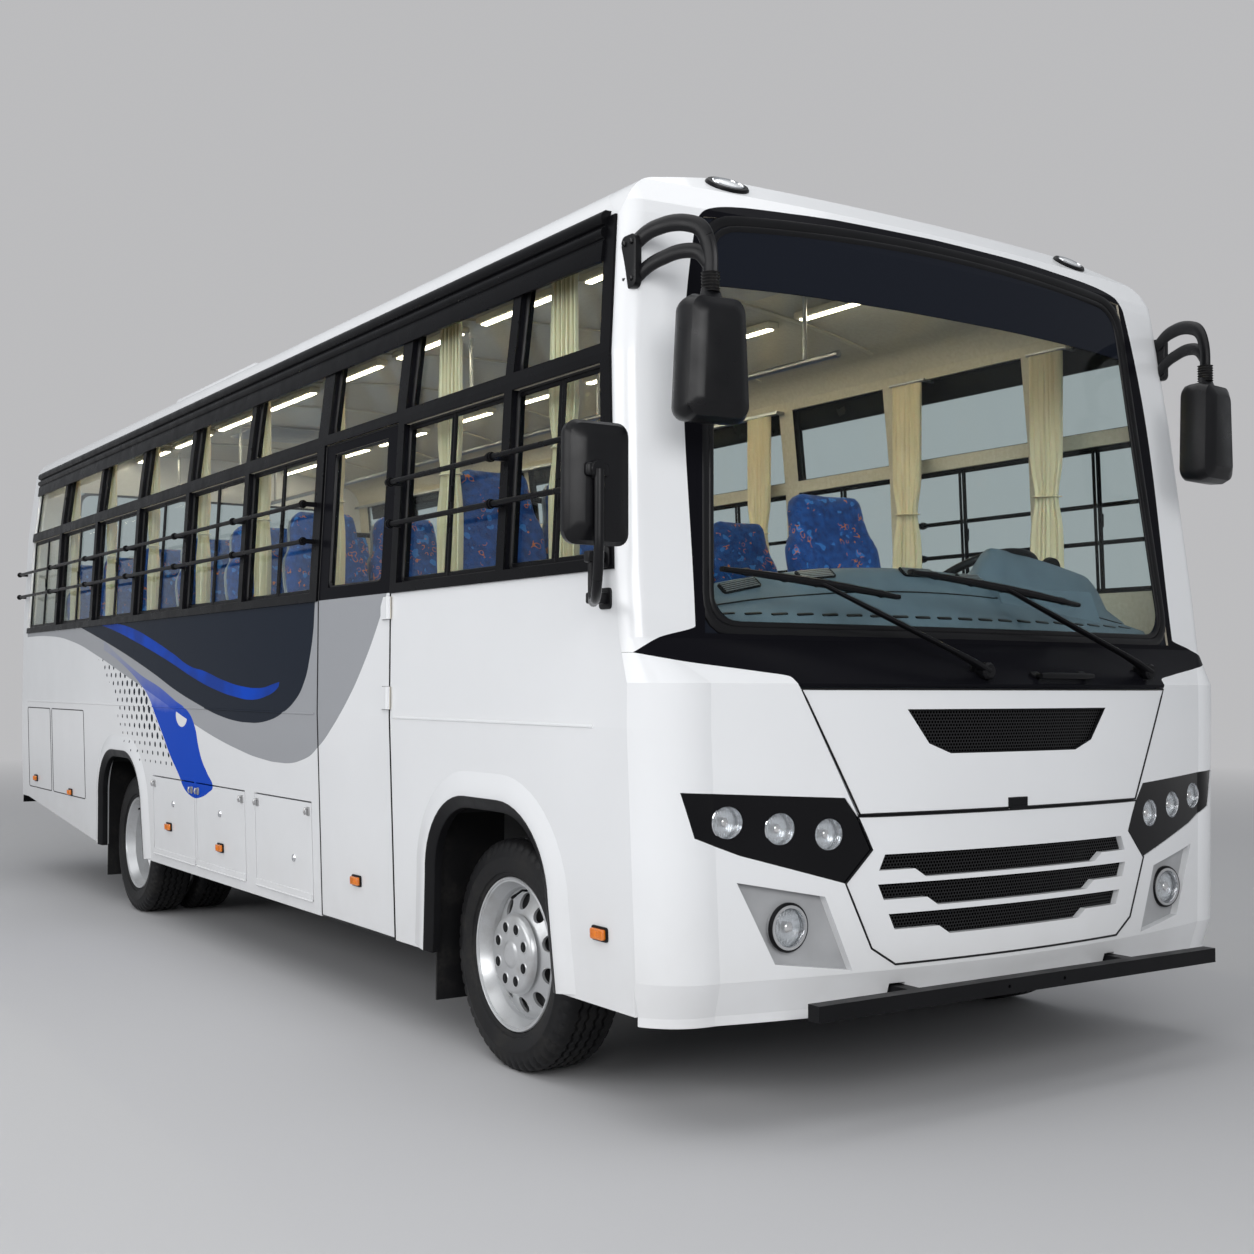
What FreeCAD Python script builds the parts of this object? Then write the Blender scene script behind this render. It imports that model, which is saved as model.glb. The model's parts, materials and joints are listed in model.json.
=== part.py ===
import FreeCAD, Part
import math
import os
import Sketcher

# Midi coach with a front engine, driven from the left, its entry door on the right.
# +Z up, the nose looks along -Y, +X is the coach's own left.
# The origin lies on the ground under the middle of the whole coach.

os.makedirs("parts", exist_ok=True)
doc = FreeCAD.newDocument("coach")
sheet = doc.addObject("Spreadsheet::Sheet", "sizes")

# Driving dimensions in millimetres; stations along Y are counted from the front axle
SIZES = [
    # whole coach
    ("body_width", 2500, "outside width at the waist"),
    ("bar_reach", 1165, "front axle to the face of the bumper bar"),
    ("tail_reach", 6470, "front axle to the back of the rear bumper"),
    ("wheelbase", 4100, "front axle to rear axle"),
    ("fit_gap", 0.3, "gap between pieces that seat on each other"),
    ("panel_gap", 6, "gap round doors and flaps"),
    ("overrun", 40, "how far a cutting shape runs past the skin"),
    # cross-section of the body
    ("skirt_z", 326, "lower edge of the side skirt"),
    ("swage_z", 1111, "pressed line along the side"),
    ("waist_z", 1551, "sill of the windows"),
    ("mid_z", 2176, "rail between lower and upper windows"),
    ("cant_z", 2586, "top of the window band"),
    ("edge_z", 2718, "where the roof crown begins"),
    ("crown_z", 2848, "top of the roof"),
    ("edge_half", 1050, "half width where the roof crown begins"),
    ("skirt_inset", 31, "how far the skirt leans in"),
    ("mid_inset", 31, "how far the mid rail leans in"),
    ("cant_inset", 77, "how far the top of the window band leans in"),
    ("roof_corner_radius", 170, "round from wall to roof"),
    ("wall", 45, "thickness of side walls and roof"),
    # side outline
    ("tail_line", 6250, "station where side walls meet the rear mask"),
    ("tail_skirt_z", 490, "skirt height at the tail"),
    ("arch_half", 430, "half width of a wheel arch at the skirt"),
    ("arch_shoulder_half", 400, "half width where the arch starts to close"),
    ("arch_shoulder_z", 590, "height where the arch starts to close"),
    ("arch_top_half", 110, "half of the flat on top of the arch"),
    ("arch_z", 865, "top of the wheel arch"),
    ("arch_radius", 290, "round of the arch"),
    # nose
    ("split_low", 830, "side wall to nose joint, ahead of the axle, below the bonnet"),
    ("split_base", 790, "the same at the windscreen base"),
    ("split_waist", 768, "the same at the waist"),
    ("split_mid", 700, "the same at the mid rail"),
    ("split_cant", 659, "the same at the top of the window band"),
    ("split_roof", 250, "the same on the roof"),
    ("nose_reach", 1090, "front axle to the middle of the nose"),
    ("nose_foot_reach", 1060, "the same at the lower edge"),
    ("nose_low_z", 300, "lower edge of the nose"),
    ("nose_foot_z", 420, "top of the tucked lower edge"),
    ("bonnet_z", 1235, "top of the upright nose"),
    ("screen_z", 1360, "windscreen base"),
    ("screen_base_reach", 930, "front axle to the windscreen base"),
    ("screen_waist_reach", 908, "front axle to the glass at the waist"),
    ("screen_mid_reach", 836, "front axle to the glass at the mid rail"),
    ("screen_cant_reach", 789, "front axle to the glass at the top of the window band"),
    ("brow_z", 2625, "brow over the windscreen"),
    ("brow_reach", 780, "front axle to the brow"),
    ("dome_low_z", 2705, "lower bend of the roof dome"),
    ("dome_low_reach", 728, "front axle to the lower bend"),
    ("dome_mid_z", 2775, "middle bend of the roof dome"),
    ("dome_mid_reach", 640, "front axle to the middle bend"),
    ("dome_high_z", 2825, "upper bend of the roof dome"),
    ("dome_high_reach", 500, "front axle to the upper bend"),
    ("dome_top_z", 2870, "end of the dome surface"),
    ("dome_top_reach", 260, "front axle to the end of the dome"),
    ("nose_arc", 4300, "plan radius of the upright nose"),
    ("screen_arc", 9000, "plan radius of the windscreen"),
    ("nose_corner_x", 190, "width of the lower corner round"),
    ("nose_corner_y", 129, "depth of the lower corner round"),
    ("nose_corner_radius", 187, "radius of the lower corner"),
    ("post_corner_x", 55, "width of the windscreen post round"),
    ("post_corner_y", 60, "depth of the windscreen post round"),
    ("post_corner_radius", 62, "radius of the windscreen post"),
    ("skin", 30, "thickness of the nose and tail shells"),
    # windscreen opening
    ("screen_low_z", 1375, "lower edge of the windscreen opening"),
    ("screen_low_half", 1015, "half width of the opening at its lower edge"),
    ("screen_high_z", 2600, "upper corners of the opening"),
    ("screen_high_half", 925, "half width of the opening at its upper corners"),
    ("screen_crown", 45, "rise of the upper edge in the middle"),
    ("glass_inset", 8, "how far glass sits behind the skin"),
    ("glass", 8, "thickness of the glass"),
    # bonnet flap
    ("flap_top_z", 1226, "upper edge of the bonnet flap"),
    ("flap_top_half", 795, "half width of the flap at the top"),
    ("flap_low_z", 858, "lower edge of the flap"),
    ("flap_low_half", 606, "half width of the flap at the bottom"),
    ("flap_skin", 22, "thickness of the flap"),
    ("flap_tab", 80, "width of the hinge tab at the flap's foot"),
    # bumper bar
    ("bar_half", 853, "half length of the bumper bar"),
    ("bar_z", 350, "middle height of the bumper bar"),
    ("bar_side", 45, "side of the square bar"),
    ("plate_bolt_spacing", 240, "spacing of the number plate bolts"),
    ("plate_bolt_radius", 5.5, "radius of their holes"),
    # side windows
    ("window_low_z", 1585, "lower edge of the lower windows"),
    ("window_high_z", 2150, "upper edge of the lower windows"),
    ("top_window_low_z", 2205, "lower edge of the upper windows"),
    ("top_window_high_z", 2545, "upper edge of the upper windows"),
    ("rear_windows_from", 1400, "first window pillar behind the door"),
    ("window_pitch", 822, "window spacing"),
    ("window_columns", 6, "windows behind the door"),
    ("pillar", 50, "pillar between windows"),
    ("front_pillar", -120, "pillar between the two front windows"),
    # entry door
    ("door_front", 679, "front edge of the door opening"),
    ("door_back", 1351, "rear edge of the door opening"),
    ("door_top_z", 2165, "top of the door opening"),
    ("door_thick", 32, "thickness of the door"),
    ("hinge_radius", 10, "radius of the entry door's hinge barrels"),
    ("hinge_long", 80, "length of a hinge barrel"),
    ("hinge_low_z", 1140, "foot of the lower door hinge"),
    ("hinge_high_z", 1460, "foot of the upper door hinge"),
    ("hinge_strap", 60, "length of a hinge strap"),
    ("door_swing_gap", 9, "gap at the closing edge of the door"),
    ("door_window_low_z", 1600, "lower edge of the door window"),
    ("door_window_high_z", 2120, "upper edge of the door window"),
    ("door_window_inset", 95, "door window from the door's edges"),
    # luggage bays
    ("bay_low_z", 372, "lower edge of the luggage doors"),
    ("bay_high_z", 765, "upper edge of the luggage doors"),
    ("bay_first", 1425, "front edge of the first luggage door"),
    ("bay_first_end", 2060, "rear edge of the first luggage door"),
    ("bay_second", 2180, "front edge of the second luggage door"),
    ("bay_second_end", 2840, "rear edge of the second luggage door"),
    ("bay_third", 2862, "front edge of the third luggage door"),
    ("bay_third_end", 3515, "rear edge of the third luggage door"),
    ("flap_thick", 22, "thickness of a luggage door"),
    ("flap_hinge", 4, "radius of a luggage door's hinge barrel"),
    ("flap_strap", 28, "height of its hinge leaf"),
    ("bay_depth", 690, "depth of a luggage bay"),
    ("bay_sheet", 12, "thickness of the bay trays"),
    ("bay_sill", 14, "how far the bay reaches past its door openings"),
    # floor
    ("floor_z", 900, "floor surface"),
    ("floor_thick", 40, "thickness of the floor"),
    ("floor_front", 800, "front edge of the floor, ahead of the axle"),
    ("floor_back", 6350, "rear edge of the floor"),
    ("step_half_depth", 600, "depth of the stepwell from the wall"),
    ("step_one_z", 420, "height of the first step"),
    ("step_two_z", 660, "height of the second step"),
    ("step_tread", 285, "depth of a step"),
    ("step_sheet", 30, "thickness of the steps"),
    # chassis
    ("rail_half", 440, "frame rails, outside face from the middle"),
    ("rail_flange", 70, "width of a rail flange"),
    ("rail_web", 8, "thickness of the rails"),
    ("rail_low_z", 570, "underside of the rails"),
    ("rail_high_z", 785, "top of the rails"),
    ("rail_front", 1000, "front end of the rails, ahead of the axle"),
    ("rail_back", 6300, "rear end of the rails"),
    ("bearer", 60, "width of a cross bearer"),
    ("engine_cross_front", 660, "front engine bearer ahead of the axle"),
    ("engine_cross_back", 20, "rear engine bearer behind the axle"),
    ("middle_cross", 720, "cross member behind the gearbox"),
    ("shaft_radius", 45, "radius of the propeller shaft"),
    # wheels
    ("tyre_radius", 368, "radius of a tyre"),
    ("tyre_width", 215, "width of a tyre"),
    ("rim_radius", 240, "radius of the rim edge"),
    ("tyre_face_inset", 100, "outer face of the tyres inside the body's side"),
    ("twin_pitch", 245, "spacing of the twin tyres"),
    ("kingpin_inset", 105, "kingpin inside the wheel's middle"),
    ("beam", 80, "front axle beam"),
    ("spring_half", 400, "leaf springs from the middle"),
    # lamp and grille outlines on the nose, seen from the front
    ("head_out", 1150, "outer end of a headlamp unit"),
    ("head_out_z", 939, "its height"),
    ("head_top_in", 649, "top corner of the headlamp unit beside the flap"),
    ("head_top_in_z", 913, "its height"),
    ("head_tip", 559, "innermost tip of the headlamp unit"),
    ("head_tip_z", 763, "its height"),
    ("head_low_in", 648, "lowest corner of the headlamp unit"),
    ("head_low_z", 672, "its height"),
    ("head_low_out", 976, "lower corner towards the side"),
    ("head_corner", 1112, "lower outer corner of the headlamp unit"),
    ("head_corner_z", 815, "its height"),
    ("lamp_one_x", 1010, "outer headlamp from the middle"),
    ("lamp_one_z", 854, "its height"),
    ("lamp_two_x", 853, "middle headlamp from the middle"),
    ("lamp_two_z", 832, "its height"),
    ("lamp_three_x", 700, "inner headlamp from the middle"),
    ("lamp_three_z", 812, "its height"),
    ("lamp_radius", 44, "radius of a headlamp's bowl"),
    ("lamp_deep", 32, "depth of a headlamp's bowl"),
    ("lamp_glass", 16, "thickness of a lamp glass in its middle"),
    ("lamp_dome", 100, "radius of the dome of a lamp glass"),
    ("fog_lamp_x", 820, "fog lamp from the middle"),
    ("fog_lamp_z", 558, "its height"),
    ("fog_lamp_radius", 54, "radius of a fog lamp's bowl"),
    ("fog_lamp_wall", 8, "wall of the fog lamp's cup"),
    ("fog_lamp_deep", 28, "depth of the fog lamp's bowl"),
    ("fog_lamp_front", 6, "front of the cup behind the skin"),
    ("head_inset", 4, "face of the headlamp unit behind the skin"),
    ("head_deep", 45, "back of the headlamp unit behind the skin"),
    ("fog_top_out", 985, "fog lamp recess, top outer corner"),
    ("fog_top_z", 690, "its height"),
    ("fog_top_in", 715, "fog lamp recess, top inner corner"),
    ("fog_top_in_z", 639, "its height"),
    ("fog_low_in", 627, "fog lamp recess, low inner corner"),
    ("fog_low_z", 429, "its height"),
    ("fog_low_out", 871, "fog lamp recess, low outer corner"),
    ("fog_low_out_z", 461, "its height"),
    ("fog_inset", 25, "face of the fog lamp recess behind the skin"),
    ("fog_deep", 46, "back of the fog lamp recess"),
    ("panel_side", 562, "side corner of the grille panel"),
    ("panel_side_z", 485, "its height"),
    ("panel_low", 480, "lower corner of the grille panel"),
    ("panel_low_z", 434, "its height"),
    ("slot_one_z", 748, "top of the upper slot"),
    ("slot_one_top", 515, "its half width at the top"),
    ("slot_one_side", 536, "its half width at the shoulder"),
    ("slot_one_foot", 368, "its half width at the foot"),
    ("slot_two_z", 664, "top of the middle slot"),
    ("slot_two_top", 540, "its half width at the top"),
    ("slot_two_side", 520, "its half width at the shoulder"),
    ("slot_two_foot", 324, "its half width at the foot"),
    ("slot_three_z", 578, "top of the lower slot"),
    ("slot_three_top", 503, "its half width at the top"),
    ("slot_three_side", 483, "its half width at the shoulder"),
    ("slot_three_foot", 280, "its half width at the foot"),
    ("slot_edge", 45, "height of a slot at its ends"),
    ("slot_high", 70, "height of a slot in the middle"),
    ("slot_step", 40, "slant of the step in a slot"),
    ("slot_back_half", 545, "half width of the mesh behind the slots"),
    ("mesh_top_half", 434, "half width of the bonnet mesh at the top"),
    ("mesh_top_z", 1162, "top of the bonnet mesh"),
    ("mesh_mid_half", 355, "half width of the bonnet mesh at its shoulder"),
    ("mesh_mid_z", 1062, "its height"),
    ("mesh_low_half", 273, "half width of the bonnet mesh at the foot"),
    ("mesh_low_z", 1032, "foot of the bonnet mesh"),
    ("mesh_inset", 10, "bonnet mesh behind the skin"),
    # tail
    ("tail_face", 6425, "station of the rear face"),
    ("tail_corner", 62, "radius of the rear corners"),
    ("rear_window_half", 930, "half width of the rear window at its sill"),
    ("rear_window_high_half", 880, "half width of the rear window at its top"),
    ("rear_window_low_z", 1640, "sill of the rear window"),
    ("rear_window_high_z", 2520, "top of the rear window"),
    ("bumper_corner", 30, "bevel at the ends of the rear bumper"),
    ("rear_bumper_low_z", 440, "lower edge of the rear bumper"),
    ("rear_bumper_high_z", 640, "upper edge of the rear bumper"),
    # engine and tank
    ("hump_half", 300, "half width of the engine cover"),
    ("hump_front", 795, "front of the engine cover, ahead of the axle"),
    ("hump_back", 160, "rear of the engine cover"),
    ("hump_z", 1250, "top of the engine cover"),
    ("hump_flange", 25, "flange round the foot of the engine cover"),
    ("engine_half", 240, "half width of the engine block"),
    ("engine_front", 730, "front of the engine, ahead of the axle"),
    ("engine_back", 100, "rear of the engine"),
    ("engine_low_z", 650, "underside of the engine"),
    ("engine_high_z", 1190, "top of the engine"),
    ("gearbox_half", 160, "half width of the gearbox"),
    ("gearbox_back", 650, "rear of the gearbox"),
    ("gearbox_low_z", 300, "underside of the gearbox"),
    ("gearbox_high_z", 760, "top of the gearbox"),
    ("tank_front", 560, "front end of the fuel tank"),
    ("tank_back", 1330, "rear end of the fuel tank"),
    ("tank_wide", 560, "width of the fuel tank"),
    ("tank_low_z", 400, "underside of the fuel tank"),
    # wheel details
    ("rim_width", 170, "width of a rim"),
    ("rim_sheet", 10, "thickness of a rim"),
    ("rim_well", 45, "half width of the rim's well"),
    ("disc_root", 25, "where the disc meets the well, from the rim's middle"),
    ("front_disc", 78, "mounting face of a front disc from the rim's middle"),
    ("hub_radius", 95, "radius of the hub"),
    ("front_hub", 4, "inner end of a front hub from the rim's middle"),
    ("rear_hub", 40, "inner end of a rear hub from the inner rim's middle"),
    ("rear_nose", 60, "outer end of a rear hub from the outer rim's middle"),
    ("kingpin_radius", 15, "bore for the kingpin"),
    ("stub_radius", 40, "bore of the hub"),
    ("hand_hole_ring", 165, "radius of the ring of hand holes"),
    ("hand_hole_radius", 26, "radius of a hand hole"),
    ("hand_holes", 10, "number of hand holes"),
    ("shoulder_round", 90, "round of a tyre's side"),
    ("tread_share", 0.86, "share of the tyre's width at the tread"),
    ("bead_share", 0.72, "share of the tyre's width at the bead"),
    # axles
    ("knuckle_gap", 1, "gap between knuckle and beam"),
    ("fork_reach", 60, "knuckle fork either side of the kingpin"),
    ("fork", 26, "thickness of a knuckle fork"),
    ("spring_wide", 65, "width of a leaf spring"),
    ("spring_leaf", 12, "thickness of a leaf"),
    ("spring_high", 75, "drop of the spring pack below the rail"),
    ("spring_reach", 620, "half length of a leaf spring"),
    ("casing_radius", 75, "radius of the rear axle tube"),
    ("casing_half", 660, "half length of the rear axle tube"),
    ("diff_radius", 190, "radius of the differential"),
    # fittings outside
    ("rail_bar_radius", 9, "radius of a window guard bar"),
    ("rail_bar_low_z", 1790, "height of the lower guard bar"),
    ("rail_bar_high_z", 1937, "height of the upper guard bar"),
    ("rail_bar_out", 40, "guard bars out from the skin"),
    ("frame_proud", 8, "window frames proud of the skin"),
    ("mirror_x", 1083, "front mirrors from the middle"),
    ("mirror_reach", 990, "front mirrors ahead of the axle"),
    ("mirror_high_z", 2314, "top of the mirror housing"),
    ("mirror_low_z", 1940, "bottom of the mirror housing"),
    ("mirror_wide", 215, "width of a mirror housing"),
    ("mirror_deep", 110, "depth of a mirror housing"),
    ("mirror_round", 50, "round of a mirror housing's corners"),
    ("side_mirror_round", 30, "round of the square mirror's corners"),
    ("arm_radius", 17, "radius of a mirror arm"),
    ("arm_low_radius", 12, "radius of its lower tube"),
    ("arm_high_z", 2475, "height of the upper tube of a mirror arm"),
    ("arm_low_z", 2400, "height of the lower tube"),
    ("arm_bend", 90, "bend of a mirror arm"),
    ("arm_root_x", 1195, "root of a mirror arm from the middle"),
    ("arm_root_reach", 725, "root of a mirror arm ahead of the axle"),
    ("arm_foot_long", 80, "length of the arm's foot plate"),
    ("arm_foot_high", 130, "height of the foot plate"),
    ("side_mirror_x", 1430, "square mirror from the middle"),
    ("side_mirror_reach", 950, "square mirror ahead of the axle"),
    ("side_mirror_low_z", 1590, "bottom of the square mirror"),
    ("side_mirror_high_z", 1920, "top of the square mirror"),
    ("side_mirror_wide", 195, "width of the square mirror"),
    ("side_mirror_deep", 55, "depth of the square mirror"),
    ("side_arm_low_z", 1490, "lowest point of its arm"),
    ("wiper_z", 1275, "height of the wiper spindles"),
    ("wiper_right_x", 114, "right wiper spindle from the middle"),
    ("wiper_left_x", 704, "left wiper spindle from the middle"),
    ("wiper_radius", 9, "thickness of a wiper arm"),
    ("wiper_heel", 212, "inner end of a wiper blade from its spindle"),
    ("wiper_heel_z", 1497, "its height"),
    ("wiper_tip_right", 839, "tip of the right blade from its spindle"),
    ("wiper_tip_left", 972, "tip of the left blade from its spindle"),
    ("wiper_tip_z", 1562, "height of the blade tips"),
    ("roof_lamp_x", 770, "roof marker lamps from the middle"),
    ("roof_lamp_reach", 618, "roof marker lamps ahead of the axle"),
    ("roof_lamp_z", 2738, "height of the roof marker lamps"),
    ("roof_lamp_radius", 62, "radius of a roof marker lamp"),
    ("roof_lamp_proud", 22, "roof marker lamps proud of the dome"),
    ("pod_half", 700, "half width of the roof hatch pod"),
    ("pod_front", 3350, "front of the pod"),
    ("pod_back", 5150, "rear of the pod"),
    ("pod_z", 2945, "top of the pod"),
    ("pod_slope", 240, "length of the pod's sloping ends"),
    ("marker_deep", 14, "side marker lamps proud of the skin"),
    ("marker_long", 72, "length of a side marker lamp"),
    ("marker_high", 34, "height of a side marker lamp"),
    ("marker_nose", 704, "front marker lamp ahead of the axle"),
    ("marker_nose_z", 515, "its lower edge"),
    ("marker_rear", 5124, "marker lamp behind the rear wheel"),
    ("marker_rear_z", 563, "its lower edge"),
    ("marker_tail", 5984, "rearmost marker lamp"),
    ("marker_tail_z", 603, "its lower edge"),
    ("tail_lamp_in", 960, "inner edge of a tail lamp from the middle"),
    ("tail_lamp_wide", 190, "width of a tail lamp"),
    ("tail_lamp_low_z", 880, "lower edge of a tail lamp"),
    ("tail_lamp_high_z", 1190, "upper edge of a tail lamp"),
    ("mud_flap_wide", 260, "width of a mud flap"),
    ("mud_flap_thick", 8, "thickness of a mud flap"),
    ("mud_flap_low_z", 150, "lower edge of a mud flap"),
    # cabin
    ("aisle_half", 280, "half width of the aisle"),
    ("seat_pair", 800, "width of a seat pair"),
    ("seat_pitch", 760, "spacing of the seat rows"),
    ("seat_rows", 6, "seat rows behind the door"),
    ("front_pair", 760, "width of the seat pair ahead of the door"),
    ("first_row", 1550, "front of the first row behind the door"),
    ("cushion_high", 480, "height of a seat cushion"),
    ("cushion_thick", 120, "thickness of a seat cushion"),
    ("cushion_deep", 450, "depth of a seat cushion"),
    ("back_high", 1090, "height of a seat back"),
    ("back_thick", 110, "thickness of a seat back"),
    ("back_rake", 150, "how far a seat back leans"),
    ("seat_leg", 60, "width of a seat leg"),
    ("driver_x", 540, "driver's seat from the middle"),
    ("driver_wide", 480, "width of the driver's seat"),
    ("driver_front", 230, "front of the driver's seat, ahead of the axle"),
    ("dash_top_z", 1395, "top of the dashboard"),
    ("dash_low_z", 1160, "underside of the dashboard"),
    ("dash_back", 560, "rear edge of the dashboard, ahead of the axle"),
    ("dash_front", 1040, "front edge of the dashboard, ahead of the axle"),
    ("dash_foot", 690, "foot of the dashboard, ahead of the axle"),
    ("dash_half", 1150, "half width of the dashboard"),
    ("cowl_high_z", 1560, "top of the instrument cowl"),
    ("cowl_wide", 470, "width of the instrument cowl"),
    ("wheel_z", 1590, "height of the steering wheel"),
    ("wheel_reach", 420, "steering wheel ahead of the axle"),
    ("wheel_radius", 215, "radius of the steering wheel"),
    ("wheel_rim", 15, "radius of the steering wheel's rim section"),
    ("wheel_tilt", 60, "tilt of the steering wheel in degrees"),
    ("column_radius", 35, "radius of the steering column"),
    ("column_reach", 400, "length of the steering column"),
    ("spoke_radius", 12, "radius of a steering wheel spoke"),
    ("curtain_wide", 170, "width of a gathered curtain"),
    ("curtain_deep", 30, "depth of a gathered curtain"),
    ("curtain_low_z", 1560, "foot of the curtains"),
    ("curtain_high_z", 2530, "top of the curtains"),
    ("curtain_in", 60, "curtains inside the wall"),
    ("curtain_rail", 14, "side of a curtain rail"),
]


class Size:
    """A length that knows its value and how it is written in terms of the sheet."""

    def __init__(self, text, value):
        self.text = text
        self.value = value

    def __add__(self, other):
        other = as_size(other)
        return Size("(" + self.text + " + " + other.text + ")", self.value + other.value)

    def __radd__(self, other):
        return as_size(other) + self

    def __sub__(self, other):
        other = as_size(other)
        return Size("(" + self.text + " - " + other.text + ")", self.value - other.value)

    def __rsub__(self, other):
        return as_size(other) - self

    def __mul__(self, other):
        other = as_size(other)
        return Size("(" + self.text + " * " + other.text + ")", self.value * other.value)

    def __rmul__(self, other):
        return as_size(other) * self

    def __truediv__(self, other):
        other = as_size(other)
        return Size("(" + self.text + " / " + other.text + ")", self.value / other.value)

    def __neg__(self):
        return Size("(0 - " + self.text + ")", -self.value)


def as_size(item):
    """Turn a plain number into a Size; Sizes pass through."""
    if isinstance(item, Size):
        return item
    return Size(repr(item), float(item))


def ordered(first, second):
    """Two Sizes as a (low, high) pair."""
    return (first, second) if first.value < second.value else (second, first)


class Sizes:
    """The driving dimensions by name."""


def fill_sheet():
    """Write the driving dimensions into the sheet and return them as Sizes."""
    names = Sizes()
    for row, (alias, value, meaning) in enumerate(SIZES, start=1):
        sheet.set("A%d" % row, alias)
        sheet.set("B%d" % row, str(value))
        sheet.set("C%d" % row, meaning)
        sheet.setAlias("B%d" % row, alias)
        setattr(names, alias, Size("sizes." + alias, float(value)))
    return names


s = fill_sheet()
doc.recompute()
ZERO = as_size(0)

# The square mirror reaches further out than the left guard bars; half the difference
# puts the middle of the whole between them on the origin
right_reach = s.side_mirror_x + s.side_mirror_wide / 2
left_reach = s.body_width / 2 + s.rail_bar_out + s.rail_bar_radius
middle_line = (right_reach - left_reach) / 2


def bind(item, prop, size):
    """Tie one property of an object to the sheet."""
    size = as_size(size)
    item.setExpression(prop, size.text)


def place(item, x, y, z, turn=None):
    """Tie an object's place to the sheet, x counted from the coach's middle line."""
    x = as_size(x) + middle_line
    item.Placement = FreeCAD.Placement(
        FreeCAD.Vector(x.value, as_size(y).value, as_size(z).value), turn or FreeCAD.Rotation())
    bind(item, "Placement.Base.x", x)
    bind(item, "Placement.Base.y", y)
    bind(item, "Placement.Base.z", z)


def box(name, x, y, z):
    """A box between (low, high) pairs."""
    item = doc.addObject("Part::Box", name)
    for prop, pair in (("Length", x), ("Width", y), ("Height", z)):
        bind(item, prop, pair[1] - as_size(pair[0]))
    place(item, x[0], y[0], z[0])
    return item


TURNS = {
    "X": FreeCAD.Rotation(FreeCAD.Vector(0, 1, 0), 90),
    "Y": FreeCAD.Rotation(FreeCAD.Vector(1, 0, 0), -90),
    "Z": FreeCAD.Rotation(),
}


def rod(name, start, axis, radius, length):
    """A cylinder from a start point along +X, +Y or +Z."""
    item = doc.addObject("Part::Cylinder", name)
    bind(item, "Radius", radius)
    bind(item, "Height", length)
    place(item, start[0], start[1], start[2], TURNS[axis])
    return item


PLANES = {
    "XY": FreeCAD.Rotation(),
    "XZ": FreeCAD.Rotation(FreeCAD.Vector(1, 0, 0), 90),
    "YZ": FreeCAD.Rotation(FreeCAD.Vector(1, 1, 1), 120),
}


def draw_outline(sketch, points):
    """Draw a closed outline; a third entry is the radius of the arc to the next point.

    A positive radius bows to the right of the way the outline is walked.
    """
    corners = []
    for point in points:
        corners.append([as_size(entry) for entry in point])
    count = len(corners)
    for index, corner in enumerate(corners):
        after = corners[(index + 1) % count]
        start = FreeCAD.Vector(corner[0].value, corner[1].value, 0)
        end = FreeCAD.Vector(after[0].value, after[1].value, 0)
        if len(corner) == 2:
            sketch.addGeometry(Part.LineSegment(start, end), False)
        else:
            sketch.addGeometry(arc_between(start, end, corner[2].value), False)
    for index, corner in enumerate(corners):
        first, last = end_points(corner)
        before = corners[index - 1]
        join = Sketcher.Constraint("Coincident", (index - 1) % count, end_points(before)[1],
                                   index, first)
        sketch.addConstraint(join)
        pin(sketch, index, first, corner)
        if len(corner) == 3:
            radius = corner[2] if corner[2].value > 0 else -corner[2]
            number = sketch.addConstraint(Sketcher.Constraint("Radius", index, radius.value))
            sketch.setExpression("Constraints[%d]" % number, radius.text)


def end_points(corner):
    """Which ends of a segment are its start and end in walking order."""
    if len(corner) == 3 and corner[2].value < 0:
        return 2, 1
    return 1, 2


def pin(sketch, index, end, corner):
    """Fix one point of an outline by its two coordinates."""
    for kind, size, axis in (("DistanceX", corner[0], -2), ("DistanceY", corner[1], -1)):
        if size is ZERO:
            sketch.addConstraint(Sketcher.Constraint("PointOnObject", index, end, axis))
        else:
            number = sketch.addConstraint(Sketcher.Constraint(kind, index, end, size.value))
            sketch.setExpression("Constraints[%d]" % number, size.text)


def arc_between(start, end, radius):
    """The shorter arc between two points, bowed to one side by the radius's sign."""
    chord = end.sub(start)
    half = chord.Length / 2
    depth = math.sqrt(max(radius * radius - half * half, 0))
    left = FreeCAD.Vector(-chord.y, chord.x, 0).normalize()
    side = 1 if radius > 0 else -1
    centre = start.add(chord * 0.5).add(left * (depth * side))
    circle = Part.Circle(centre, FreeCAD.Vector(0, 0, 1), abs(radius))
    angles = [math.atan2(p.y - centre.y, p.x - centre.x) for p in (start, end)]
    if radius < 0:
        angles.reverse()
    return Part.ArcOfCircle(circle, angles[0], angles[1])


def outline(name, plane, points, at=0):
    """A free sketch of a closed outline on a plane, moved along its normal."""
    sketch = doc.addObject("Sketcher::SketchObject", name)
    spots = {"XY": (0, 0, at), "XZ": (0, at, 0), "YZ": (at, 0, 0)}[plane]
    place(sketch, spots[0], spots[1], spots[2], PLANES[plane])
    draw_outline(sketch, points)
    return sketch


WAYS = {"XY": FreeCAD.Vector(0, 0, 1), "XZ": FreeCAD.Vector(0, 1, 0), "YZ": FreeCAD.Vector(1, 0, 0)}


def prism(name, plane, points, span):
    """A closed outline pulled between two stations along the plane's axis."""
    low, high = as_size(span[0]), as_size(span[1])
    item = doc.addObject("Part::Extrusion", name)
    item.Base = outline(name + "_outline", plane, points, low)
    item.DirMode = "Custom"
    item.Dir = WAYS[plane]
    item.Solid = True
    bind(item, "LengthFwd", high - low)
    return item


def cut(name, base, *tools):
    """One solid less some others."""
    item = doc.addObject("Part::Cut", name)
    item.Base = base
    item.Tool = tools[0] if len(tools) == 1 else fuse(name + "_tools", *tools)
    return item


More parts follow.
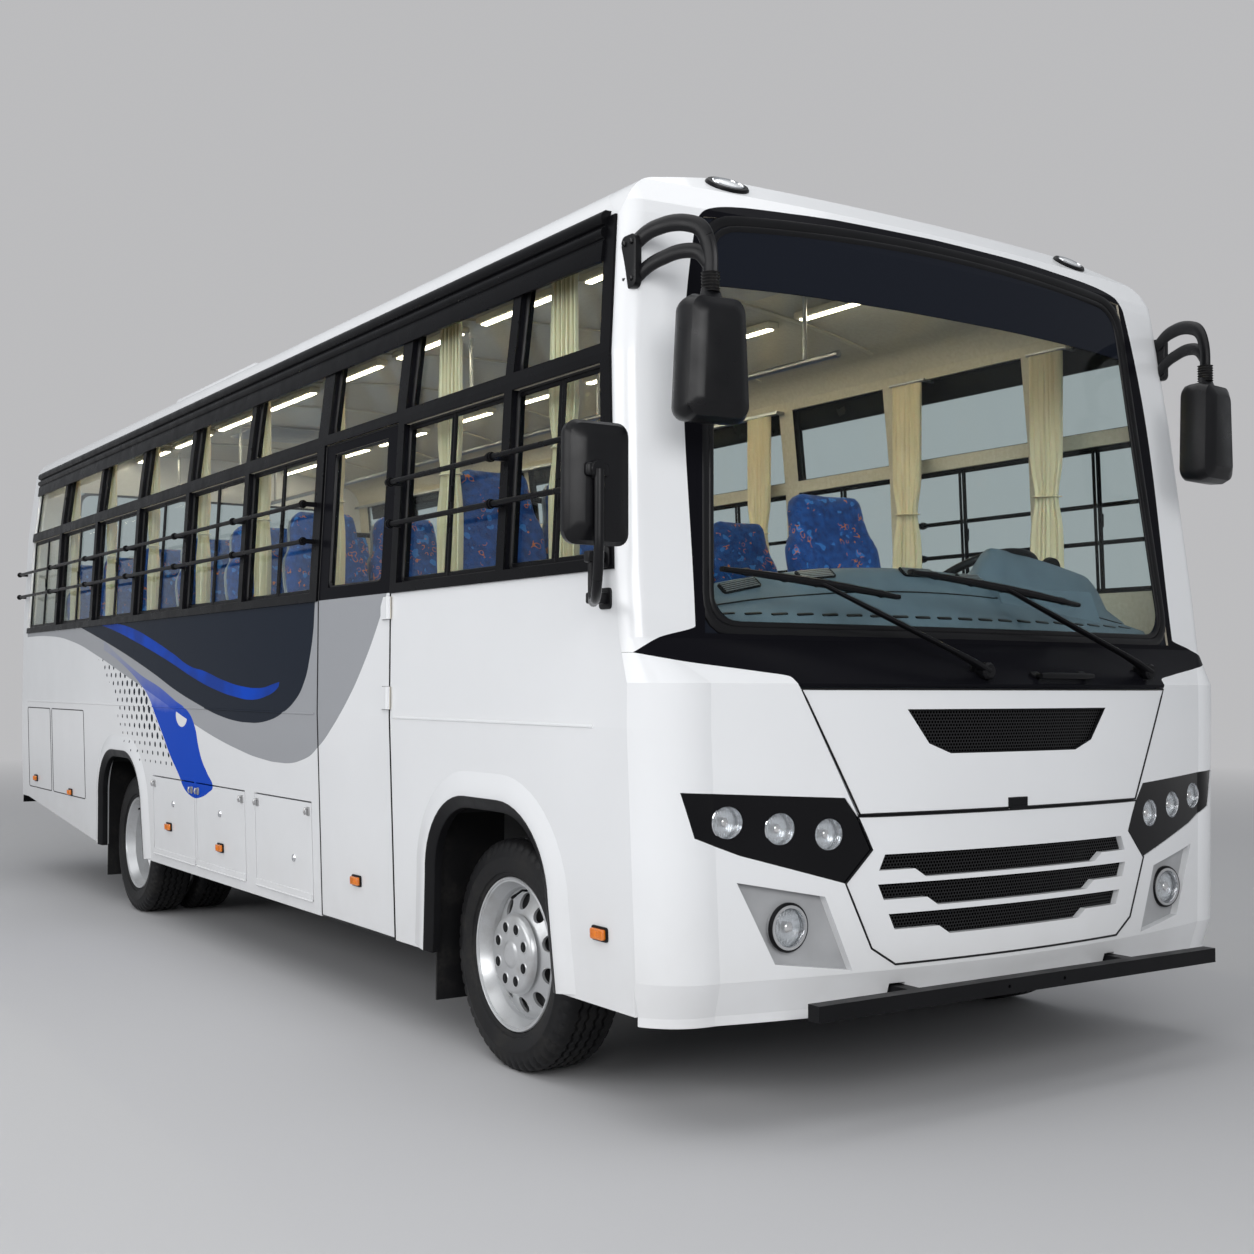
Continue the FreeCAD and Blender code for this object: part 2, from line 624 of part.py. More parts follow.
def fuse(name, *pieces):
    """Some solids joined into one."""
    item = doc.addObject("Part::MultiFuse", name)
    item.Shapes = list(pieces)
    return item


def common(name, *pieces):
    """What some solids share."""
    item = doc.addObject("Part::MultiCommon", name)
    item.Shapes = list(pieces)
    return item


def bundle(name, *pieces):
    """Separate solids kept in one node."""
    item = doc.addObject("Part::Compound", name)
    item.Links = list(pieces)
    return item


def mirrored(name, piece):
    """The same piece on the other side of the coach."""
    item = doc.addObject("Part::Mirroring", name)
    item.Source = piece
    item.Normal = FreeCAD.Vector(1, 0, 0)
    bind(item, "Base.x", middle_line)
    return item


NODES = []


def node(name, item):
    """Name a finished sub-part; its label names its file."""
    item.Label = name
    NODES.append(item)
    return item


# Stations and half widths worked out from the driving dimensions
half = s.body_width / 2
front_axle = (s.bar_reach - s.tail_reach) / 2
rear_axle = front_axle + s.wheelbase
half_skirt = half - s.skirt_inset
half_mid = half - s.mid_inset
half_cant = half - s.cant_inset
tail_line = front_axle + s.tail_line
bar_arm_x = s.rail_half + s.fit_gap + s.bar_side / 2


def crown_radius(rise, chord_half):
    """Radius of an arc from its rise over half its chord."""
    return (chord_half * chord_half + rise * rise) / (2 * rise)


def body_section(inset):
    """Cross-section of the body, moved inwards, walked clockwise from the left skirt."""
    edge_half = s.edge_half - inset / 2
    edge_z = s.edge_z - inset
    rise = s.crown_z - s.edge_z
    corner = s.roof_corner_radius - inset
    low = s.skirt_z - s.overrun
    return [
        (half_skirt - inset, low),
        (half_skirt - inset, s.skirt_z),
        (half - inset, s.swage_z),
        (half - inset, s.waist_z),
        (half_mid - inset, s.mid_z),
        (half_cant - inset, s.cant_z, corner),
        (edge_half, edge_z, crown_radius(rise, edge_half)),
        (-edge_half, edge_z, corner),
        (-(half_cant - inset), s.cant_z),
        (-(half_mid - inset), s.mid_z),
        (-(half - inset), s.waist_z),
        (-(half - inset), s.swage_z),
        (-(half_skirt - inset), s.skirt_z),
        (-(half_skirt - inset), low),
    ]


def at(size):
    """A station counted from the front axle."""
    return front_axle + size


def side_x(height, inset=0):
    """Half width of the body at a height on the lower side."""
    rise = s.swage_z - s.skirt_z
    return half_skirt + s.skirt_inset * (height - s.skirt_z) / rise - inset


def envelope(name, inset, span):
    """The body's cross-section, moved inwards, pulled between two stations."""
    return prism(name, "XZ", body_section(as_size(inset)), span)


# Nose: a ruled loft through plan sections, trimmed by the body's cross-section
def nose_levels():
    """Height, reach, plan radius, half width and corner of each plan section."""
    low = (s.nose_corner_x, s.nose_corner_y, s.nose_corner_radius)
    post = (s.post_corner_x, s.post_corner_y, s.post_corner_radius)
    return [
        (s.nose_low_z - s.overrun, s.nose_foot_reach, s.nose_arc, half_skirt, low),
        (s.skirt_z, s.nose_foot_reach, s.nose_arc, half_skirt, low),
        (s.nose_foot_z, s.nose_reach, s.nose_arc, side_x(s.nose_foot_z), low),
        (s.swage_z, s.nose_reach, s.nose_arc, half, low),
        (s.bonnet_z, s.nose_reach, s.nose_arc, half, low),
        (s.screen_z, s.screen_base_reach, s.screen_arc, half, post),
        (s.waist_z, s.screen_waist_reach, s.screen_arc, half, post),
        (s.mid_z, s.screen_mid_reach, s.screen_arc, half_mid, post),
        (s.cant_z, s.screen_cant_reach, s.screen_arc, half_cant, post),
        (s.brow_z, s.brow_reach, s.screen_arc, half_cant, post),
        (s.dome_low_z, s.dome_low_reach, s.screen_arc, half_cant, post),
        (s.dome_mid_z, s.dome_mid_reach, s.screen_arc, half_cant, post),
        (s.dome_high_z, s.dome_high_reach, s.screen_arc, half_cant, post),
        (s.dome_top_z, s.dome_top_reach, s.screen_arc, half_cant, post),
    ]


def nose_solid(name, inset):
    """The nose as a full solid, moved inwards by an inset."""
    inset = as_size(inset)
    sections = []
    for number, (height, reach, arc, width, corner) in enumerate(nose_levels()):
        corner_x, corner_y, corner_radius = [entry - inset for entry in corner]
        wide = width - inset
        flat = wide - corner_x
        front = front_axle - reach + inset + flat * flat / (2 * arc)
        side = front + corner_y
        back = front_axle + s.arch_half
        sketch = outline("%s_level_%d" % (name, number), "XY", [
            (-wide, back),
            (-wide, side, corner_radius),
            (-flat, front, arc),
            (flat, front, corner_radius),
            (wide, side),
            (wide, back),
        ], height)
        sections.append(sketch)
    loft = doc.addObject("Part::Loft", name + "_loft")
    loft.Sections = sections
    loft.Solid = True
    loft.Ruled = True
    span = (front_axle - s.nose_reach - s.overrun, front_axle + s.arch_half - s.overrun)
    return common(name, loft, envelope(name + "_envelope", inset, span))


def split_line(shift):
    """The joint between side walls and nose, from skirt to roof, as points in YZ."""
    return [
        (front_axle - s.split_low + shift, s.nose_low_z - s.overrun),
        (front_axle - s.split_low + shift, s.bonnet_z),
        (front_axle - s.split_base + shift, s.screen_z),
        (front_axle - s.split_waist + shift, s.waist_z),
        (front_axle - s.split_mid + shift, s.mid_z),
        (front_axle - s.split_cant + shift, s.cant_z),
        (front_axle - s.split_roof + shift, s.crown_z + s.overrun),
    ]


across = (-(half + s.overrun), half + s.overrun)
ahead = front_axle - s.nose_reach - s.overrun
nose_region = prism("nose_region", "YZ", [(ahead, s.nose_low_z)] + [
    (front_axle - s.split_low - s.fit_gap, s.nose_low_z)] + split_line(-s.fit_gap)[1:]
    + [(ahead, s.crown_z + s.overrun)], across)


def arch_points(axle):
    """One wheel arch, walked from front to rear."""
    return [
        (axle - s.arch_half, s.skirt_z),
        (axle - s.arch_shoulder_half, s.arch_shoulder_z, -s.arch_radius),
        (axle - s.arch_top_half, s.arch_z),
        (axle + s.arch_top_half, s.arch_z, -s.arch_radius),
        (axle + s.arch_shoulder_half, s.arch_shoulder_z),
        (axle + s.arch_half, s.skirt_z),
    ]


side_region = prism("side_region", "YZ", [(front_axle - s.split_low, s.skirt_z)]
    + arch_points(front_axle) + arch_points(rear_axle)
    + [(tail_line, s.tail_skirt_z), (tail_line, s.crown_z + s.overrun)]
    + list(reversed(split_line(ZERO)[1:])), across)


def wall_profile(side):
    """Section through one side wall; side is -1 for the right and 1 for the left."""
    outer = [(half_skirt, s.skirt_z), (half, s.swage_z), (half, s.waist_z),
             (half_mid, s.mid_z), (half_cant, s.cant_z)]
    points = [(side * x, z) for x, z in outer]
    return points + [(side * (x - s.wall), z) for x, z in reversed(outer)]


def wall_solid(name, side):
    """One side wall, cut to the side outline, with no windows yet."""
    span = (front_axle - s.split_low, tail_line)
    return common(name, prism(name + "_profile", "XZ", wall_profile(side), span), side_region)


def side_span(side):
    """From inside the cabin to outside the wall on one side."""
    return ordered(side * (half + s.overrun), side * (half - s.wall - s.overrun - s.cant_inset))


def window_spans():
    """Front and rear edge of each window column, from front to rear."""
    pillar = s.pillar / 2
    spans = [(as_size(s.front_pillar) + pillar, s.door_front - s.pillar),
             (s.door_front + pillar, s.door_back - pillar)]
    for column in range(int(s.window_columns.value)):
        start = s.rear_windows_from + column * s.window_pitch
        spans.append((start + pillar, start + s.window_pitch - pillar))
    return [(at(low), at(high)) for low, high in spans]


def slanted_window(name, side, low_z, high_z):
    """The foremost window, whose front edge follows the nose joint."""
    def edge(height):
        rise = s.mid_z - s.waist_z
        lean = (s.split_waist - s.split_mid) * (height - s.waist_z) / rise
        return front_axle - s.split_waist + lean + s.pillar
    back = at(s.front_pillar) - s.pillar / 2
    return prism(name, "YZ", [(edge(low_z), low_z), (back, low_z), (back, high_z),
                              (edge(high_z), high_z)], side_span(side))


def window_holes(side):
    """Cutting shapes for every window of one side."""
    tag = "right" if side < 0 else "left"
    holes = []
    rows = [("low", s.window_low_z, s.window_high_z), ("top", s.top_window_low_z, s.top_window_high_z)]
    for row, low_z, high_z in rows:
        holes.append(slanted_window("window_%s_%s_nose" % (tag, row), side, low_z, high_z))
        for number, span in enumerate(window_spans()):
            if side < 0 and row == "low" and number == 1:
                continue
            name = "window_%s_%s_%d" % (tag, row, number)
            holes.append(box(name, side_span(side), span, (low_z, high_z)))
    return holes


BAYS = [("first", s.bay_first, s.bay_first_end), ("second", s.bay_second, s.bay_second_end),
        ("third", s.bay_third, s.bay_third_end)]


def make_walls():
    """Both side walls with windows, door opening and luggage openings."""
    for side, tag in ((-1, "right"), (1, "left")):
        holes = window_holes(side)
        for name, low, high in BAYS:
            holes.append(box("bay_hole_%s_%s" % (tag, name), side_span(side),
                             (at(low), at(high)), (s.bay_low_z, s.bay_high_z)))
        if side < 0:
            holes.append(box("door_hole", side_span(side), (at(s.door_front), at(s.door_back)),
                             (s.skirt_z - s.overrun, s.door_top_z)))
        node("side_wall_" + tag, cut("wall_cut_" + tag, wall_solid("wall_" + tag, side), *holes))


def make_roof():
    """The roof shell between nose and tail."""
    edge_half = s.edge_half
    inner_half = s.edge_half - s.wall / 2
    rise = s.crown_z - s.edge_z
    corner = s.roof_corner_radius
    inner_corner = corner - s.wall
    points = [
        (half_cant, s.cant_z, corner),
        (edge_half, s.edge_z, crown_radius(rise, edge_half)),
        (-edge_half, s.edge_z, corner),
        (-half_cant, s.cant_z),
        (-(half_cant - s.wall), s.cant_z, -inner_corner),
        (-inner_half, s.edge_z - s.wall, -crown_radius(rise, inner_half)),
        (inner_half, s.edge_z - s.wall, -inner_corner),
        (half_cant - s.wall, s.cant_z),
    ]
    span = (front_axle - s.split_cant - s.overrun, tail_line)
    shell = prism("roof_profile", "XZ", points, span)
    node("roof", common("roof_cut", shell, side_region))


def front_prism(name, points, depth=None):
    """An outline on the nose, seen from the front, pulled through the nose."""
    stop = depth or front_axle - s.split_low + s.overrun
    return prism(name, "XZ", points, (ahead, stop))


def both_sides(points):
    """Complete an outline given for +X from top middle to bottom middle."""
    return [(x, z) for x, z in points] + [(-x, z) for x, z in reversed(points)]


def screen_outline(shrink=0):
    """The windscreen opening seen from the front."""
    rise = s.screen_crown
    low, high = s.screen_low_half - shrink, s.screen_high_half - shrink
    return [
        (high, s.screen_high_z - shrink, crown_radius(rise, high)),
        (-high, s.screen_high_z - shrink),
        (-low, s.screen_low_z + shrink),
        (low, s.screen_low_z + shrink),
    ]


def flap_outline(shrink):
    """The bonnet flap seen from the front."""
    return both_sides([(s.flap_top_half - shrink, s.flap_top_z - shrink),
                       (s.flap_low_half - shrink, s.flap_low_z + shrink)])


def both_lamps(points):
    """The same outline on both sides of the nose."""
    left = [(x, z) for x, z in points]
    right = [(-x, z) for x, z in reversed(points)]
    return left, right


HEADLAMP = [(s.head_out, s.head_out_z), (s.head_top_in, s.head_top_in_z),
            (s.flap_low_half, s.flap_low_z), (s.head_tip, s.head_tip_z),
            (s.head_low_in, s.head_low_z), (s.head_low_out, s.head_tip_z),
            (s.head_corner, s.head_corner_z)]
HEAD_SPOTS = [("one", s.lamp_one_x, s.lamp_one_z), ("two", s.lamp_two_x, s.lamp_two_z),
              ("three", s.lamp_three_x, s.lamp_three_z)]
FOG = [(s.fog_top_out, s.fog_top_z), (s.fog_top_in, s.fog_top_in_z),
       (s.fog_low_in, s.fog_low_z), (s.fog_low_out, s.fog_low_out_z)]
PANEL = both_sides([(s.flap_low_half, s.flap_low_z), (s.head_tip, s.head_tip_z),
                    (s.head_low_in, s.head_low_z), (s.panel_side, s.panel_side_z),
                    (s.panel_low, s.panel_low_z)])


def slot_outline(top, shoulder, foot, high_z, step_z, low_z):
    """One stepped grille slot, seen from the front."""
    return both_sides([(top, high_z), (shoulder, step_z), (foot + s.slot_step, step_z),
                       (foot, low_z)])


def lamp_hole_pair(name, points):
    """Cutting shapes for one lamp outline on both sides."""
    left, right = both_lamps(points)
    return [front_prism(name + "_left", left), front_prism(name + "_right", right)]


def nose_piece(name, out_inset, in_inset, outlines):
    """A curved plate that follows the nose between two insets, cut to outlines."""
    shell_out = nose_solid(name + "_out", out_inset)
    shell_in = nose_solid(name + "_in", in_inset)
    plates = []
    for number, tool in enumerate(outlines):
        plate = common("%s_plate_%d" % (name, number), shell_out, tool)
        plates.append(cut("%s_%d" % (name, number), plate, shell_in))
    return plates[0] if len(plates) == 1 else bundle(name + "_set", *plates)


def make_nose():
    """Nose shell, windscreen, bonnet flap, grille panel, lamp units and meshes."""
    outer = nose_solid("nose_outer", 0)
    inner = nose_solid("nose_inner", s.skin)
    holes = [front_prism("screen_hole", screen_outline(), at(ZERO - s.split_cant + s.overrun))]
    holes.append(front_prism("flap_hole", flap_outline(ZERO)))
    holes.append(front_prism("panel_hole", PANEL))
    holes += lamp_hole_pair("head_hole", HEADLAMP)
    holes += lamp_hole_pair("fog_hole", FOG)
    for side in (-1, 1):
        middle = side * bar_arm_x
        reach = s.bar_side / 2 + s.panel_gap
        holes.append(box("arm_hole_%d" % side, (middle - reach, middle + reach),
                         (ahead, front_axle - s.split_low),
                         (s.bar_z - reach, s.bar_z + reach)))
    block = common("nose_block", outer, nose_region)
    node("nose_shell", cut("nose_cut", block, inner, *holes))
    pane = front_prism("screen_pane", screen_outline(s.fit_gap), at(ZERO - s.split_cant + s.overrun))
    node("windscreen", nose_piece("screen", s.glass_inset, s.glass_inset + s.glass, [pane]))
    flap = front_prism("flap_tool", flap_outline(s.panel_gap))
    mesh_hole = front_prism("mesh_hole", both_sides([
        (s.mesh_top_half, s.mesh_top_z), (s.mesh_mid_half, s.mesh_mid_z),
        (s.mesh_low_half, s.mesh_low_z)]))
    plate = nose_piece("flap", 0, s.flap_skin, [flap])
    foot = s.flap_low_z + s.panel_gap
    line = front_axle - s.nose_reach - s.fit_gap - s.flap_hinge
    reach = (-s.flap_tab / 2, s.flap_tab / 2)
    barrel = rod("flap_barrel", (reach[0], line, foot), "X", s.flap_hinge, s.flap_tab)
    strap = box("flap_strap", reach, (line, line + s.flap_hinge * 2), (foot, foot + s.flap_strap))
    node("bonnet_flap", fuse("flap_whole", cut("flap_cut", plate, mesh_hole), barrel, strap))
    mesh = front_prism("mesh_tool", both_sides([
        (s.mesh_top_half - s.fit_gap, s.mesh_top_z - s.fit_gap),
        (s.mesh_mid_half - s.fit_gap, s.mesh_mid_z),
        (s.mesh_low_half - s.fit_gap, s.mesh_low_z + s.fit_gap)]))
    node("bonnet_mesh", nose_piece("bonnet_mesh", s.mesh_inset, s.mesh_inset + s.glass, [mesh]))
    slots = [
        slot_outline(s.slot_one_top, s.slot_one_side, s.slot_one_foot,
                     s.slot_one_z, s.slot_one_z - s.slot_edge, s.slot_one_z - s.slot_high),
        slot_outline(s.slot_two_top, s.slot_two_side, s.slot_two_foot,
                     s.slot_two_z, s.slot_two_z - s.slot_edge, s.slot_two_z - s.slot_high),
        slot_outline(s.slot_three_top, s.slot_three_side, s.slot_three_foot,
                     s.slot_three_z, s.slot_three_z - s.slot_edge, s.slot_three_z - s.slot_high),
    ]
    tools = [front_prism("slot_%d" % number, points) for number, points in enumerate(slots)]
    panel = nose_piece("panel", 0, s.flap_skin, [front_prism("panel_tool", PANEL)])
    node("grille_panel", cut("grille_cut", panel, *tools))
    backs = box("grille_back", (-s.slot_back_half, s.slot_back_half),
                (ahead, at(ZERO - s.split_low)),
                (s.slot_three_z - s.slot_high - s.glass, s.slot_one_z + s.glass))
    node("grille_mesh", nose_piece("grille_mesh", s.flap_skin + s.fit_gap,
                                   s.flap_skin + s.fit_gap + s.glass, [backs]))
    make_front_lamps()


def round_lamp(name, x, z, radius, deep):
    """A bowl that faces ahead, to be cut, and the domed glass that seats on its floor."""
    face = front_axle - s.nose_reach + x * x / (s.nose_arc * 2)
    floor = face + deep
    bowl = rod(name + "_bowl", (x, ahead, z), "Y", radius, floor - ahead)
    front = floor - s.fit_gap - s.lamp_glass
    disc = rod(name + "_disc", (x, front, z), "Y", radius - s.fit_gap, s.lamp_glass)
    dome = doc.addObject("Part::Sphere", name + "_dome")
    bind(dome, "Radius", s.lamp_dome)
    place(dome, x, front + s.lamp_dome, z, TURNS["Y"])
    return bowl, common(name + "_glass", disc, dome)


def make_front_lamps():
    """Headlamp bezels with three round lamps a side, and fog lamps in their recesses."""
    heads, fogs = [], []
    for side, tag in ((-1, "right"), (1, "left")):
        outline_at = 1 if side < 0 else 0
        tool = front_prism("head_tool_" + tag, both_lamps(HEADLAMP)[outline_at])
        bezel = nose_piece("head_" + tag, s.head_inset, s.head_deep, [tool])
        bowls = []
        for spot, x, z in HEAD_SPOTS:
            bowl, pane = round_lamp("head_%s_%s" % (tag, spot), side * x, z, s.lamp_radius,
                                    s.lamp_deep)
            bowls.append(bowl)
            heads.append(pane)
        heads.append(cut("head_bezel_" + tag, bezel, *bowls))
        tool = front_prism("fog_tool_" + tag, both_lamps(FOG)[outline_at])
        plate = nose_piece("fog_" + tag, s.fog_inset, s.fog_deep, [tool])
        x, z = side * s.fog_lamp_x, s.fog_lamp_z
        bowl, pane = round_lamp("fog_lamp_" + tag, x, z, s.fog_lamp_radius, s.fog_lamp_deep)
        face = front_axle - s.nose_reach + x * x / (s.nose_arc * 2)
        cup = rod("fog_cup_" + tag, (x, face + s.fog_lamp_front, z), "Y",
                  s.fog_lamp_radius + s.fog_lamp_wall, s.fog_lamp_deep)
        fogs += [pane, cut("fog_plate_" + tag, fuse("fog_whole_" + tag, plate, cup), bowl)]
    node("headlamp_units", bundle("head_set", *heads))
    node("fog_lamp_units", bundle("fog_set", *fogs))


def pane_plates(name, side, tools):
    """Glass panes of one side: a thin skin of the wall cut to the window shapes."""
    outer = [(half, s.waist_z), (half_mid, s.mid_z), (half_cant, s.cant_z)]
    depth = s.wall / 2
    points = [(side * (x - depth), z) for x, z in outer]
    points += [(side * (x - depth - s.glass), z) for x, z in reversed(outer)]
    skin = prism(name + "_skin", "XZ", points, (front_axle - s.split_low, tail_line))
    return [common("%s_%d" % (name, number), skin, tool) for number, tool in enumerate(tools)]


def rear_outline(shrink):
    """The rear window seen from behind."""
    return both_sides([
        (s.rear_window_high_half - shrink, s.rear_window_high_z - shrink),
        (s.rear_window_half - shrink, s.rear_window_low_z + shrink)])


def make_glass():
    """Panes of both sides and of the rear window, all in one node."""
    rear = prism("rear_pane", "XZ", rear_outline(s.fit_gap),
                 (at(s.tail_face) - s.glass_inset - s.glass, at(s.tail_face) - s.glass_inset))
    panes = pane_plates("glass_right", -1, window_holes(-1))
    panes += pane_plates("glass_left", 1, window_holes(1))
    node("cabin_glass", bundle("cabin_panes", rear, *panes))


def make_tail():
    """The rear mask with its window hole, the rear bumper and the tail lamps."""
    def plan(inset):
        wide = half - inset
        corner = s.tail_corner - inset
        back = at(s.tail_face) - inset
        return [(wide, tail_line + s.fit_gap), (wide, back - corner, corner),
                (wide - corner, back), (-(wide - corner), back, corner),
                (-wide, back - corner), (-wide, tail_line + s.fit_gap)]

    def solid(name, inset, low):
        shape = prism(name + "_plan", "XY", plan(as_size(inset)), (low, s.crown_z + s.overrun))
        return common(name, shape, envelope(name + "_env", inset, (tail_line, at(s.tail_reach))))
    outer = solid("tail_outer", 0, s.tail_skirt_z)
    inner = solid("tail_inner", s.skin, s.tail_skirt_z - s.overrun)
    window = prism("rear_hole", "XZ", rear_outline(ZERO), (tail_line, at(s.tail_reach)))
    node("tail_shell", cut("tail_cut", outer, inner, window))
    back, reach = at(s.tail_face) + s.fit_gap, at(s.tail_reach)
    bumper = prism("rear_bumper_plan", "XY", [
        (half_skirt, back), (half_skirt - s.bumper_corner, reach),
        (-(half_skirt - s.bumper_corner), reach), (-half_skirt, back)],
        (s.rear_bumper_low_z, s.rear_bumper_high_z))
    middle_z = (s.rear_bumper_low_z + s.rear_bumper_high_z) / 2
    node("rear_bumper", cut("rear_bumper_cut", bumper, *plate_bolts("rear", back, reach, middle_z)))
    lamps = []
    for side in (-1, 1):
        x = ordered(side * s.tail_lamp_in, side * (s.tail_lamp_in + s.tail_lamp_wide))
        lamps.append(box("tail_lamp_%d" % side, x,
                         (at(s.tail_face) + s.fit_gap, at(s.tail_face) + s.marker_deep),
                         (s.tail_lamp_low_z, s.tail_lamp_high_z)))
    node("tail_lamps", bundle("tail_lamp_pair", *lamps))


def plate_bolts(name, front, back, height):
    """Two through holes for the bolts of a number plate."""
    holes = []
    for side in (-1, 1):
        spot = (side * s.plate_bolt_spacing / 2, front - s.overrun, height)
        holes.append(rod("%s_bolt_%d" % (name, side), spot, "Y", s.plate_bolt_radius,
                         back - front + s.overrun * 2))
    return holes


def door_profile(side, low_z, high_z, thick):
    """Section of a panel that follows the side of the body between two heights."""
    outer = [(side_x(low_z), low_z)]
    if high_z.value > s.swage_z.value:
        outer += [(half, s.swage_z), (half, s.waist_z)]
        lean = s.mid_inset * (high_z - s.waist_z) / (s.mid_z - s.waist_z)
        outer.append((half - lean, high_z))
    else:
        outer.append((side_x(high_z), high_z))
    points = [(side * x, z) for x, z in outer]
    return points + [(side * (x - thick), z) for x, z in reversed(outer)]


def make_door():
    """The hinged entry door with its window cut, and the pane in it."""
    low_z, high_z = s.skirt_z + s.panel_gap, s.door_top_z - s.panel_gap
    span = (at(s.door_front + s.panel_gap), at(s.door_back - s.door_swing_gap))
    leaf = prism("door_leaf", "XZ", door_profile(-1, low_z, high_z, s.door_thick), span)
    inset = s.door_window_inset
    opening = (at(s.door_front + inset), at(s.door_back - inset))
    hole = box("door_window", side_span(-1), opening, (s.door_window_low_z, s.door_window_high_z))
    pieces = [cut("door_cut", leaf, hole)]
    radius = s.hinge_radius
    spot = -(half + s.fit_gap + radius)
    for tag, foot in (("low", s.hinge_low_z), ("high", s.hinge_high_z)):
        pieces.append(rod("hinge_" + tag, (spot, at(s.door_front), foot), "Z", radius, s.hinge_long))
        pieces.append(box("strap_" + tag, (spot, radius / 2 - half),
                          (span[0], span[0] + s.hinge_strap), (foot, foot + s.hinge_long)))
    node("entry_door", fuse("door_whole", *pieces))
    gap = s.fit_gap
    centre = (s.door_thick - s.glass) / 2
    skin_points = [(-(half - centre), s.waist_z), (-(half_mid - centre), s.mid_z),
                   (-(half_mid - centre - s.glass), s.mid_z), (-(half - centre - s.glass), s.waist_z)]
    skin = prism("door_glass_skin", "XZ", skin_points, span)
    pane = box("door_pane", side_span(-1), (opening[0] + gap, opening[1] - gap),
               (s.door_window_low_z + gap, s.door_window_high_z - gap))
    node("door_glass", common("door_glass_cut", skin, pane))


def make_luggage():
    """Six luggage doors and the open trays behind them, hung from the cross bearers."""
    trays = []
    for side, tag in ((-1, "right"), (1, "left")):
        for name, low, high in BAYS:
            span = (at(low) + s.panel_gap, at(high) - s.panel_gap)
            profile = door_profile(side, s.bay_low_z + s.panel_gap, s.bay_high_z - s.panel_gap,
                                   s.flap_thick)
            label = "bay_door_%s_%s" % (tag, name)
            leaf = prism(label, "XZ", profile, span)
            skin = side_x(s.bay_low_z) + s.fit_gap
            line = skin + s.flap_hinge
            barrel = rod(label + "_barrel", (side * line, span[0], s.bay_low_z), "Y",
                         s.flap_hinge, span[1] - span[0])
            strap = box(label + "_strap", ordered(side * line, side * skin), span,
                        (s.bay_low_z, s.bay_low_z + s.flap_strap))
            node("luggage_door_%s_%s" % (tag, name), fuse(label + "_whole", leaf, barrel, strap))
        front, back = at(s.bay_first) - s.bay_sill, at(s.bay_third_end) + s.bay_sill
        mouth = half_skirt - s.wall - s.fit_gap
        low, high = mouth - s.bay_depth, mouth
        bottom, top = s.bay_low_z - s.bay_sill, s.rail_high_z
        sheet_thick = s.bay_sheet
        shell = box("bay_shell_" + tag, (low, high), (front, back), (bottom, top))
        middle = at((s.bay_first_end + s.bay_second) / 2)
        rooms = [
            box("bay_room_a_" + tag, (low + sheet_thick, high + s.overrun),
                (front + sheet_thick, middle - sheet_thick / 2),
                (bottom + sheet_thick, top - sheet_thick)),
            box("bay_room_b_" + tag, (low + sheet_thick, high + s.overrun),
                (middle + sheet_thick / 2, back - sheet_thick),
                (bottom + sheet_thick, top - sheet_thick)),
        ]
        tray = cut("bay_tray_" + tag, shell, *rooms)
        trays.append(mirrored("bay_tray_mirror", tray) if side < 0 else tray)
    node("luggage_bays", bundle("bay_trays", *trays))


def inner_slab(name, y, z, inset=None):
    """A slab across the inside of the body, seated against the side walls."""
    inset = inset or s.wall + s.fit_gap
    return common(name, envelope(name + "_env", inset, y),
                  box(name + "_box", across, y, z))


def make_floor():
    """Cabin floor with the stepwell cut out, and the entry steps."""
    y = (at(ZERO - s.floor_front), at(s.floor_back))
    z = (s.floor_z - s.floor_thick, s.floor_z)
    well = box("stepwell", (-(half + s.overrun), -(half - s.wall - s.step_half_depth)),
               (at(s.door_front - s.panel_gap), at(s.door_back + s.panel_gap)),
               (z[0] - s.overrun, z[1] + s.overrun))
    hump = box("engine_hole", (-s.hump_half, s.hump_half),
               (at(ZERO - s.floor_front - s.overrun), at(s.hump_back)),
               (z[0] - s.overrun, z[1] + s.overrun))
    node("floor", cut("floor_cut", inner_slab("floor_slab", y, z), well, hump))
    deep = -(half - s.wall - s.step_half_depth) - s.fit_gap
    outside = -(half_skirt - s.wall - s.fit_gap)
    thick = s.step_sheet
    under = s.floor_z - s.floor_thick - s.fit_gap
    ends = (at(s.door_front - s.panel_gap), at(s.door_back + s.panel_gap))
    first_nose = outside + s.step_tread
    profile = [
        (outside, s.step_one_z - thick), (first_nose + thick, s.step_one_z - thick),
        (first_nose + thick, s.step_two_z - thick), (deep, s.step_two_z - thick),
        (deep, s.floor_z), (deep - thick, s.floor_z), (deep - thick, s.step_two_z),
        (first_nose, s.step_two_z), (first_nose, s.step_one_z), (outside, s.step_one_z)]
    steps = [prism("step_treads", "XZ", profile, ends)]
    for name, y in (("front", (ends[0] - thick, ends[0])), ("rear", (ends[1], ends[1] + thick))):
        steps.append(box("step_side_" + name, (outside, deep), y, (s.step_one_z - thick, under)))
    node("entry_steps", fuse("steps_whole", *steps))
    cover = box("hump_shell", (-s.hump_half, s.hump_half),
                (at(ZERO - s.hump_front), at(s.hump_back)), (s.floor_z + s.fit_gap, s.hump_z))
    inside = box("hump_inside", (-(s.hump_half - s.wall), s.hump_half - s.wall),
                 (at(ZERO - s.hump_front - s.overrun), at(s.hump_back) - s.wall),
                 (s.floor_z - s.overrun, s.hump_z - s.wall))
    flange = s.hump_flange
    rim = box("hump_rim", (-(s.hump_half + flange), s.hump_half + flange),
              (at(ZERO - s.hump_front), at(s.hump_back) + flange),
              (s.floor_z + s.fit_gap, s.floor_z + s.fit_gap + s.bay_sheet))
    node("engine_cover", cut("hump_cut", fuse("hump_whole", cover, rim), inside))


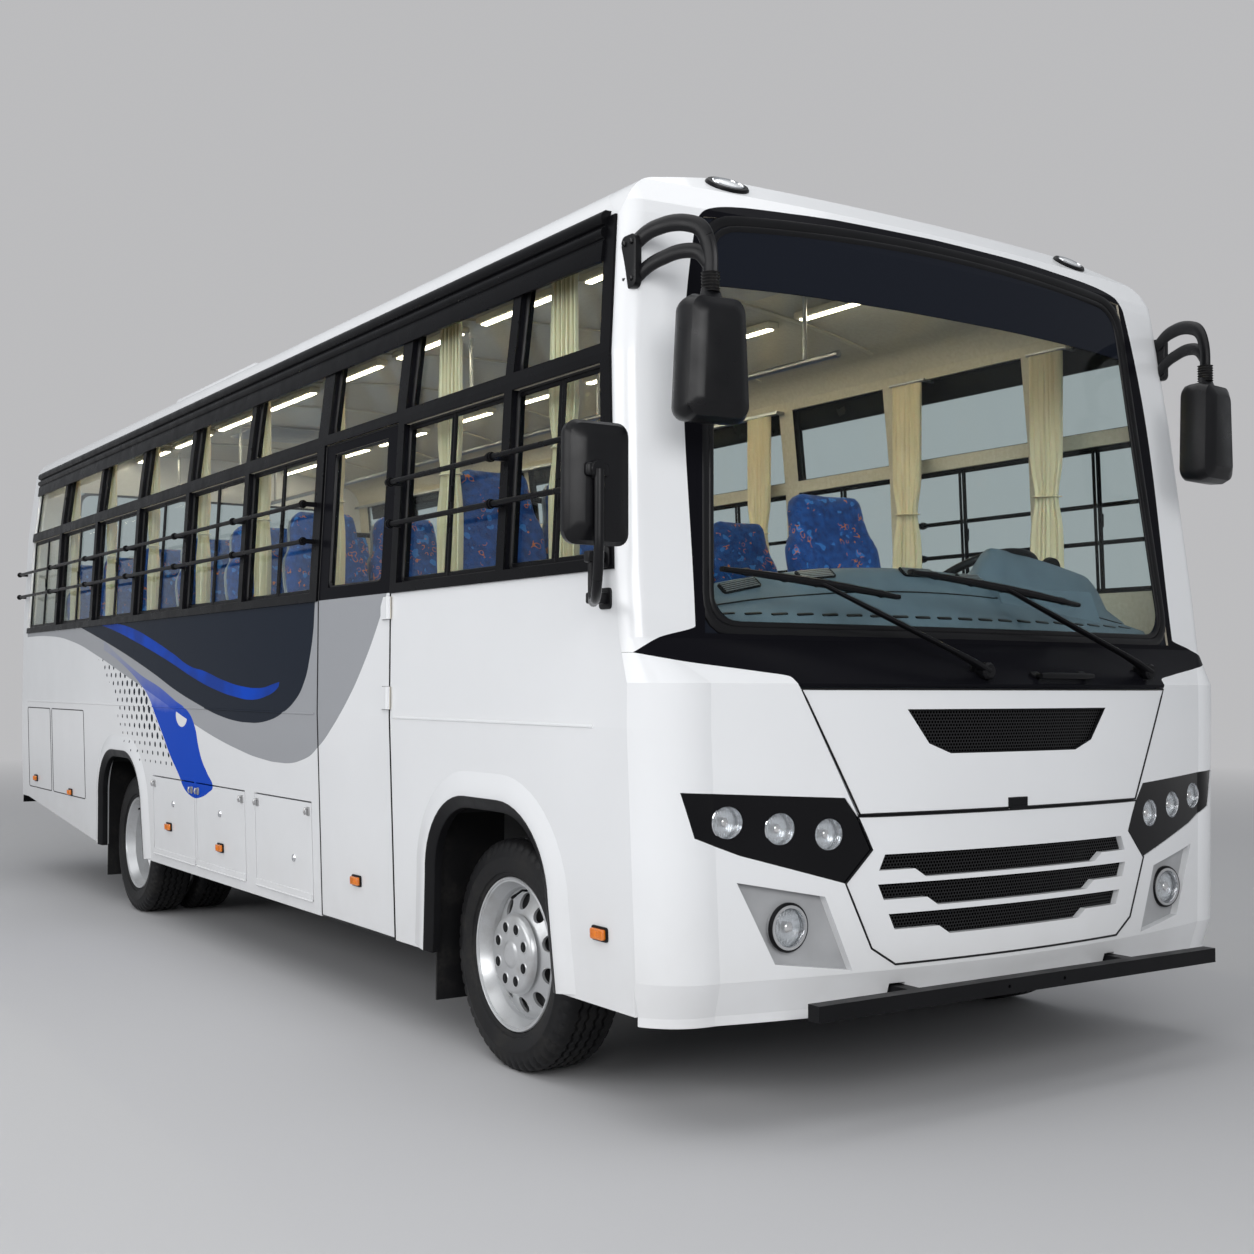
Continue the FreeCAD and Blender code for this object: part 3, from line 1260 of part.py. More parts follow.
def make_chassis():
    """Ladder frame with cross bearers that carry floor, trays and axles; engine and tank."""
    pieces = []
    ends = (at(ZERO - s.rail_front), at(s.rail_back))
    low, high, thin = s.rail_low_z, s.rail_high_z, s.rail_web
    for side in (-1, 1):
        out, back = side * s.rail_half, side * (s.rail_half - s.rail_flange)
        web = side * (s.rail_half - s.rail_web)
        profile = [(out, low), (out, high), (back, high), (back, high - thin), (web, high - thin),
                   (web, low + thin), (back, low + thin), (back, low)]
        pieces.append(prism("rail_%d" % side, "XZ", profile, ends))
    under = s.floor_z - s.floor_thick - s.fit_gap
    for number, station in enumerate(BEARERS):
        y = (at(station), at(station) + s.bearer)
        pieces.append(inner_slab("bearer_%d" % number, y, (high + s.fit_gap, under)))
    crosses = [(station, high - thin - s.fit_gap) for station in CROSS]
    crosses += [(ZERO - s.engine_cross_front, s.engine_low_z - s.fit_gap),
                (s.engine_cross_back, s.engine_low_z - s.fit_gap)]
    web_in = s.rail_half - s.rail_web - s.fit_gap
    for number, (station, top) in enumerate(crosses):
        pieces.append(box("cross_%d" % number, (-web_in, web_in),
                          (at(station), at(station) + s.bearer),
                          (low + thin + s.fit_gap, top)))
    node("chassis_frame", bundle("chassis_set", *pieces))
    block = box("engine_block", (-s.engine_half, s.engine_half),
                (at(ZERO - s.engine_front), at(s.engine_back)), (s.engine_low_z, s.engine_high_z))
    gearbox = box("gearbox", (-s.gearbox_half, s.gearbox_half),
                  (at(s.engine_back), at(s.gearbox_back)), (s.gearbox_low_z, s.gearbox_high_z))
    node("engine", fuse("engine_whole", block, gearbox))
    start = at(s.gearbox_back) + s.fit_gap
    end = rear_axle - s.diff_radius - s.fit_gap
    node("propeller_shaft", rod("shaft_rod", (ZERO, start, s.tyre_radius), "Y",
                                s.shaft_radius, end - start))
    node("fuel_tank", box("tank_block", (s.rail_half + s.fit_gap, s.rail_half + s.tank_wide),
                          (at(s.tank_front), at(s.tank_back)),
                          (s.tank_low_z, high)))


FRONT_BEARER = s.arch_half + s.panel_gap
REAR_BEARER = s.wheelbase + s.arch_half
BEARERS = [ZERO - s.floor_front, FRONT_BEARER, s.door_back + s.bearer, s.bay_second,
           s.bay_third_end - s.bearer, REAR_BEARER, REAR_BEARER + s.arch_half + s.bearer,
           s.rail_back - s.bearer]
CROSS = [s.middle_cross, s.door_back, s.bay_third, REAR_BEARER]


def wheel_station(side):
    """Distance from the middle of the coach to the middle plane of the outer tyre."""
    return side * (half - s.tyre_face_inset - s.tyre_width / 2)


def tyre(name, axle, centre):
    """One tyre as a turned ring about the axle line."""
    body = doc.addObject("PartDesign::Body", name + "_body")
    sketch = body.newObject("Sketcher::SketchObject", name + "_section")
    for feature in body.Origin.OriginFeatures:
        if feature.Role == "XY_Plane":
            sketch.AttachmentSupport = [(feature, "")]
            sketch.MapMode = "FlatFace"
    wide = s.tyre_width / 2
    tread = wide * s.tread_share
    inner = s.rim_radius + s.fit_gap
    bead = wide * s.bead_share
    draw_outline(sketch, [
        (-bead, inner), (bead, inner), (wide, (inner + s.tyre_radius) / 2, s.shoulder_round),
        (tread, s.tyre_radius), (-tread, s.tyre_radius, s.shoulder_round),
        (-wide, (inner + s.tyre_radius) / 2)])
    turn = body.newObject("PartDesign::Revolution", name + "_turn")
    turn.Profile = sketch
    turn.ReferenceAxis = (sketch, ["H_Axis"])
    turn.Angle = 360
    body.Tip = turn
    place(body, centre, axle, s.tyre_radius)
    return body


def rim(name, axle, middle, side, face, hub_end):
    """A steel wheel: rim with its well, dished disc and hub, turned about the axle line."""
    body = doc.addObject("PartDesign::Body", name + "_body")
    planes = {}
    for feature in body.Origin.OriginFeatures:
        planes[feature.Role] = feature
    sketch = body.newObject("Sketcher::SketchObject", name + "_section")
    sketch.AttachmentSupport = [(planes["XY_Plane"], "")]
    sketch.MapMode = "FlatFace"
    wide = s.rim_width / 2
    thin, edge, well = s.rim_sheet, s.rim_radius, s.rim_well
    floor_low, root = edge - thin * 3, s.disc_root
    points = [
        (-wide, edge), (thin - wide, edge), (-well, edge - thin * 2), (well, edge - thin * 2),
        (wide - thin, edge), (wide, edge), (wide, edge - thin), (well, floor_low),
        (thin - root, floor_low), (thin - face, s.hub_radius), (hub_end, s.hub_radius),
        (hub_end, s.stub_radius), (-face, s.stub_radius), (-face, s.hub_radius),
        (-root, floor_low), (-well, floor_low), (-wide, edge - thin)]
    draw_outline(sketch, points)
    turn = body.newObject("PartDesign::Revolution", name + "_turn")
    turn.Profile = sketch
    turn.ReferenceAxis = (sketch, ["H_Axis"])
    turn.Angle = 360
    body.Tip = turn
    hole = body.newObject("Sketcher::SketchObject", name + "_hole")
    hole.AttachmentSupport = [(planes["YZ_Plane"], "")]
    hole.MapMode = "FlatFace"
    ring, radius = s.hand_hole_ring, s.hand_hole_radius
    centre = FreeCAD.Vector(0, ring.value, 0)
    hole.addGeometry(Part.Circle(centre, FreeCAD.Vector(0, 0, 1), radius.value), False)
    hole.addConstraint(Sketcher.Constraint("PointOnObject", 0, 3, -2))
    for number, kind, ends, size in ((1, "DistanceY", (0, 3), ring), (2, "Radius", (0,), radius)):
        hole.addConstraint(Sketcher.Constraint(kind, *ends, size.value))
        hole.setExpression("Constraints[%d]" % number, size.text)
    pocket = body.newObject("PartDesign::Pocket", name + "_pocket")
    pocket.Profile = hole
    pocket.Midplane = True
    bind(pocket, "Length", s.rim_width * 2)
    pattern = body.newObject("PartDesign::PolarPattern", name + "_holes")
    pattern.Originals = [pocket]
    pattern.Axis = (sketch, ["H_Axis"])
    pattern.Angle = 360
    pattern.Occurrences = int(s.hand_holes.value)
    body.Tip = pattern
    turned = FreeCAD.Rotation(FreeCAD.Vector(0, 0, 1), 0 if side > 0 else 180)
    place(body, middle, axle, s.tyre_radius, turned)
    return body


def make_wheels():
    """Front wheels on their knuckles, twin wheels at the rear."""
    for side, tag in ((-1, "right"), (1, "left")):
        outer = wheel_station(side)
        inner = outer - side * s.twin_pitch
        node("front_tyre_" + tag, tyre("front_tyre_" + tag, front_axle, outer))
        node("front_wheel_" + tag, rim("front_wheel_" + tag, front_axle, outer, -side,
                                       s.front_disc, s.front_hub))
        tyres = [tyre("rear_tyre_out_" + tag, rear_axle, outer),
                 tyre("rear_tyre_in_" + tag, rear_axle, inner)]
        node("rear_tyres_" + tag, bundle("rear_tyres_set_" + tag, *tyres))
        between = s.twin_pitch / 2
        rims = [rim("rear_rim_out_" + tag, rear_axle, outer, side, between, -s.rear_nose),
                rim("rear_rim_in_" + tag, rear_axle, inner, -side, between, s.rear_hub)]
        node("rear_wheels_" + tag, fuse("rear_rims_set_" + tag, *rims))


def make_axles():
    """Front beam with knuckles, rear axle, and their leaf springs."""
    half_beam = s.beam / 2
    beam_y = (front_axle - half_beam, front_axle + half_beam)
    beam_z = (s.tyre_radius - half_beam, s.tyre_radius + half_beam)
    fork_low, fork_high = beam_z[0] - s.knuckle_gap - s.fork, beam_z[1] + s.knuckle_gap + s.fork
    pin_x = wheel_station(1) - s.kingpin_inset
    pieces = [box("front_beam", (-pin_x, pin_x), beam_y, beam_z)]
    for side in (-1, 1):
        pieces.append(rod("beam_end_%d" % side, (side * pin_x, front_axle, beam_z[0]), "Z",
                          half_beam, s.beam))
        pieces.append(rod("kingpin_%d" % side, (side * pin_x, front_axle, fork_low), "Z",
                          s.kingpin_radius - s.fit_gap, fork_high - fork_low))
    pieces += axle_springs("front", front_axle, beam_z[1])
    node("front_axle", fuse("front_axle_whole", *pieces))
    for side, tag in ((-1, "right"), (1, "left")):
        pin_at = side * pin_x
        web_in = pin_at + side * (s.fork_reach + s.panel_gap)
        web_out = web_in + side * s.fork
        arms = ordered(pin_at - side * s.fork_reach, web_out)
        low_arm = box("fork_low_" + tag, arms, beam_y, (fork_low, beam_z[0] - s.knuckle_gap))
        high_arm = box("fork_high_" + tag, arms, beam_y, (beam_z[1] + s.knuckle_gap, fork_high))
        web = box("fork_web_" + tag, ordered(web_in, web_out), beam_y, (fork_low, fork_high))
        reach = ordered(web_in, wheel_station(side) + side * s.front_disc)
        stub = rod("stub_" + tag, (reach[0], front_axle, s.tyre_radius), "X",
                   s.stub_radius - s.fit_gap, reach[1] - reach[0])
        whole = fuse("knuckle_whole_" + tag, low_arm, high_arm, web, stub)
        bore = rod("kingpin_bore_" + tag, (pin_at, front_axle, fork_low - s.overrun), "Z",
                   s.kingpin_radius, fork_high - fork_low + s.overrun * 2)
        node("knuckle_" + tag, cut("knuckle_cut_" + tag, whole, bore))
    end = wheel_station(1) - s.twin_pitch / 2 + s.skin
    spindle = rod("rear_spindle", (-end, rear_axle, s.tyre_radius), "X",
                  s.stub_radius - s.fit_gap, end * 2)
    tube = rod("rear_tube", (-s.casing_half, rear_axle, s.tyre_radius), "X",
               s.casing_radius, s.casing_half * 2)
    ball = doc.addObject("Part::Sphere", "rear_diff")
    bind(ball, "Radius", s.diff_radius)
    place(ball, ZERO, rear_axle, s.tyre_radius, TURNS["X"])
    springs = axle_springs("rear", rear_axle, s.tyre_radius)
    node("rear_axle", fuse("rear_axle_whole", spindle, tube, ball, *springs))


def axle_springs(name, axle, seat_z):
    """Both leaf packs of an axle with the seats that hold them on it."""
    pieces = []
    for side in (-1, 1):
        middle = side * s.spring_half
        pieces.append(box("%s_seat_%d" % (name, side),
                          (middle - s.spring_wide / 2, middle + s.spring_wide / 2),
                          (axle - s.spring_wide, axle + s.spring_wide),
                          (seat_z, s.rail_low_z - s.spring_high)))
        pieces.append(leaf_pack("%s_leaf_%d" % (name, side), middle, axle))
    return pieces


def leaf_pack(name, middle, axle):
    """A pack of leaf springs with its two hangers under a frame rail."""
    seat, low = s.rail_low_z - s.fit_gap, s.rail_low_z - s.spring_high
    reach, deep, thick = s.spring_reach, s.rail_low_z - s.spring_leaf * 3, s.spring_leaf * 3
    profile = [
        (axle - reach, seat), (axle - reach, deep),
        (axle - reach / 2, low), (axle + reach / 2, low),
        (axle + reach, deep), (axle + reach, seat), (axle + reach - thick, seat),
        (axle + reach - thick, deep + s.spring_leaf),
        (axle + reach / 2, low + thick), (axle - reach / 2, low + thick),
        (axle - reach + thick, deep + s.spring_leaf), (axle - reach + thick, seat)]
    return prism(name, "YZ", profile, (middle - s.spring_wide / 2, middle + s.spring_wide / 2))


def frame_skin(name, side):
    """A thin skin just outside the wall over the whole window band."""
    outer = [(half, s.waist_z), (half_mid, s.mid_z), (half_cant, s.cant_z)]
    gap, proud = s.fit_gap, s.frame_proud
    points = [(side * (x + gap), z) for x, z in outer]
    points += [(side * (x + gap + proud), z) for x, z in reversed(outer)]
    return prism(name, "XZ", points, (front_axle - s.split_low, tail_line))


def guard_bars(side):
    """Two bars across the lower windows, with a stand-off at each pillar."""
    tag = "right" if side < 0 else "left"
    bar = s.rail_bar_radius
    reach = side * (half + s.rail_bar_out)
    tail_end = s.rear_windows_from + s.window_pitch * s.window_columns
    front_end = s.door_front - s.pillar
    nose_end = s.overrun - s.split_mid
    runs = [
        (nose_end, front_end, [nose_end + bar, s.front_pillar, front_end - bar]),
        (s.rear_windows_from, tail_end,
         [s.rear_windows_from + bar]
         + [s.rear_windows_from + s.window_pitch * number
            for number in range(1, int(s.window_columns.value))] + [tail_end - bar])]
    pieces = []
    for run, (low, high, posts) in enumerate(runs):
        for row, height in (("low", s.rail_bar_low_z), ("high", s.rail_bar_high_z)):
            name = "guard_%s_%s_%d" % (tag, row, run)
            pieces.append(rod(name, (reach, at(low), height), "Y", bar, high - low))
            lean = s.mid_inset * (height - bar - s.waist_z) / (s.mid_z - s.waist_z)
            foot = ordered(side * (half - lean + s.frame_proud + s.fit_gap * 2), reach)
            for number, station in enumerate(posts):
                pieces.append(box("%s_foot_%d" % (name, number), foot,
                                  (at(station) - bar, at(station) + bar),
                                  (height - bar, height + bar)))
    return pieces


def make_frames():
    """Window frames of both sides, and the guard bars bolted to them."""
    skins, bars = [], []
    for side, tag in ((-1, "right"), (1, "left")):
        holes = window_holes(side)
        if side < 0:
            holes.append(box("frame_door_hole", side_span(side),
                             (at(s.door_front), at(s.door_back)), (s.skirt_z, s.door_top_z)))
        skins.append(cut("frames_cut_" + tag, frame_skin("frame_skin_" + tag, side),
                         ahead_of_walls("frame_trim_" + tag), *holes))
        bars.append(fuse("guard_bars_" + tag, *guard_bars(side)))
    node("window_frames", bundle("frame_pair", *skins))
    node("guard_bars", bundle("guard_pair", *bars))


def ahead_of_walls(name):
    """What lies ahead of the joint between nose and side walls, as a cutting shape."""
    return prism(name, "YZ", [(ahead, s.nose_low_z)] + split_line(ZERO)
                 + [(ahead, s.crown_z + s.overrun)], across)


def bent_tube(name, points, radius, bend):
    """A round tube along straight runs joined by arcs."""
    middle = FreeCAD.Vector(middle_line.value, 0, 0)
    spots = []
    for point in points:
        spots.append(FreeCAD.Vector(*[as_size(entry).value for entry in point]).add(middle))
    edges = []
    start = spots[0]
    for before, corner, after in zip(spots, spots[1:], spots[2:]):
        into, out = corner.sub(before).normalize(), after.sub(corner).normalize()
        turn = into.getAngle(out)
        back = bend.value * math.tan(turn / 2)
        first, last = corner.sub(into * back), corner.add(out * back)
        inward = out.sub(into).normalize()
        top = corner.add(inward * (bend.value / math.cos(turn / 2) - bend.value))
        edges.append(Part.LineSegment(start, first).toShape())
        edges.append(Part.Arc(first, top, last).toShape())
        start = last
    edges.append(Part.LineSegment(start, spots[-1]).toShape())
    ring = Part.Wire(Part.makeCircle(radius.value, spots[0], spots[1].sub(spots[0])))
    item = doc.addObject("Part::Feature", name)
    item.Shape = Part.Wire(edges).makePipeShell([ring], True, False)
    return item


nose_room = nose_solid("nose_room", ZERO - s.fit_gap)


def rounded(across_low, across_high, low, high, radius):
    """A rectangle with round corners."""
    return [(across_low + radius, low), (across_high - radius, low, radius),
            (across_high, low + radius), (across_high, high - radius, radius),
            (across_high - radius, high), (across_low + radius, high, radius),
            (across_low, high - radius), (across_low, low + radius, radius)]


def housing(name, x, y, z, radius):
    """A mirror housing rounded as seen from ahead and from above."""
    seen = prism(name + "_face", "XZ", rounded(x[0], x[1], z[0], z[1], radius), y)
    plan = prism(name + "_plan", "XY", rounded(x[0], x[1], y[0], y[1], radius / 2), z)
    return common(name, seen, plan)


def make_mirrors():
    """Two mirrors on looped arms from the screen posts and a square mirror on the right."""
    loops = []
    y = front_axle - s.mirror_reach
    wide, deep = s.mirror_wide / 2, s.mirror_deep / 2
    for side, tag in ((-1, "right"), (1, "left")):
        x, root = side * s.mirror_x, side * s.arm_root_x
        root_y = front_axle - s.arm_root_reach
        shell = housing("mirror_shell_" + tag, (x - wide, x + wide), (y - deep, y + deep),
                        (s.mirror_low_z, s.mirror_high_z), s.mirror_round)
        upper = bent_tube("arm_upper_" + tag, [
            (root, root_y, s.arm_high_z), (x, y, s.arm_high_z),
            (x, y, s.mirror_high_z - s.overrun)], s.arm_radius, s.arm_bend)
        lower = bent_tube("arm_lower_" + tag, [
            (root, root_y, s.arm_low_z), (x, y, s.arm_low_z)], s.arm_low_radius, s.arm_bend)
        middle_z = (s.arm_high_z + s.arm_low_z) / 2
        foot = box("arm_foot_" + tag, ordered(root - side * s.overrun, root + side * s.arm_radius),
                   (root_y - s.arm_foot_long / 2, root_y + s.arm_foot_long / 2),
                   (middle_z - s.arm_foot_high / 2, middle_z + s.arm_foot_high / 2))
        loops.append(cut("mirror_cut_" + tag, fuse("mirror_loop_" + tag, shell, upper, lower, foot),
                         nose_room))
    x, y = -s.side_mirror_x, front_axle - s.side_mirror_reach
    wide, deep = s.side_mirror_wide / 2, s.side_mirror_deep / 2
    square = housing("square_mirror", (x - wide, x + wide), (y - deep, y + deep),
                     (s.side_mirror_low_z, s.side_mirror_high_z), s.side_mirror_round)
    middle_z = (s.side_mirror_low_z + s.side_mirror_high_z) / 2
    arm = bent_tube("square_arm", [
        (x, y + deep, middle_z), (x, y + deep, s.side_arm_low_z),
        (-(half - s.overrun), front_axle - s.arm_root_reach, s.side_arm_low_z)],
        s.arm_radius, s.overrun)
    loops.append(cut("square_cut", fuse("square_whole", square, arm), nose_room))
    node("mirrors", bundle("mirror_set", *loops))


def make_fittings():
    """Bumper bar, roof pod, marker lamps, mud flaps and wipers."""
    bar_y = (front_axle - s.bar_reach, front_axle - s.bar_reach + s.bar_side)
    bar_z = (s.bar_z - s.bar_side / 2, s.bar_z + s.bar_side / 2)
    bar = box("bar", (-s.bar_half, s.bar_half), bar_y, bar_z)
    pieces = [cut("bar_cut", bar, *plate_bolts("front", bar_y[0], bar_y[1], s.bar_z))]
    plate = (at(s.skin - s.rail_front), at(ZERO - s.floor_front))
    for side in (-1, 1):
        x = (side * bar_arm_x - s.bar_side / 2, side * bar_arm_x + s.bar_side / 2)
        pieces.append(box("bar_arm_%d" % side, x, (bar_y[0], plate[1]), bar_z))
        pieces.append(box("bar_plate_%d" % side, x, plate,
                          (bar_z[0], s.rail_high_z - s.rail_flange)))
    node("bumper_bar", fuse("bumper_bar_whole", *pieces))
    low, high = at(s.pod_front), at(s.pod_back)
    pod = prism("pod_profile", "YZ", [
        (low, s.edge_z), (low, s.crown_z), (low + s.pod_slope, s.pod_z),
        (high - s.pod_slope, s.pod_z), (high, s.crown_z), (high, s.edge_z)],
        (-s.pod_half, s.pod_half))
    under = envelope("pod_under", ZERO - s.fit_gap, (low - s.overrun, high + s.overrun))
    node("roof_pod", cut("pod_cut", pod, under))
    make_markers()
    flaps = []
    for number, station in enumerate((FRONT_BEARER, REAR_BEARER)):
        y = at(station) + s.bearer / 4
        for side in (-1, 1):
            middle = wheel_station(side)
            flaps.append(box("mud_flap_%d_%d" % (number, side),
                             (middle - s.mud_flap_wide / 2, middle + s.mud_flap_wide / 2),
                             (y, y + s.mud_flap_thick), (s.mud_flap_low_z, s.rail_high_z)))
    node("mud_flaps", bundle("mud_flap_set", *flaps))
    make_wipers()


def make_markers():
    """Amber lamps along the skirts and two lamps on the roof dome."""
    markers = []
    spots = [("nose", ZERO - s.marker_nose, s.marker_nose_z), ("rear", s.marker_rear, s.marker_rear_z),
             ("tail", s.marker_tail, s.marker_tail_z)]
    for tag, station, height in spots:
        for side in (-1, 1):
            skin = side_x(height + s.marker_high)
            markers.append(box("marker_%s_%d" % (tag, side),
                               ordered(side * (skin + s.fit_gap), side * (skin + s.marker_deep)),
                               (at(station), at(station) + s.marker_long),
                               (height, height + s.marker_high)))
    front = front_axle - s.roof_lamp_reach
    for side in (-1, 1):
        spot = (side * s.roof_lamp_x, front - s.roof_lamp_proud, s.roof_lamp_z)
        lamp = rod("roof_lamp_%d" % side, spot, "Y", s.roof_lamp_radius, s.roof_lamp_radius * 2)
        markers.append(cut("roof_lamp_cut_%d" % side, lamp, nose_room))
    node("marker_lamps", bundle("marker_set", *markers))


def screen_spot(x, height, out):
    """A point ahead of the windscreen or the panel below it, seen from the front."""
    levels = nose_levels()[4:9]
    for lower, upper in zip(levels, levels[1:]):
        if height.value <= upper[0].value:
            share = (height - lower[0]) / (upper[0] - lower[0])
            reach = lower[1] + (upper[1] - lower[1]) * share
            arc = lower[2] + (upper[2] - lower[2]) * share
            return (x, front_axle - reach + x * x / (2 * arc) - out, height)
    raise ValueError("height above the windscreen")


def make_wipers():
    """Two wipers: a spindle in the panel under the screen and a cranked arm with its blade."""
    wipers = []
    out = s.wiper_radius * 2
    for tag, pivot, tip in (("right", -s.wiper_right_x, s.wiper_tip_right),
                            ("left", s.wiper_left_x, s.wiper_tip_left)):
        base = screen_spot(pivot, s.wiper_z, out * 2)
        heel = screen_spot(pivot - s.wiper_heel, s.wiper_heel_z, out)
        end = screen_spot(pivot - tip, s.wiper_tip_z, out)
        spindle = rod("spindle_" + tag, (pivot, base[1] - s.wiper_radius, s.wiper_z), "Y",
                      out, s.overrun * 2)
        arm = bent_tube("wiper_arm_" + tag, [base, heel, end], s.wiper_radius, s.overrun)
        wipers.append(cut("wiper_cut_" + tag, fuse("wiper_" + tag, spindle, arm), nose_room))
    node("wipers", bundle("wiper_pair", *wipers))


def seat_shape(name, x, front):
    """A seat or seat pair: cushion and back in one plain closed solid."""
    low = s.floor_z + s.cushion_high - s.cushion_thick
    back = front + s.cushion_deep
    top = s.floor_z + s.back_high
    profile = [
        (front, low), (front, low + s.cushion_thick), (back, low + s.cushion_thick),
        (back + s.back_rake, top), (back + s.back_rake + s.back_thick, top),
        (back + s.back_thick, low)]
    return prism(name, "YZ", profile, x)


def seat_legs(name, x, front):
    """Floor legs and rail under a seat pair."""
    leg = s.seat_leg
    low, high = s.floor_z + s.fit_gap, s.floor_z + s.cushion_high - s.cushion_thick - s.fit_gap
    y = (front + leg, front + s.cushion_deep - leg)
    quarter = (x[1] - x[0]) / 4
    first = box(name + "_leg_one", (x[0] + quarter, x[0] + quarter + leg), y, (low, high))
    second = box(name + "_leg_two", (x[1] - quarter - leg, x[1] - quarter), y, (low, high))
    rail = box(name + "_rail", (x[0] + leg, x[1] - leg), y, (high - leg / 2, high))
    return fuse(name, first, second, rail)


def make_seats():
    """Rows of seat pairs on both sides of the aisle, and the driver's seat."""
    right = (-(s.aisle_half + s.seat_pair), -s.aisle_half)
    left = (s.aisle_half, s.aisle_half + s.seat_pair)
    places = []
    for row in range(int(s.seat_rows.value)):
        front = at(s.first_row + s.seat_pitch * row)
        places.append(("right_%d" % row, right, front))
        places.append(("left_%d" % row, left, front))
    places.append(("left_front", left, at(s.first_row - s.seat_pitch)))
    beside_hump = -(s.hump_half + s.overrun)
    seat_back = s.cushion_deep + s.back_rake + s.back_thick
    places.append(("right_front", (beside_hump - s.front_pair, beside_hump),
                   at(s.door_front - s.pillar - seat_back)))
    seats = [seat_shape("seat_" + tag, x, front) for tag, x, front in places]
    frames = [seat_legs("frame_" + tag, x, front) for tag, x, front in places]
    node("passenger_seats", bundle("seat_set", *seats))
    x = (s.driver_x - s.driver_wide / 2, s.driver_x + s.driver_wide / 2)
    front = at(ZERO - s.driver_front)
    node("driver_seat", seat_shape("driver_cushion", x, front))
    frames.append(box("driver_base", (x[0] + s.seat_leg, x[1] - s.seat_leg),
                      (front + s.seat_leg, front + s.cushion_deep - s.seat_leg),
                      (s.floor_z + s.fit_gap,
                       s.floor_z + s.cushion_high - s.cushion_thick - s.fit_gap)))
    node("seat_frames", bundle("frame_set", *frames))


def make_cab():
    """Dashboard with instrument cowl, and the steering wheel on its column."""
    across_dash = (-s.dash_half, s.dash_half)
    front, foot_y, back = at(ZERO - s.dash_front), at(ZERO - s.dash_foot), at(ZERO - s.dash_back)
    drop = s.overrun
    profile = prism("dash_profile", "YZ", [
        (front, s.dash_low_z), (front, s.screen_low_z - drop), (foot_y, s.dash_top_z),
        (back, s.dash_top_z - drop), (back, s.dash_low_z + drop), (foot_y, s.dash_low_z)],
        across_dash)
    foot = box("dash_foot_box", across_dash, (at(ZERO - s.floor_front), foot_y),
               (s.floor_z + s.fit_gap, s.dash_low_z + drop))
    cowl = prism("cowl_profile", "YZ", [
        (foot_y - drop * 3, s.dash_top_z - drop), (foot_y - drop, s.cowl_high_z),
        (back, s.cowl_high_z - drop), (back, s.dash_top_z - drop)],
        (s.driver_x - s.cowl_wide / 2, s.driver_x + s.cowl_wide / 2))
    flange = s.hump_half + s.hump_flange + s.fit_gap
    hump = box("dash_hump_hole", (-flange, flange), (at(ZERO - s.floor_front - drop), back),
               (s.floor_z - drop, s.dash_low_z))
    hump_top = box("dash_hump_top", (-(s.hump_half + s.fit_gap), s.hump_half + s.fit_gap),
                   (at(ZERO - s.floor_front - drop), back + drop), (s.floor_z, s.hump_z + s.fit_gap))
    room = nose_solid("dash_room", s.skin + s.fit_gap)
    body = common("dash_trim", fuse("dash_whole", profile, foot, cowl), room)
    node("dashboard", cut("dash_cut", body, hump, hump_top))
    make_steering_wheel(back)


def make_steering_wheel(dash_back):
    """Rim, spokes and column on one slanted line that ends at the dashboard."""
    tilt = s.wheel_tilt.value
    slant = FreeCAD.Rotation(FreeCAD.Vector(1, 0, 0), tilt - 90)
    centre_y = at(ZERO - s.wheel_reach)
    ring = doc.addObject("Part::Torus", "steering_ring")
    bind(ring, "Radius1", s.wheel_radius)
    bind(ring, "Radius2", s.wheel_rim)
    place(ring, s.driver_x, centre_y, s.wheel_z, slant)
    pieces = [ring]
    for number, turn in enumerate((0, 120, 240)):
        spin = FreeCAD.Rotation(FreeCAD.Vector(0, 0, 1), turn)
        upright = FreeCAD.Rotation(FreeCAD.Vector(1, 0, 0), 90)
        spoke = doc.addObject("Part::Cylinder", "spoke_%d" % number)
        bind(spoke, "Radius", s.spoke_radius)
        bind(spoke, "Height", s.wheel_radius)
        place(spoke, s.driver_x, centre_y, s.wheel_z, slant.multiply(spin).multiply(upright))
        pieces.append(spoke)
    run = Size("cos(%s)" % s.wheel_tilt.text, math.cos(math.radians(tilt)))
    rise = Size("sin(%s)" % s.wheel_tilt.text, math.sin(math.radians(tilt)))
    column = doc.addObject("Part::Cylinder", "column")
    bind(column, "Radius", s.column_radius)
    bind(column, "Height", s.column_reach + s.column_radius)
    place(column, s.driver_x, centre_y - s.column_reach * run, s.wheel_z - s.column_reach * rise,
          slant)
    pieces.append(column)
    dash = box("column_end", (s.driver_x - s.wheel_radius, s.driver_x + s.wheel_radius),
               (dash_back - s.column_reach, dash_back + s.fit_gap), (s.floor_z, s.cowl_high_z))
    node("steering_wheel", cut("steering_cut", fuse("steering_whole", *pieces), dash))


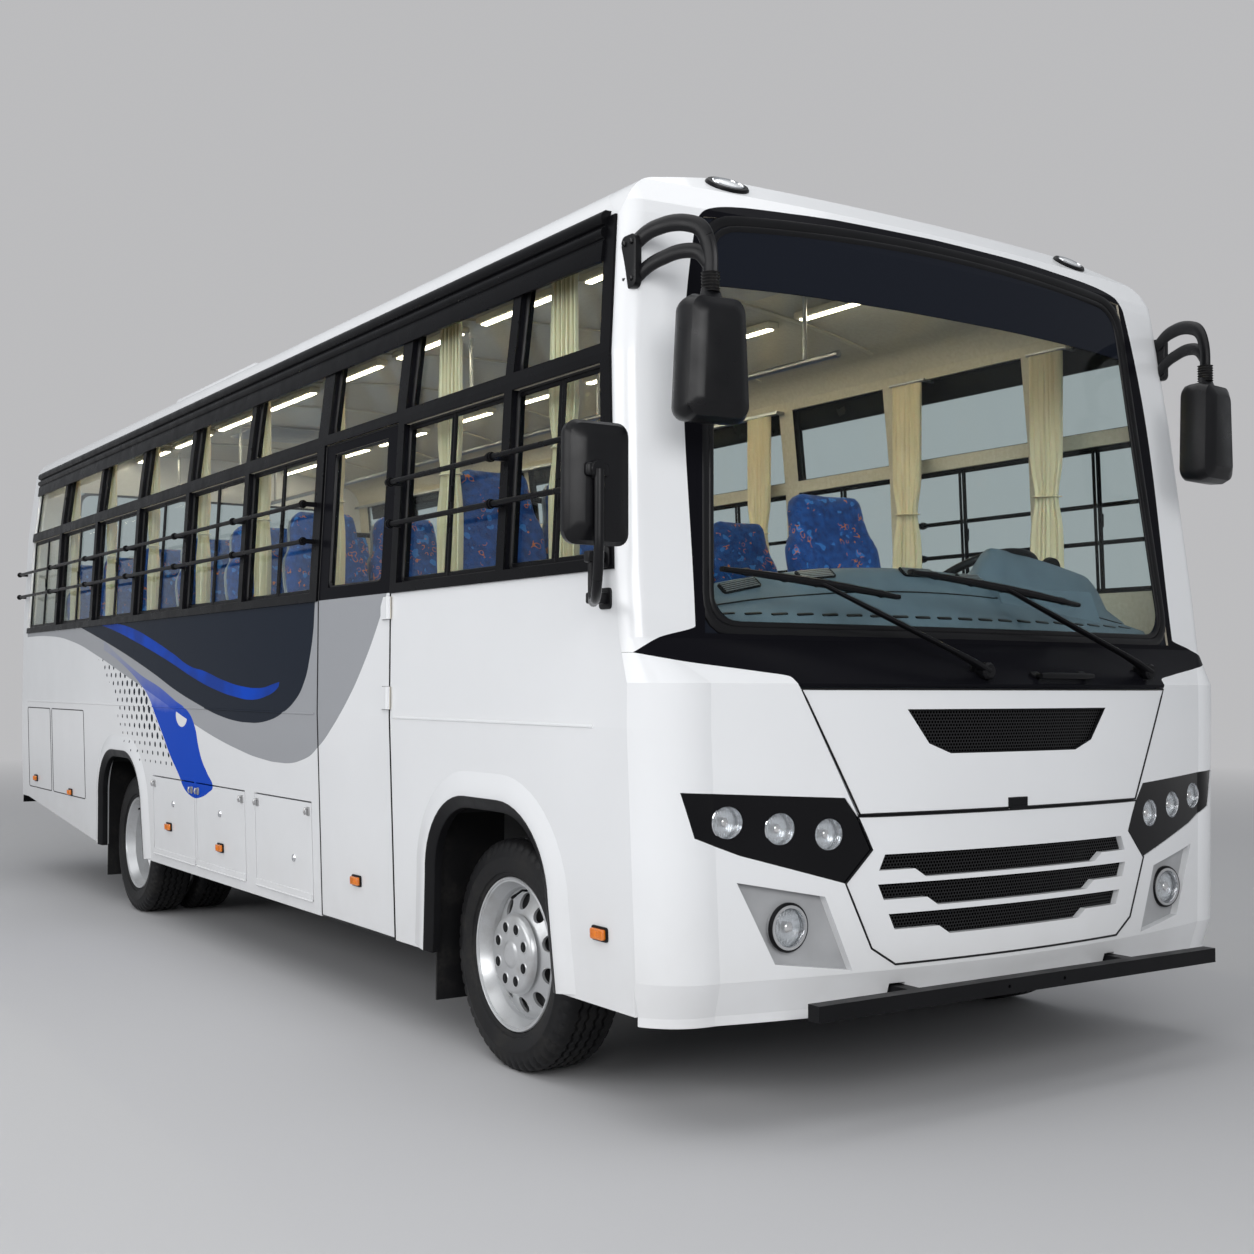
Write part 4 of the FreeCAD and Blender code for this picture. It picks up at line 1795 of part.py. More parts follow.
def make_curtains():
    """Gathered curtains at the rear windows, each side hung from one rail."""
    curtains, rails = [], []
    outer = half_mid - s.wall - s.curtain_in
    rail_z = (s.curtain_high_z + s.fit_gap, s.curtain_high_z + s.fit_gap + s.curtain_rail)
    columns = range(int(s.window_columns.value))
    stations = [at(s.rear_windows_from + s.window_pitch * column) for column in columns]
    for side, tag in ((-1, "right"), (1, "left")):
        x = ordered(side * outer, side * (outer - s.curtain_deep))
        brackets = []
        for column, station in enumerate(stations):
            curtains.append(box("curtain_%s_%d" % (tag, column), x,
                                (station + s.pillar, station + s.pillar + s.curtain_wide),
                                (s.curtain_low_z, s.curtain_high_z)))
            reach = ordered(side * outer, side * half)
            brackets.append(box("bracket_%s_%d" % (tag, column), reach,
                                (station - s.curtain_rail, station + s.curtain_rail), rail_z))
        end = at(s.rear_windows_from + s.window_pitch * s.window_columns)
        bar = box("curtain_rail_" + tag, x, (stations[0] - s.curtain_rail, end), rail_z)
        whole = fuse("curtain_rail_whole_" + tag, bar, *brackets)
        room = envelope("rail_room_" + tag, s.wall + s.fit_gap, (stations[0] - s.pillar, end))
        rails.append(common("curtain_rail_cut_" + tag, whole, room))
    node("curtains", bundle("curtain_set", *curtains))
    node("curtain_rails", bundle("rail_pair", *rails))


for make in (make_walls, make_roof, make_nose, make_glass, make_tail, make_door, make_luggage,
             make_floor, make_chassis, make_wheels, make_axles, make_frames, make_mirrors,
             make_fittings, make_seats, make_cab, make_curtains):
    make()
doc.recompute()


def failed(item):
    """Whether an object was left invalid or without a shape."""
    return bool({"Invalid", "Error"} & set(item.State))


bad = [item.Name for item in doc.Objects if failed(item)]
for item in NODES:
    shape = item.Shape
    if shape.isNull() or not shape.isValid() or not shape.Solids:
        bad.append(item.Label)
        continue
    print("%-28s %d solids %9.1f l" % (item.Label, len(shape.Solids), shape.Volume / 1e6))
if bad:
    raise RuntimeError("failed: " + ", ".join(bad))
for item in NODES:
    item.Shape.exportStep("parts/%s.step" % item.Label)
print(len(NODES), "nodes")
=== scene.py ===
"""Looks of a midi coach: paint, glass, lamps, tyres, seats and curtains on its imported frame."""

from functools import partialmethod, reduce
import json
import math

import bmesh
import bpy
from bpy.props import FloatProperty, FloatVectorProperty, IntProperty, PointerProperty
from mathutils import Matrix, Vector
from mathutils.bvhtree import BVHTree

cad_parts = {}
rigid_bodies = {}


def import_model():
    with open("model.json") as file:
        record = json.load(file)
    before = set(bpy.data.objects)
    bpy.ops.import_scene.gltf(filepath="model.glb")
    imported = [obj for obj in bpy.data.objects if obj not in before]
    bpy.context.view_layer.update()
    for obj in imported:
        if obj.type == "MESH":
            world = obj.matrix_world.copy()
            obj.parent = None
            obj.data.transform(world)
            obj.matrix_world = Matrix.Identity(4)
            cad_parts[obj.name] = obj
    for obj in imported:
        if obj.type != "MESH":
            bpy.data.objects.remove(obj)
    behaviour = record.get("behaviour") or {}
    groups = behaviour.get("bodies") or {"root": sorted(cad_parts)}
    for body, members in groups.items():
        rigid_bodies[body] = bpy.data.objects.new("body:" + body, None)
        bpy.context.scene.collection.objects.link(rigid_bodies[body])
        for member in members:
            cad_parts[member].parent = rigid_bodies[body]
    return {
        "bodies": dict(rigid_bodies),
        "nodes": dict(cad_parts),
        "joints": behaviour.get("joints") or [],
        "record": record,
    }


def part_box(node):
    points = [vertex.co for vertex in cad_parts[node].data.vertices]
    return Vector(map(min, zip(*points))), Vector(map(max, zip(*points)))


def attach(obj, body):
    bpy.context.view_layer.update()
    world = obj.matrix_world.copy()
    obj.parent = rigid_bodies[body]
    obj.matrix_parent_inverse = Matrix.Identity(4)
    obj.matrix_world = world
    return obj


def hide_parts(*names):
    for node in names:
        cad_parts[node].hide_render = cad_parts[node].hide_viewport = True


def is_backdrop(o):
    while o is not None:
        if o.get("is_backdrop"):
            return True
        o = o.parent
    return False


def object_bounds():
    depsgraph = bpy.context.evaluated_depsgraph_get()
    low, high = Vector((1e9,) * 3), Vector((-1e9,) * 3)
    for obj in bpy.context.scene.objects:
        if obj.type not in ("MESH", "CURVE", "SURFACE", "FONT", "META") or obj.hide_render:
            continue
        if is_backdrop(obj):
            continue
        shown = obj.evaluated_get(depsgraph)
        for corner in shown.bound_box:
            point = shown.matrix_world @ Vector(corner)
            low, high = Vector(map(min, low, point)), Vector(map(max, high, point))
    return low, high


bl_info = {
    "name": "Midi Coach Dressing",
    "version": (1, 0, 0),
    "blender": (4, 5, 0),
    "location": "View3D > Sidebar > Coach",
    "description": "Dresses the frame of a midi coach with paint, glass, lamps and fabric",
    "category": "Object",
}

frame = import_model()
cad_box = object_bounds()
NODES = frame["nodes"]

# the coach's middle plane and axles in the frame
MIDDLE = (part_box("side_wall_right")[0].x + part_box("side_wall_left")[1].x) / 2
WHEEL = {name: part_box(name) for name in
         ("front_tyre_right", "front_tyre_left", "rear_tyres_right", "rear_tyres_left")}


def centre(box):
    """Middle of a box given by its corners."""
    return Vector([(low + high) / 2 for low, high in zip(*box)])


FRONT_AXLE = centre(WHEEL["front_tyre_right"]).y
REAR_AXLE = centre(WHEEL["rear_tyres_right"]).y
TYRE_WIDE = WHEEL["front_tyre_right"][1].x - WHEEL["front_tyre_right"][0].x
BEAD_RADIUS = 0.2405
SIDES = (("right", -1), ("left", 1))

# half widths of the windscreen at its foot and head, and the stations of the window pillars
SCREEN_FOOT, SCREEN_HEAD = 1.015, 0.925
DOOR_PILLAR, WINDOW_PITCH, FRONT_PILLAR, FRONT_POST = 1.40, 0.822, -0.12, -0.644
REAR_PILLARS = [DOOR_PILLAR + WINDOW_PITCH * number for number in range(6)]


# Settings
def colour_field(name, description, default):
    """A colour that a user would change."""
    return FloatVectorProperty(name=name, description=description, default=default, size=3,
                               subtype="COLOR", min=0, max=1)


def length_field(name, description, default, low=0.0):
    """A length that a user would change."""
    return FloatProperty(name=name, description=description, default=default, min=low,
                         unit="LENGTH")


def angle_field(name, description, degrees):
    """An angle that a user would change."""
    return FloatProperty(name=name, description=description, default=math.radians(degrees),
                         unit="ROTATION")


class PaintSettings(bpy.types.PropertyGroup):
    """Colours of the body's paint and of its swooshes."""
    body: colour_field("Body", "Colour of the body's gloss paint", (0.80, 0.81, 0.825))
    silver: colour_field("Silver Swoosh", "Colour of the wide silver swoosh",
                         (0.315, 0.325, 0.345))
    dark: colour_field("Dark Swoosh", "Colour of the dark swoosh", (0.014, 0.019, 0.030))
    blue: colour_field("Blue Swoosh", "Colour of the blue ribbons", (0.001, 0.058, 0.48))
    dot_pitch: length_field("Dot Pitch", "Spacing of the halftone dots", 0.062, 0.01)


class GlassSettings(bpy.types.PropertyGroup):
    """Tint of the panes."""
    tint: colour_field("Tint", "Colour that the panes give to what lies behind",
                       (0.76, 0.83, 0.83))


class StageSettings(bpy.types.PropertyGroup):
    """Camera, floor and light."""
    lens: FloatProperty(name="Focal Length", description="Focal length on a 36 mm wide picture",
                        default=44.242, min=1)
    camera_place: FloatVectorProperty(name="Camera Place", description="Where the camera stands",
                                      default=(-3.4698, -6.9825, 1.2304), size=3, unit="LENGTH")
    camera_yaw: angle_field("Yaw", "Turn of the camera from straight along the coach", 33.70)
    camera_pitch: angle_field("Pitch", "Upward tilt of the camera", 2.14)
    camera_roll: angle_field("Roll", "Roll of the camera", 0.20)
    floor_colour: colour_field("Floor", "Colour of the floor and backdrop", (0.50, 0.50, 0.51))


# Building
def meshes(count):
    """A number of empty bmeshes."""
    return [bmesh.new() for number in range(count)]


def build(name, mesh, material=None, body="coach", smooth=True):
    """Turn a bmesh into an object at the origin, smooth and riding on the coach unless told."""
    data = bpy.data.meshes.new(name)
    mesh.to_mesh(data)
    mesh.free()
    piece = bpy.data.objects.new(name, data)
    bpy.context.collection.objects.link(piece)
    if smooth:
        for face in data.polygons:
            face.use_smooth = True
        data.set_sharp_from_angle(angle=math.radians(35))
    if material:
        data.materials.append(FINISH[material])
    if body:
        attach(piece, body)
    return piece


# Materials
class Tree:
    """The nodes of a material or a world."""

    def __init__(self, holder):
        holder.use_nodes = True
        self.nodes, self.links = holder.node_tree.nodes, holder.node_tree.links

    def feed(self, socket, value):
        """Link a socket to another one, or give it a plain value."""
        if isinstance(value, bpy.types.NodeSocket):
            self.links.new(value, socket)
        elif hasattr(socket.default_value, "__len__") and len(socket.default_value) == 4:
            socket.default_value = (*value, 1) if len(value) == 3 else value
        else:
            socket.default_value = value

    def add(self, kind, *values, **named):
        """A node with its settings in small letters and its sockets in their order or by name."""
        node = self.nodes.new("ShaderNode" + kind)
        for name in [name for name in named if name.islower()]:
            setattr(node, name, named.pop(name))
        for key, value in [*enumerate(values), *named.items()]:
            self.feed(node.inputs[key], value)
        return node

    def math(self, operation, first, second=0.0, third=0.0):
        """One sum on numbers."""
        return self.add("Math", first, second, third, operation=operation).outputs[0]

    plus = partialmethod(math, "ADD")
    minus = partialmethod(math, "SUBTRACT")
    times = partialmethod(math, "MULTIPLY")
    most = partialmethod(math, "MAXIMUM")
    over = partialmethod(math, "GREATER_THAN")
    under = partialmethod(math, "LESS_THAN")
    no = partialmethod(math, "SUBTRACT", 1.0)

    def far(self, across, up):
        """Length of a line with two legs."""
        legs = [self.math("POWER", leg, 2.0) for leg in (across, up)]
        return self.math("SQRT", self.plus(*legs))

    def both(self, *masks):
        """Where every mask is on."""
        return reduce(self.times, masks)

    def between(self, value, low, high):
        """1 where a value lies between two others."""
        return self.both(self.over(value, low), self.under(value, high))


class Shader(Tree):
    """A material with one Principled surface."""

    def __init__(self, name):
        self.material = bpy.data.materials.new(name)
        super().__init__(self.material)
        self.nodes.clear()
        self.output, self.surface = self.add("OutputMaterial"), self.add("BsdfPrincipled")
        self.links.new(self.surface.outputs[0], self.output.inputs[0])
        where = self.add("TexCoord").outputs
        self.place, self.normal = where["Object"], where["Normal"]

    def put(self, **values):
        """Set inputs of the Principled surface, underscores standing for spaces."""
        for name, value in values.items():
            self.feed(self.surface.inputs[name.replace("_", " ")], value)
        return self

    def split(self, vector):
        """The three parts of a vector."""
        return self.add("SeparateXYZ", vector).outputs

    def join(self, x, y, z):
        """A vector of three numbers."""
        return self.add("CombineXYZ", x, y, z).outputs[0]

    def blend(self, share, low, high):
        """Colour that goes from low to high."""
        node = self.add("Mix", share, data_type="RGBA")
        for socket, colour in zip(node.inputs[6:8], (low, high)):
            self.feed(socket, colour)
        return node.outputs[2]

    def noise(self, scale, detail=3.0, where=None):
        """Cloudy noise between 0 and 1."""
        return self.add("TexNoise", Vector=where or self.place, Scale=scale,
                        Detail=detail).outputs["Fac"]

    def cells(self, scale, where=None, feature="F1", spread=1.0):
        """Distance in a field of cells."""
        return self.add("TexVoronoi", feature=feature, Vector=where or self.place, Scale=scale,
                        Randomness=spread).outputs["Distance"]

    def span(self, value, low, high, to_low=0.0, to_high=1.0):
        """Straight change of range, held at its ends."""
        return self.add("MapRange", value, low, high, to_low, to_high).outputs[0]

    def curve(self, value, points):
        """Smooth line through points, its first and last value held past its ends."""
        xs, ys = [p[0] for p in points], [p[1] for p in points]
        left, right, low, high = min(xs), max(xs), min(ys), max(ys)
        node = self.add("FloatCurve")
        line = node.mapping.curves[0]
        spots = sorted(((x - left) / (right - left), (y - low) / (high - low)) for x, y in points)
        line.points[0].location, line.points[1].location = spots[0], spots[-1]
        for spot in spots[1:-1]:
            line.points.new(*spot)
        node.mapping.update()
        self.links.new(self.span(value, left, right), node.inputs["Value"])
        return self.span(node.outputs[0], 0.0, 1.0, low, high)

    def bump(self, height, distance=0.001, strength=0.5):
        """Relief from a height."""
        relief = self.add("Bump", Strength=strength, Distance=distance, Height=height)
        return self.put(Normal=relief.outputs[0])


def shade(colour, factor):
    """A colour made lighter or darker."""
    return tuple(part * factor for part in colour)


def body_marks(shader):
    """Coordinates of the coach: off the middle, behind the front axle, up, and the inner faces."""
    x, y, z = shader.split(shader.place)
    face_x, face_y, face_z = shader.split(shader.normal)
    off, along = shader.minus(x, MIDDLE), shader.minus(y, FRONT_AXLE)
    down = shader.both(shader.under(face_z, -0.3), shader.over(z, 1.9))
    inner = shader.most(shader.under(shader.times(off, face_x), -0.35), down)
    return off, along, z, inner


SILVER_LOW = ((0.66, 1.70), (0.71, 1.565), (0.80, 1.431), (0.91, 1.303), (1.04, 1.18),
              (1.21, 1.057), (1.34, 0.985), (1.5, 0.928), (1.7, 0.904), (1.99, 0.913),
              (2.27, 0.943), (2.57, 0.987), (2.82, 1.033), (3.49, 1.172), (4.05, 1.284),
              (4.56, 1.385), (5.07, 1.47), (5.57, 1.515), (6.47, 1.524))
DARK_LOW = ((1.375, 1.60), (1.39, 1.448), (1.42, 1.348), (1.48, 1.237), (1.57, 1.165),
            (1.71, 1.11), (1.86, 1.077), (2.04, 1.061), (2.23, 1.063), (2.49, 1.085),
            (2.77, 1.13), (3.08, 1.187), (3.5, 1.282), (3.96, 1.378), (4.41, 1.463),
            (4.94, 1.556))
RIBBON_HIGH = ((1.75, 1.236), (1.8, 1.23), (1.98, 1.21), (2.19, 1.217), (2.43, 1.243),
               (2.73, 1.29), (2.86, 1.303), (3.17, 1.374), (3.51, 1.45), (3.87, 1.518),
               (4.16, 1.55), (4.52, 1.56))
RIBBON_LOW = ((1.75, 1.234), (1.77, 1.211), (1.89, 1.178), (2.07, 1.16), (2.29, 1.172),
              (2.56, 1.204), (2.85, 1.255), (3.17, 1.324), (3.51, 1.392), (3.87, 1.458),
              (4.11, 1.5), (4.52, 1.559))
TAIL_FRONT = ((0.689, 2.84), (0.70, 2.76), (0.727, 2.66), (0.754, 2.6), (0.814, 2.67),
              (0.869, 2.74), (0.939, 2.79), (1.021, 2.83), (1.092, 2.92), (1.149, 3.14),
              (1.205, 3.36), (1.276, 3.72), (1.463, 4.41))
TAIL_BACK = ((0.689, 2.86), (0.70, 2.94), (0.723, 3.01), (0.792, 3.1), (0.874, 3.22),
             (0.97, 3.33), (1.07, 3.45), (1.146, 3.54), (1.21, 3.67), (1.332, 4.05),
             (1.413, 4.41))


DOTS_BACK = ((0.80, 3.62), (0.86, 3.86), (0.96, 4.1), (1.11, 4.14), (1.25, 4.32), (1.38, 4.56))
DOTS_SIZE = ((0.80, 0.35), (0.95, 0.8), (1.1, 1.0), (1.25, 0.9), (1.36, 0.55))


def livery(shader, colour, along, z, settings):
    """Silver, dark and blue swooshes with fading dots along the side."""
    def band(low, high=None):
        """Above one line, and below another if there is one."""
        ends = [place for place, height in low]
        mask = shader.over(z, shader.curve(along, low))
        if high:
            mask = shader.both(mask, shader.under(z, shader.curve(along, high)))
        return shader.both(mask, shader.between(along, min(ends), max(ends)))

    silver = band(SILVER_LOW)
    colour = shader.blend(silver, colour, settings.silver)
    back = shader.curve(z, TAIL_BACK)
    tail = shader.both(shader.between(along, shader.curve(z, TAIL_FRONT), back),
                       shader.between(z, 0.689, 1.463))
    fade = shader.span(shader.plus(z, shader.times(shader.noise(9.0), 0.08)), 1.13, 1.45, 1.0, 0.12)
    colour = shader.blend(shader.both(tail, fade), colour, settings.blue)
    turned = shader.join(shader.plus(along, z), shader.minus(z, along), 0.0)
    cell = shader.cells(1 / (settings.dot_pitch * math.sqrt(2)), turned, spread=0.0)
    past = shader.minus(along, back)
    size = shader.times(shader.span(past, 0.0, 0.75, 0.36, 0.12), shader.curve(z, DOTS_SIZE))
    dots = shader.both(shader.over(past, 0.01), shader.under(along, shader.curve(z, DOTS_BACK)),
                       shader.between(z, 0.80, 1.36), shader.under(cell, size), shader.no(silver))
    colour = shader.blend(dots, colour, settings.dark)
    eye = shader.far(shader.math("DIVIDE", shader.minus(along, 3.03), 0.085),
                     shader.math("DIVIDE", shader.minus(z, 1.075), 0.055))
    colour = shader.blend(shader.both(shader.under(eye, 1.0), shader.no(silver)), colour,
                          settings.body)
    colour = shader.blend(band(DARK_LOW), colour, settings.dark)
    streak = shader.span(shader.noise(3.0, 2.0, shader.join(0.0, along, z)), 0.4, 0.62, 0.55, 1.0)
    return shader.blend(shader.both(band(RIBBON_LOW, RIBBON_HIGH), streak), colour, settings.blue)


PANEL_LOW = ((0.0, 1.2225), (0.785, 1.2225), (0.80, 1.235), (0.815, 1.256), (0.9, 1.268),
             (1.157, 1.301), (1.236, 1.318))
PANEL_HIGH = ((0.0, 1.42), (1.0, 1.42), (1.05, 1.39), (1.157, 1.362), (1.236, 1.319))
SCREEN_FRAME = ((1.34, 1.045), (1.38, 1.045), (2.56, 0.958), (2.60, 0.94), (2.63, 0.90),
                (2.668, 0.60), (2.684, 0.0))


def paint(name, kind="plain"):
    """Gloss paint: side with swooshes, nose with its black panel, or plain, trim inside."""
    settings = bpy.context.scene.coach_paint
    shader = Shader(name)
    off, along, z, inner = body_marks(shader)
    colour = shader.blend(shader.span(shader.noise(1.7, 4.0), 0.3, 0.7), settings.body,
                          shade(settings.body, 0.965))
    dust = shader.both(shader.span(z, 0.3, 0.75, 0.3, 0.0), shader.noise(6.0, 5.0))
    colour = shader.blend(dust, colour, (0.42, 0.39, 0.35))
    black = 0.0
    if kind == "side":
        colour = livery(shader, colour, along, z, settings)
        black = shader.both(shader.over(z, 1.5535), shader.over(along, -0.16))
    elif kind == "nose":
        wide = shader.math("ABSOLUTE", off)
        panel = shader.between(z, shader.curve(wide, PANEL_LOW), shader.curve(wide, PANEL_HIGH))
        frame = shader.both(shader.under(wide, shader.curve(z, SCREEN_FRAME)),
                            shader.between(z, 1.34, 2.684), shader.under(along, -0.5))
        black = shader.most(shader.both(panel, shader.under(along, -0.65)), frame)
    colour = shader.blend(black, colour, (0.006, 0.006, 0.008))
    pale = shader.split(colour)[0]
    inner = shader.both(inner, shader.over(z, 0.9 if kind == "side" else 1.34))
    trim = shader.blend(shader.span(shader.noise(60.0), 0.35, 0.65), (0.56, 0.51, 0.41),
                        (0.62, 0.57, 0.46))
    rough = shader.math("MULTIPLY_ADD", inner, 0.3,
                        shader.span(shader.noise(4.0), 0.3, 0.7, 0.2, 0.27))
    shader.put(Base_Color=shader.blend(inner, colour, trim), Roughness=rough, Coat_Roughness=0.04,
               Coat_Weight=shader.span(pale, 0.1, 0.6, 0.0, 0.4),
               Specular_IOR_Level=shader.span(pale, 0.1, 0.6, 0.02, 0.4))
    return shader.bump(shader.noise(260.0, 1.0), 0.00012, 0.35).material


def screen_mask(shader):
    """Dark header band and fired edge with round corners of the windscreen."""
    off, along, z, inner = body_marks(shader)
    wide = shader.math("ABSOLUTE", off)
    band = shader.over(z, shader.curve(wide, ((0.0, 2.411), (0.45, 2.409), (0.85, 2.398),
                                              (1.0, 2.388))))
    half = shader.span(z, 1.375, 2.6, SCREEN_FOOT, SCREEN_HEAD)
    beside = shader.most(shader.minus(wide, shader.minus(half, 0.125)), 0.0)
    above = shader.most(shader.minus(1.50, z), 0.0)
    return shader.most(band, shader.over(shader.far(beside, above), 0.092))


def glass(name, tint, banded=False):
    """Clear pane that lets the lamps through, on the windscreen with its dark band and edge."""
    shader = Shader(name)
    shader.put(Base_Color=tint, Roughness=0.015, Transmission_Weight=1.0, IOR=1.16)
    lets = shader.add("LightPath").outputs["Is Shadow Ray"]
    if banded:
        mask = screen_mask(shader)
        shader.put(Base_Color=shader.blend(mask, tint, (0.010, 0.012, 0.018)),
                   Transmission_Weight=shader.no(mask))
        lets = shader.both(lets, shader.no(mask))
    either = shader.add("MixShader", lets, shader.surface.outputs[0],
                        shader.add("BsdfTransparent", tint).outputs[0])
    shader.links.new(either.outputs[0], shader.output.inputs[0])
    return shader.material


def plain(name, colour, rough=0.5, grain=180.0, depth=0.0003, vary=0.15, **values):
    """Moulded, cast or painted finish with fine grain and slightly uneven colour and gloss."""
    shader = Shader(name)
    cloud = shader.noise(5.0, 4.0)
    colour = shader.blend(shader.span(cloud, 0.3, 0.7), shade(colour, 1 - vary),
                          shade(colour, 1 + vary))
    shader.put(Base_Color=colour, Roughness=shader.span(
        shader.noise(13.0, 4.0), 0.3, 0.7, max(rough - 0.06, 0.02), min(rough + 0.08, 1)))
    shader.put(**values)
    return shader.bump(shader.noise(grain, 2.0), depth, 0.4).material


def lens(name, colour, ribs=0.0):
    """Coloured lamp lens with fine ribs and painted shade in the troughs between them."""
    shader = Shader(name)
    place = shader.split(shader.place)
    wave = shader.math("SINE", shader.times(place[1], ribs))
    # painted shade: the colour drops to three quarters in the rib troughs, following the bump's wave
    colour = shader.blend(shader.span(wave, -1.0, 1.0), shade(colour, 0.75), colour)
    shader.put(Base_Color=colour, Roughness=0.12, Coat_Weight=1.0, Coat_Roughness=0.03,
               Subsurface_Weight=0.15)
    return shader.bump(wave, 0.0008, 0.6).material


def fluted(name):
    """Clear lamp glass with upright flutes."""
    shader = Shader(name)
    x, y, z = shader.split(shader.place)
    flute = shader.times(shader.math("SINE", shader.times(x, 700.0)),
                        shader.span(shader.math("SINE", shader.times(z, 330.0)),
                                    -1.0, 1.0, 0.4, 1.0))
    shader.put(Base_Color=(0.93, 0.96, 0.98), Roughness=0.05, Transmission_Weight=0.82, IOR=1.45,
               Coat_Weight=0.5, Coat_Roughness=0.02)
    return shader.bump(flute, 0.0012, 0.5).material


def seat_fabric(name):
    """Blue woven seat cover with small orange curls and paler flecks."""
    shader = Shader(name)
    bent = shader.noise(14.0, 2.0)
    curls = shader.cells(42.0, feature="SMOOTH_F1")
    ring = shader.math("ABSOLUTE", shader.minus(curls, 0.34))
    curl = shader.both(shader.under(ring, 0.03), shader.over(bent, 0.57))
    small = shader.both(shader.under(shader.cells(70.0), 0.16),
                        shader.under(bent, 0.46))
    colour = shader.blend(shader.span(shader.noise(40.0, 3.0), 0.35, 0.65),
                          (0.002, 0.034, 0.17), (0.003, 0.068, 0.30))
    colour = shader.blend(shader.over(shader.noise(22.0, 1.0), 0.66), colour,
                          (0.02, 0.16, 0.50))
    colour = shader.blend(small, colour, (0.008, 0.014, 0.07))
    colour = shader.blend(curl, colour, (0.60, 0.17, 0.04))
    shader.put(Base_Color=colour, Roughness=0.85, Sheen_Weight=0.12, Sheen_Roughness=0.4)
    threads = shader.cells(520.0)
    return shader.bump(threads, 0.0006, 0.6).material


def curtain_cloth(name):
    """Cream curtain cloth with fine vertical threads."""
    shader = Shader(name)
    x, y, z = shader.split(shader.place)
    thread = shader.noise(1.0, 2.0, shader.join(shader.times(x, 900.0),
                                                shader.times(y, 900.0),
                                                shader.times(z, 40.0)))
    colour = shader.blend(thread, (0.68, 0.57, 0.36), (0.84, 0.73, 0.51))
    shader.put(Base_Color=colour, Roughness=0.9, Sheen_Weight=0.3, Subsurface_Weight=0.1)
    return shader.bump(thread, 0.0004, 0.5).material


def rubber(name):
    """Tyre or sheet rubber, dusty in cloudy patches."""
    shader = Shader(name)
    dust = shader.both(shader.span(shader.noise(9.0, 5.0), 0.45, 0.75),
                       shader.span(shader.noise(70.0, 3.0), 0.3, 0.7))
    colour = shader.blend(dust, (0.008, 0.008, 0.009), (0.032, 0.030, 0.027))
    shader.put(Base_Color=colour, Roughness=shader.span(dust, 0.0, 1.0, 0.5, 0.8),
               Specular_IOR_Level=0.25)
    return shader.bump(shader.noise(320.0, 3.0), 0.0004, 0.5).material


def wheel_silver(name):
    """Silver wheel enamel with a faint fleck and cloudy patches of dust."""
    shader = Shader(name)
    fleck = shader.cells(900.0)
    colour = shader.blend(shader.span(fleck, 0.0, 0.6), (0.46, 0.47, 0.48), (0.60, 0.61, 0.62))
    colour = shader.blend(shader.span(shader.noise(14.0, 5.0), 0.5, 0.85, 0.0, 0.5), colour,
                          (0.30, 0.28, 0.25))
    shader.put(Base_Color=colour, Metallic=0.55, Roughness=0.33, Coat_Weight=0.3,
               Coat_Roughness=0.1)
    return shader.bump(shader.noise(150.0, 2.0), 0.0002, 0.3).material


def mesh_metal(name, pitch):
    """Black pressed mesh with staggered round holes painted pure black as painted shade."""
    def middle_off(value, size, shift):
        """How far a value is from the middle of its hole, in holes."""
        return shader.minus(shader.math("FRACT", shader.math("MULTIPLY_ADD", value, 1 / size,
                                                             shift)), 0.5)

    shader = Shader(name)
    x, y, z = shader.split(shader.place)
    root = math.sqrt(3)
    rows = [shader.far(middle_off(x, pitch, shift),
                       shader.times(middle_off(z, pitch * root, shift), root))
            for shift in (0.0, 0.5)]
    web = shader.span(shader.math("MINIMUM", *rows), 0.30, 0.38)
    # the holes are painted pure black without gloss, as painted shade of the dark behind them
    shader.put(Base_Color=shader.blend(web, (0.0, 0.0, 0.0), (0.012, 0.012, 0.013)),
               Roughness=0.45, Specular_IOR_Level=shader.span(web, 0.0, 1.0, 0.0, 0.22))
    return shader.bump(web, 0.002, 0.8).material


def floor_cover(name):
    """Grey floor sheet with speckle."""
    shader = Shader(name)
    colour = shader.blend(shader.over(shader.noise(240.0, 1.0), 0.58), (0.16, 0.165, 0.17),
                          (0.30, 0.30, 0.31))
    shader.put(Base_Color=colour, Roughness=0.55)
    return shader.bump(shader.cells(60.0), 0.0008, 0.5).material


def emitter(name, colour, strength):
    """Lit lamp panel."""
    shader = Shader(name)
    colour = shader.blend(shader.span(shader.noise(8.0), 0.3, 0.7), shade(colour, 0.94), colour)
    shader.put(Base_Color=colour, Emission_Color=colour, Emission_Strength=strength)
    return shader.material


FINISH = {}


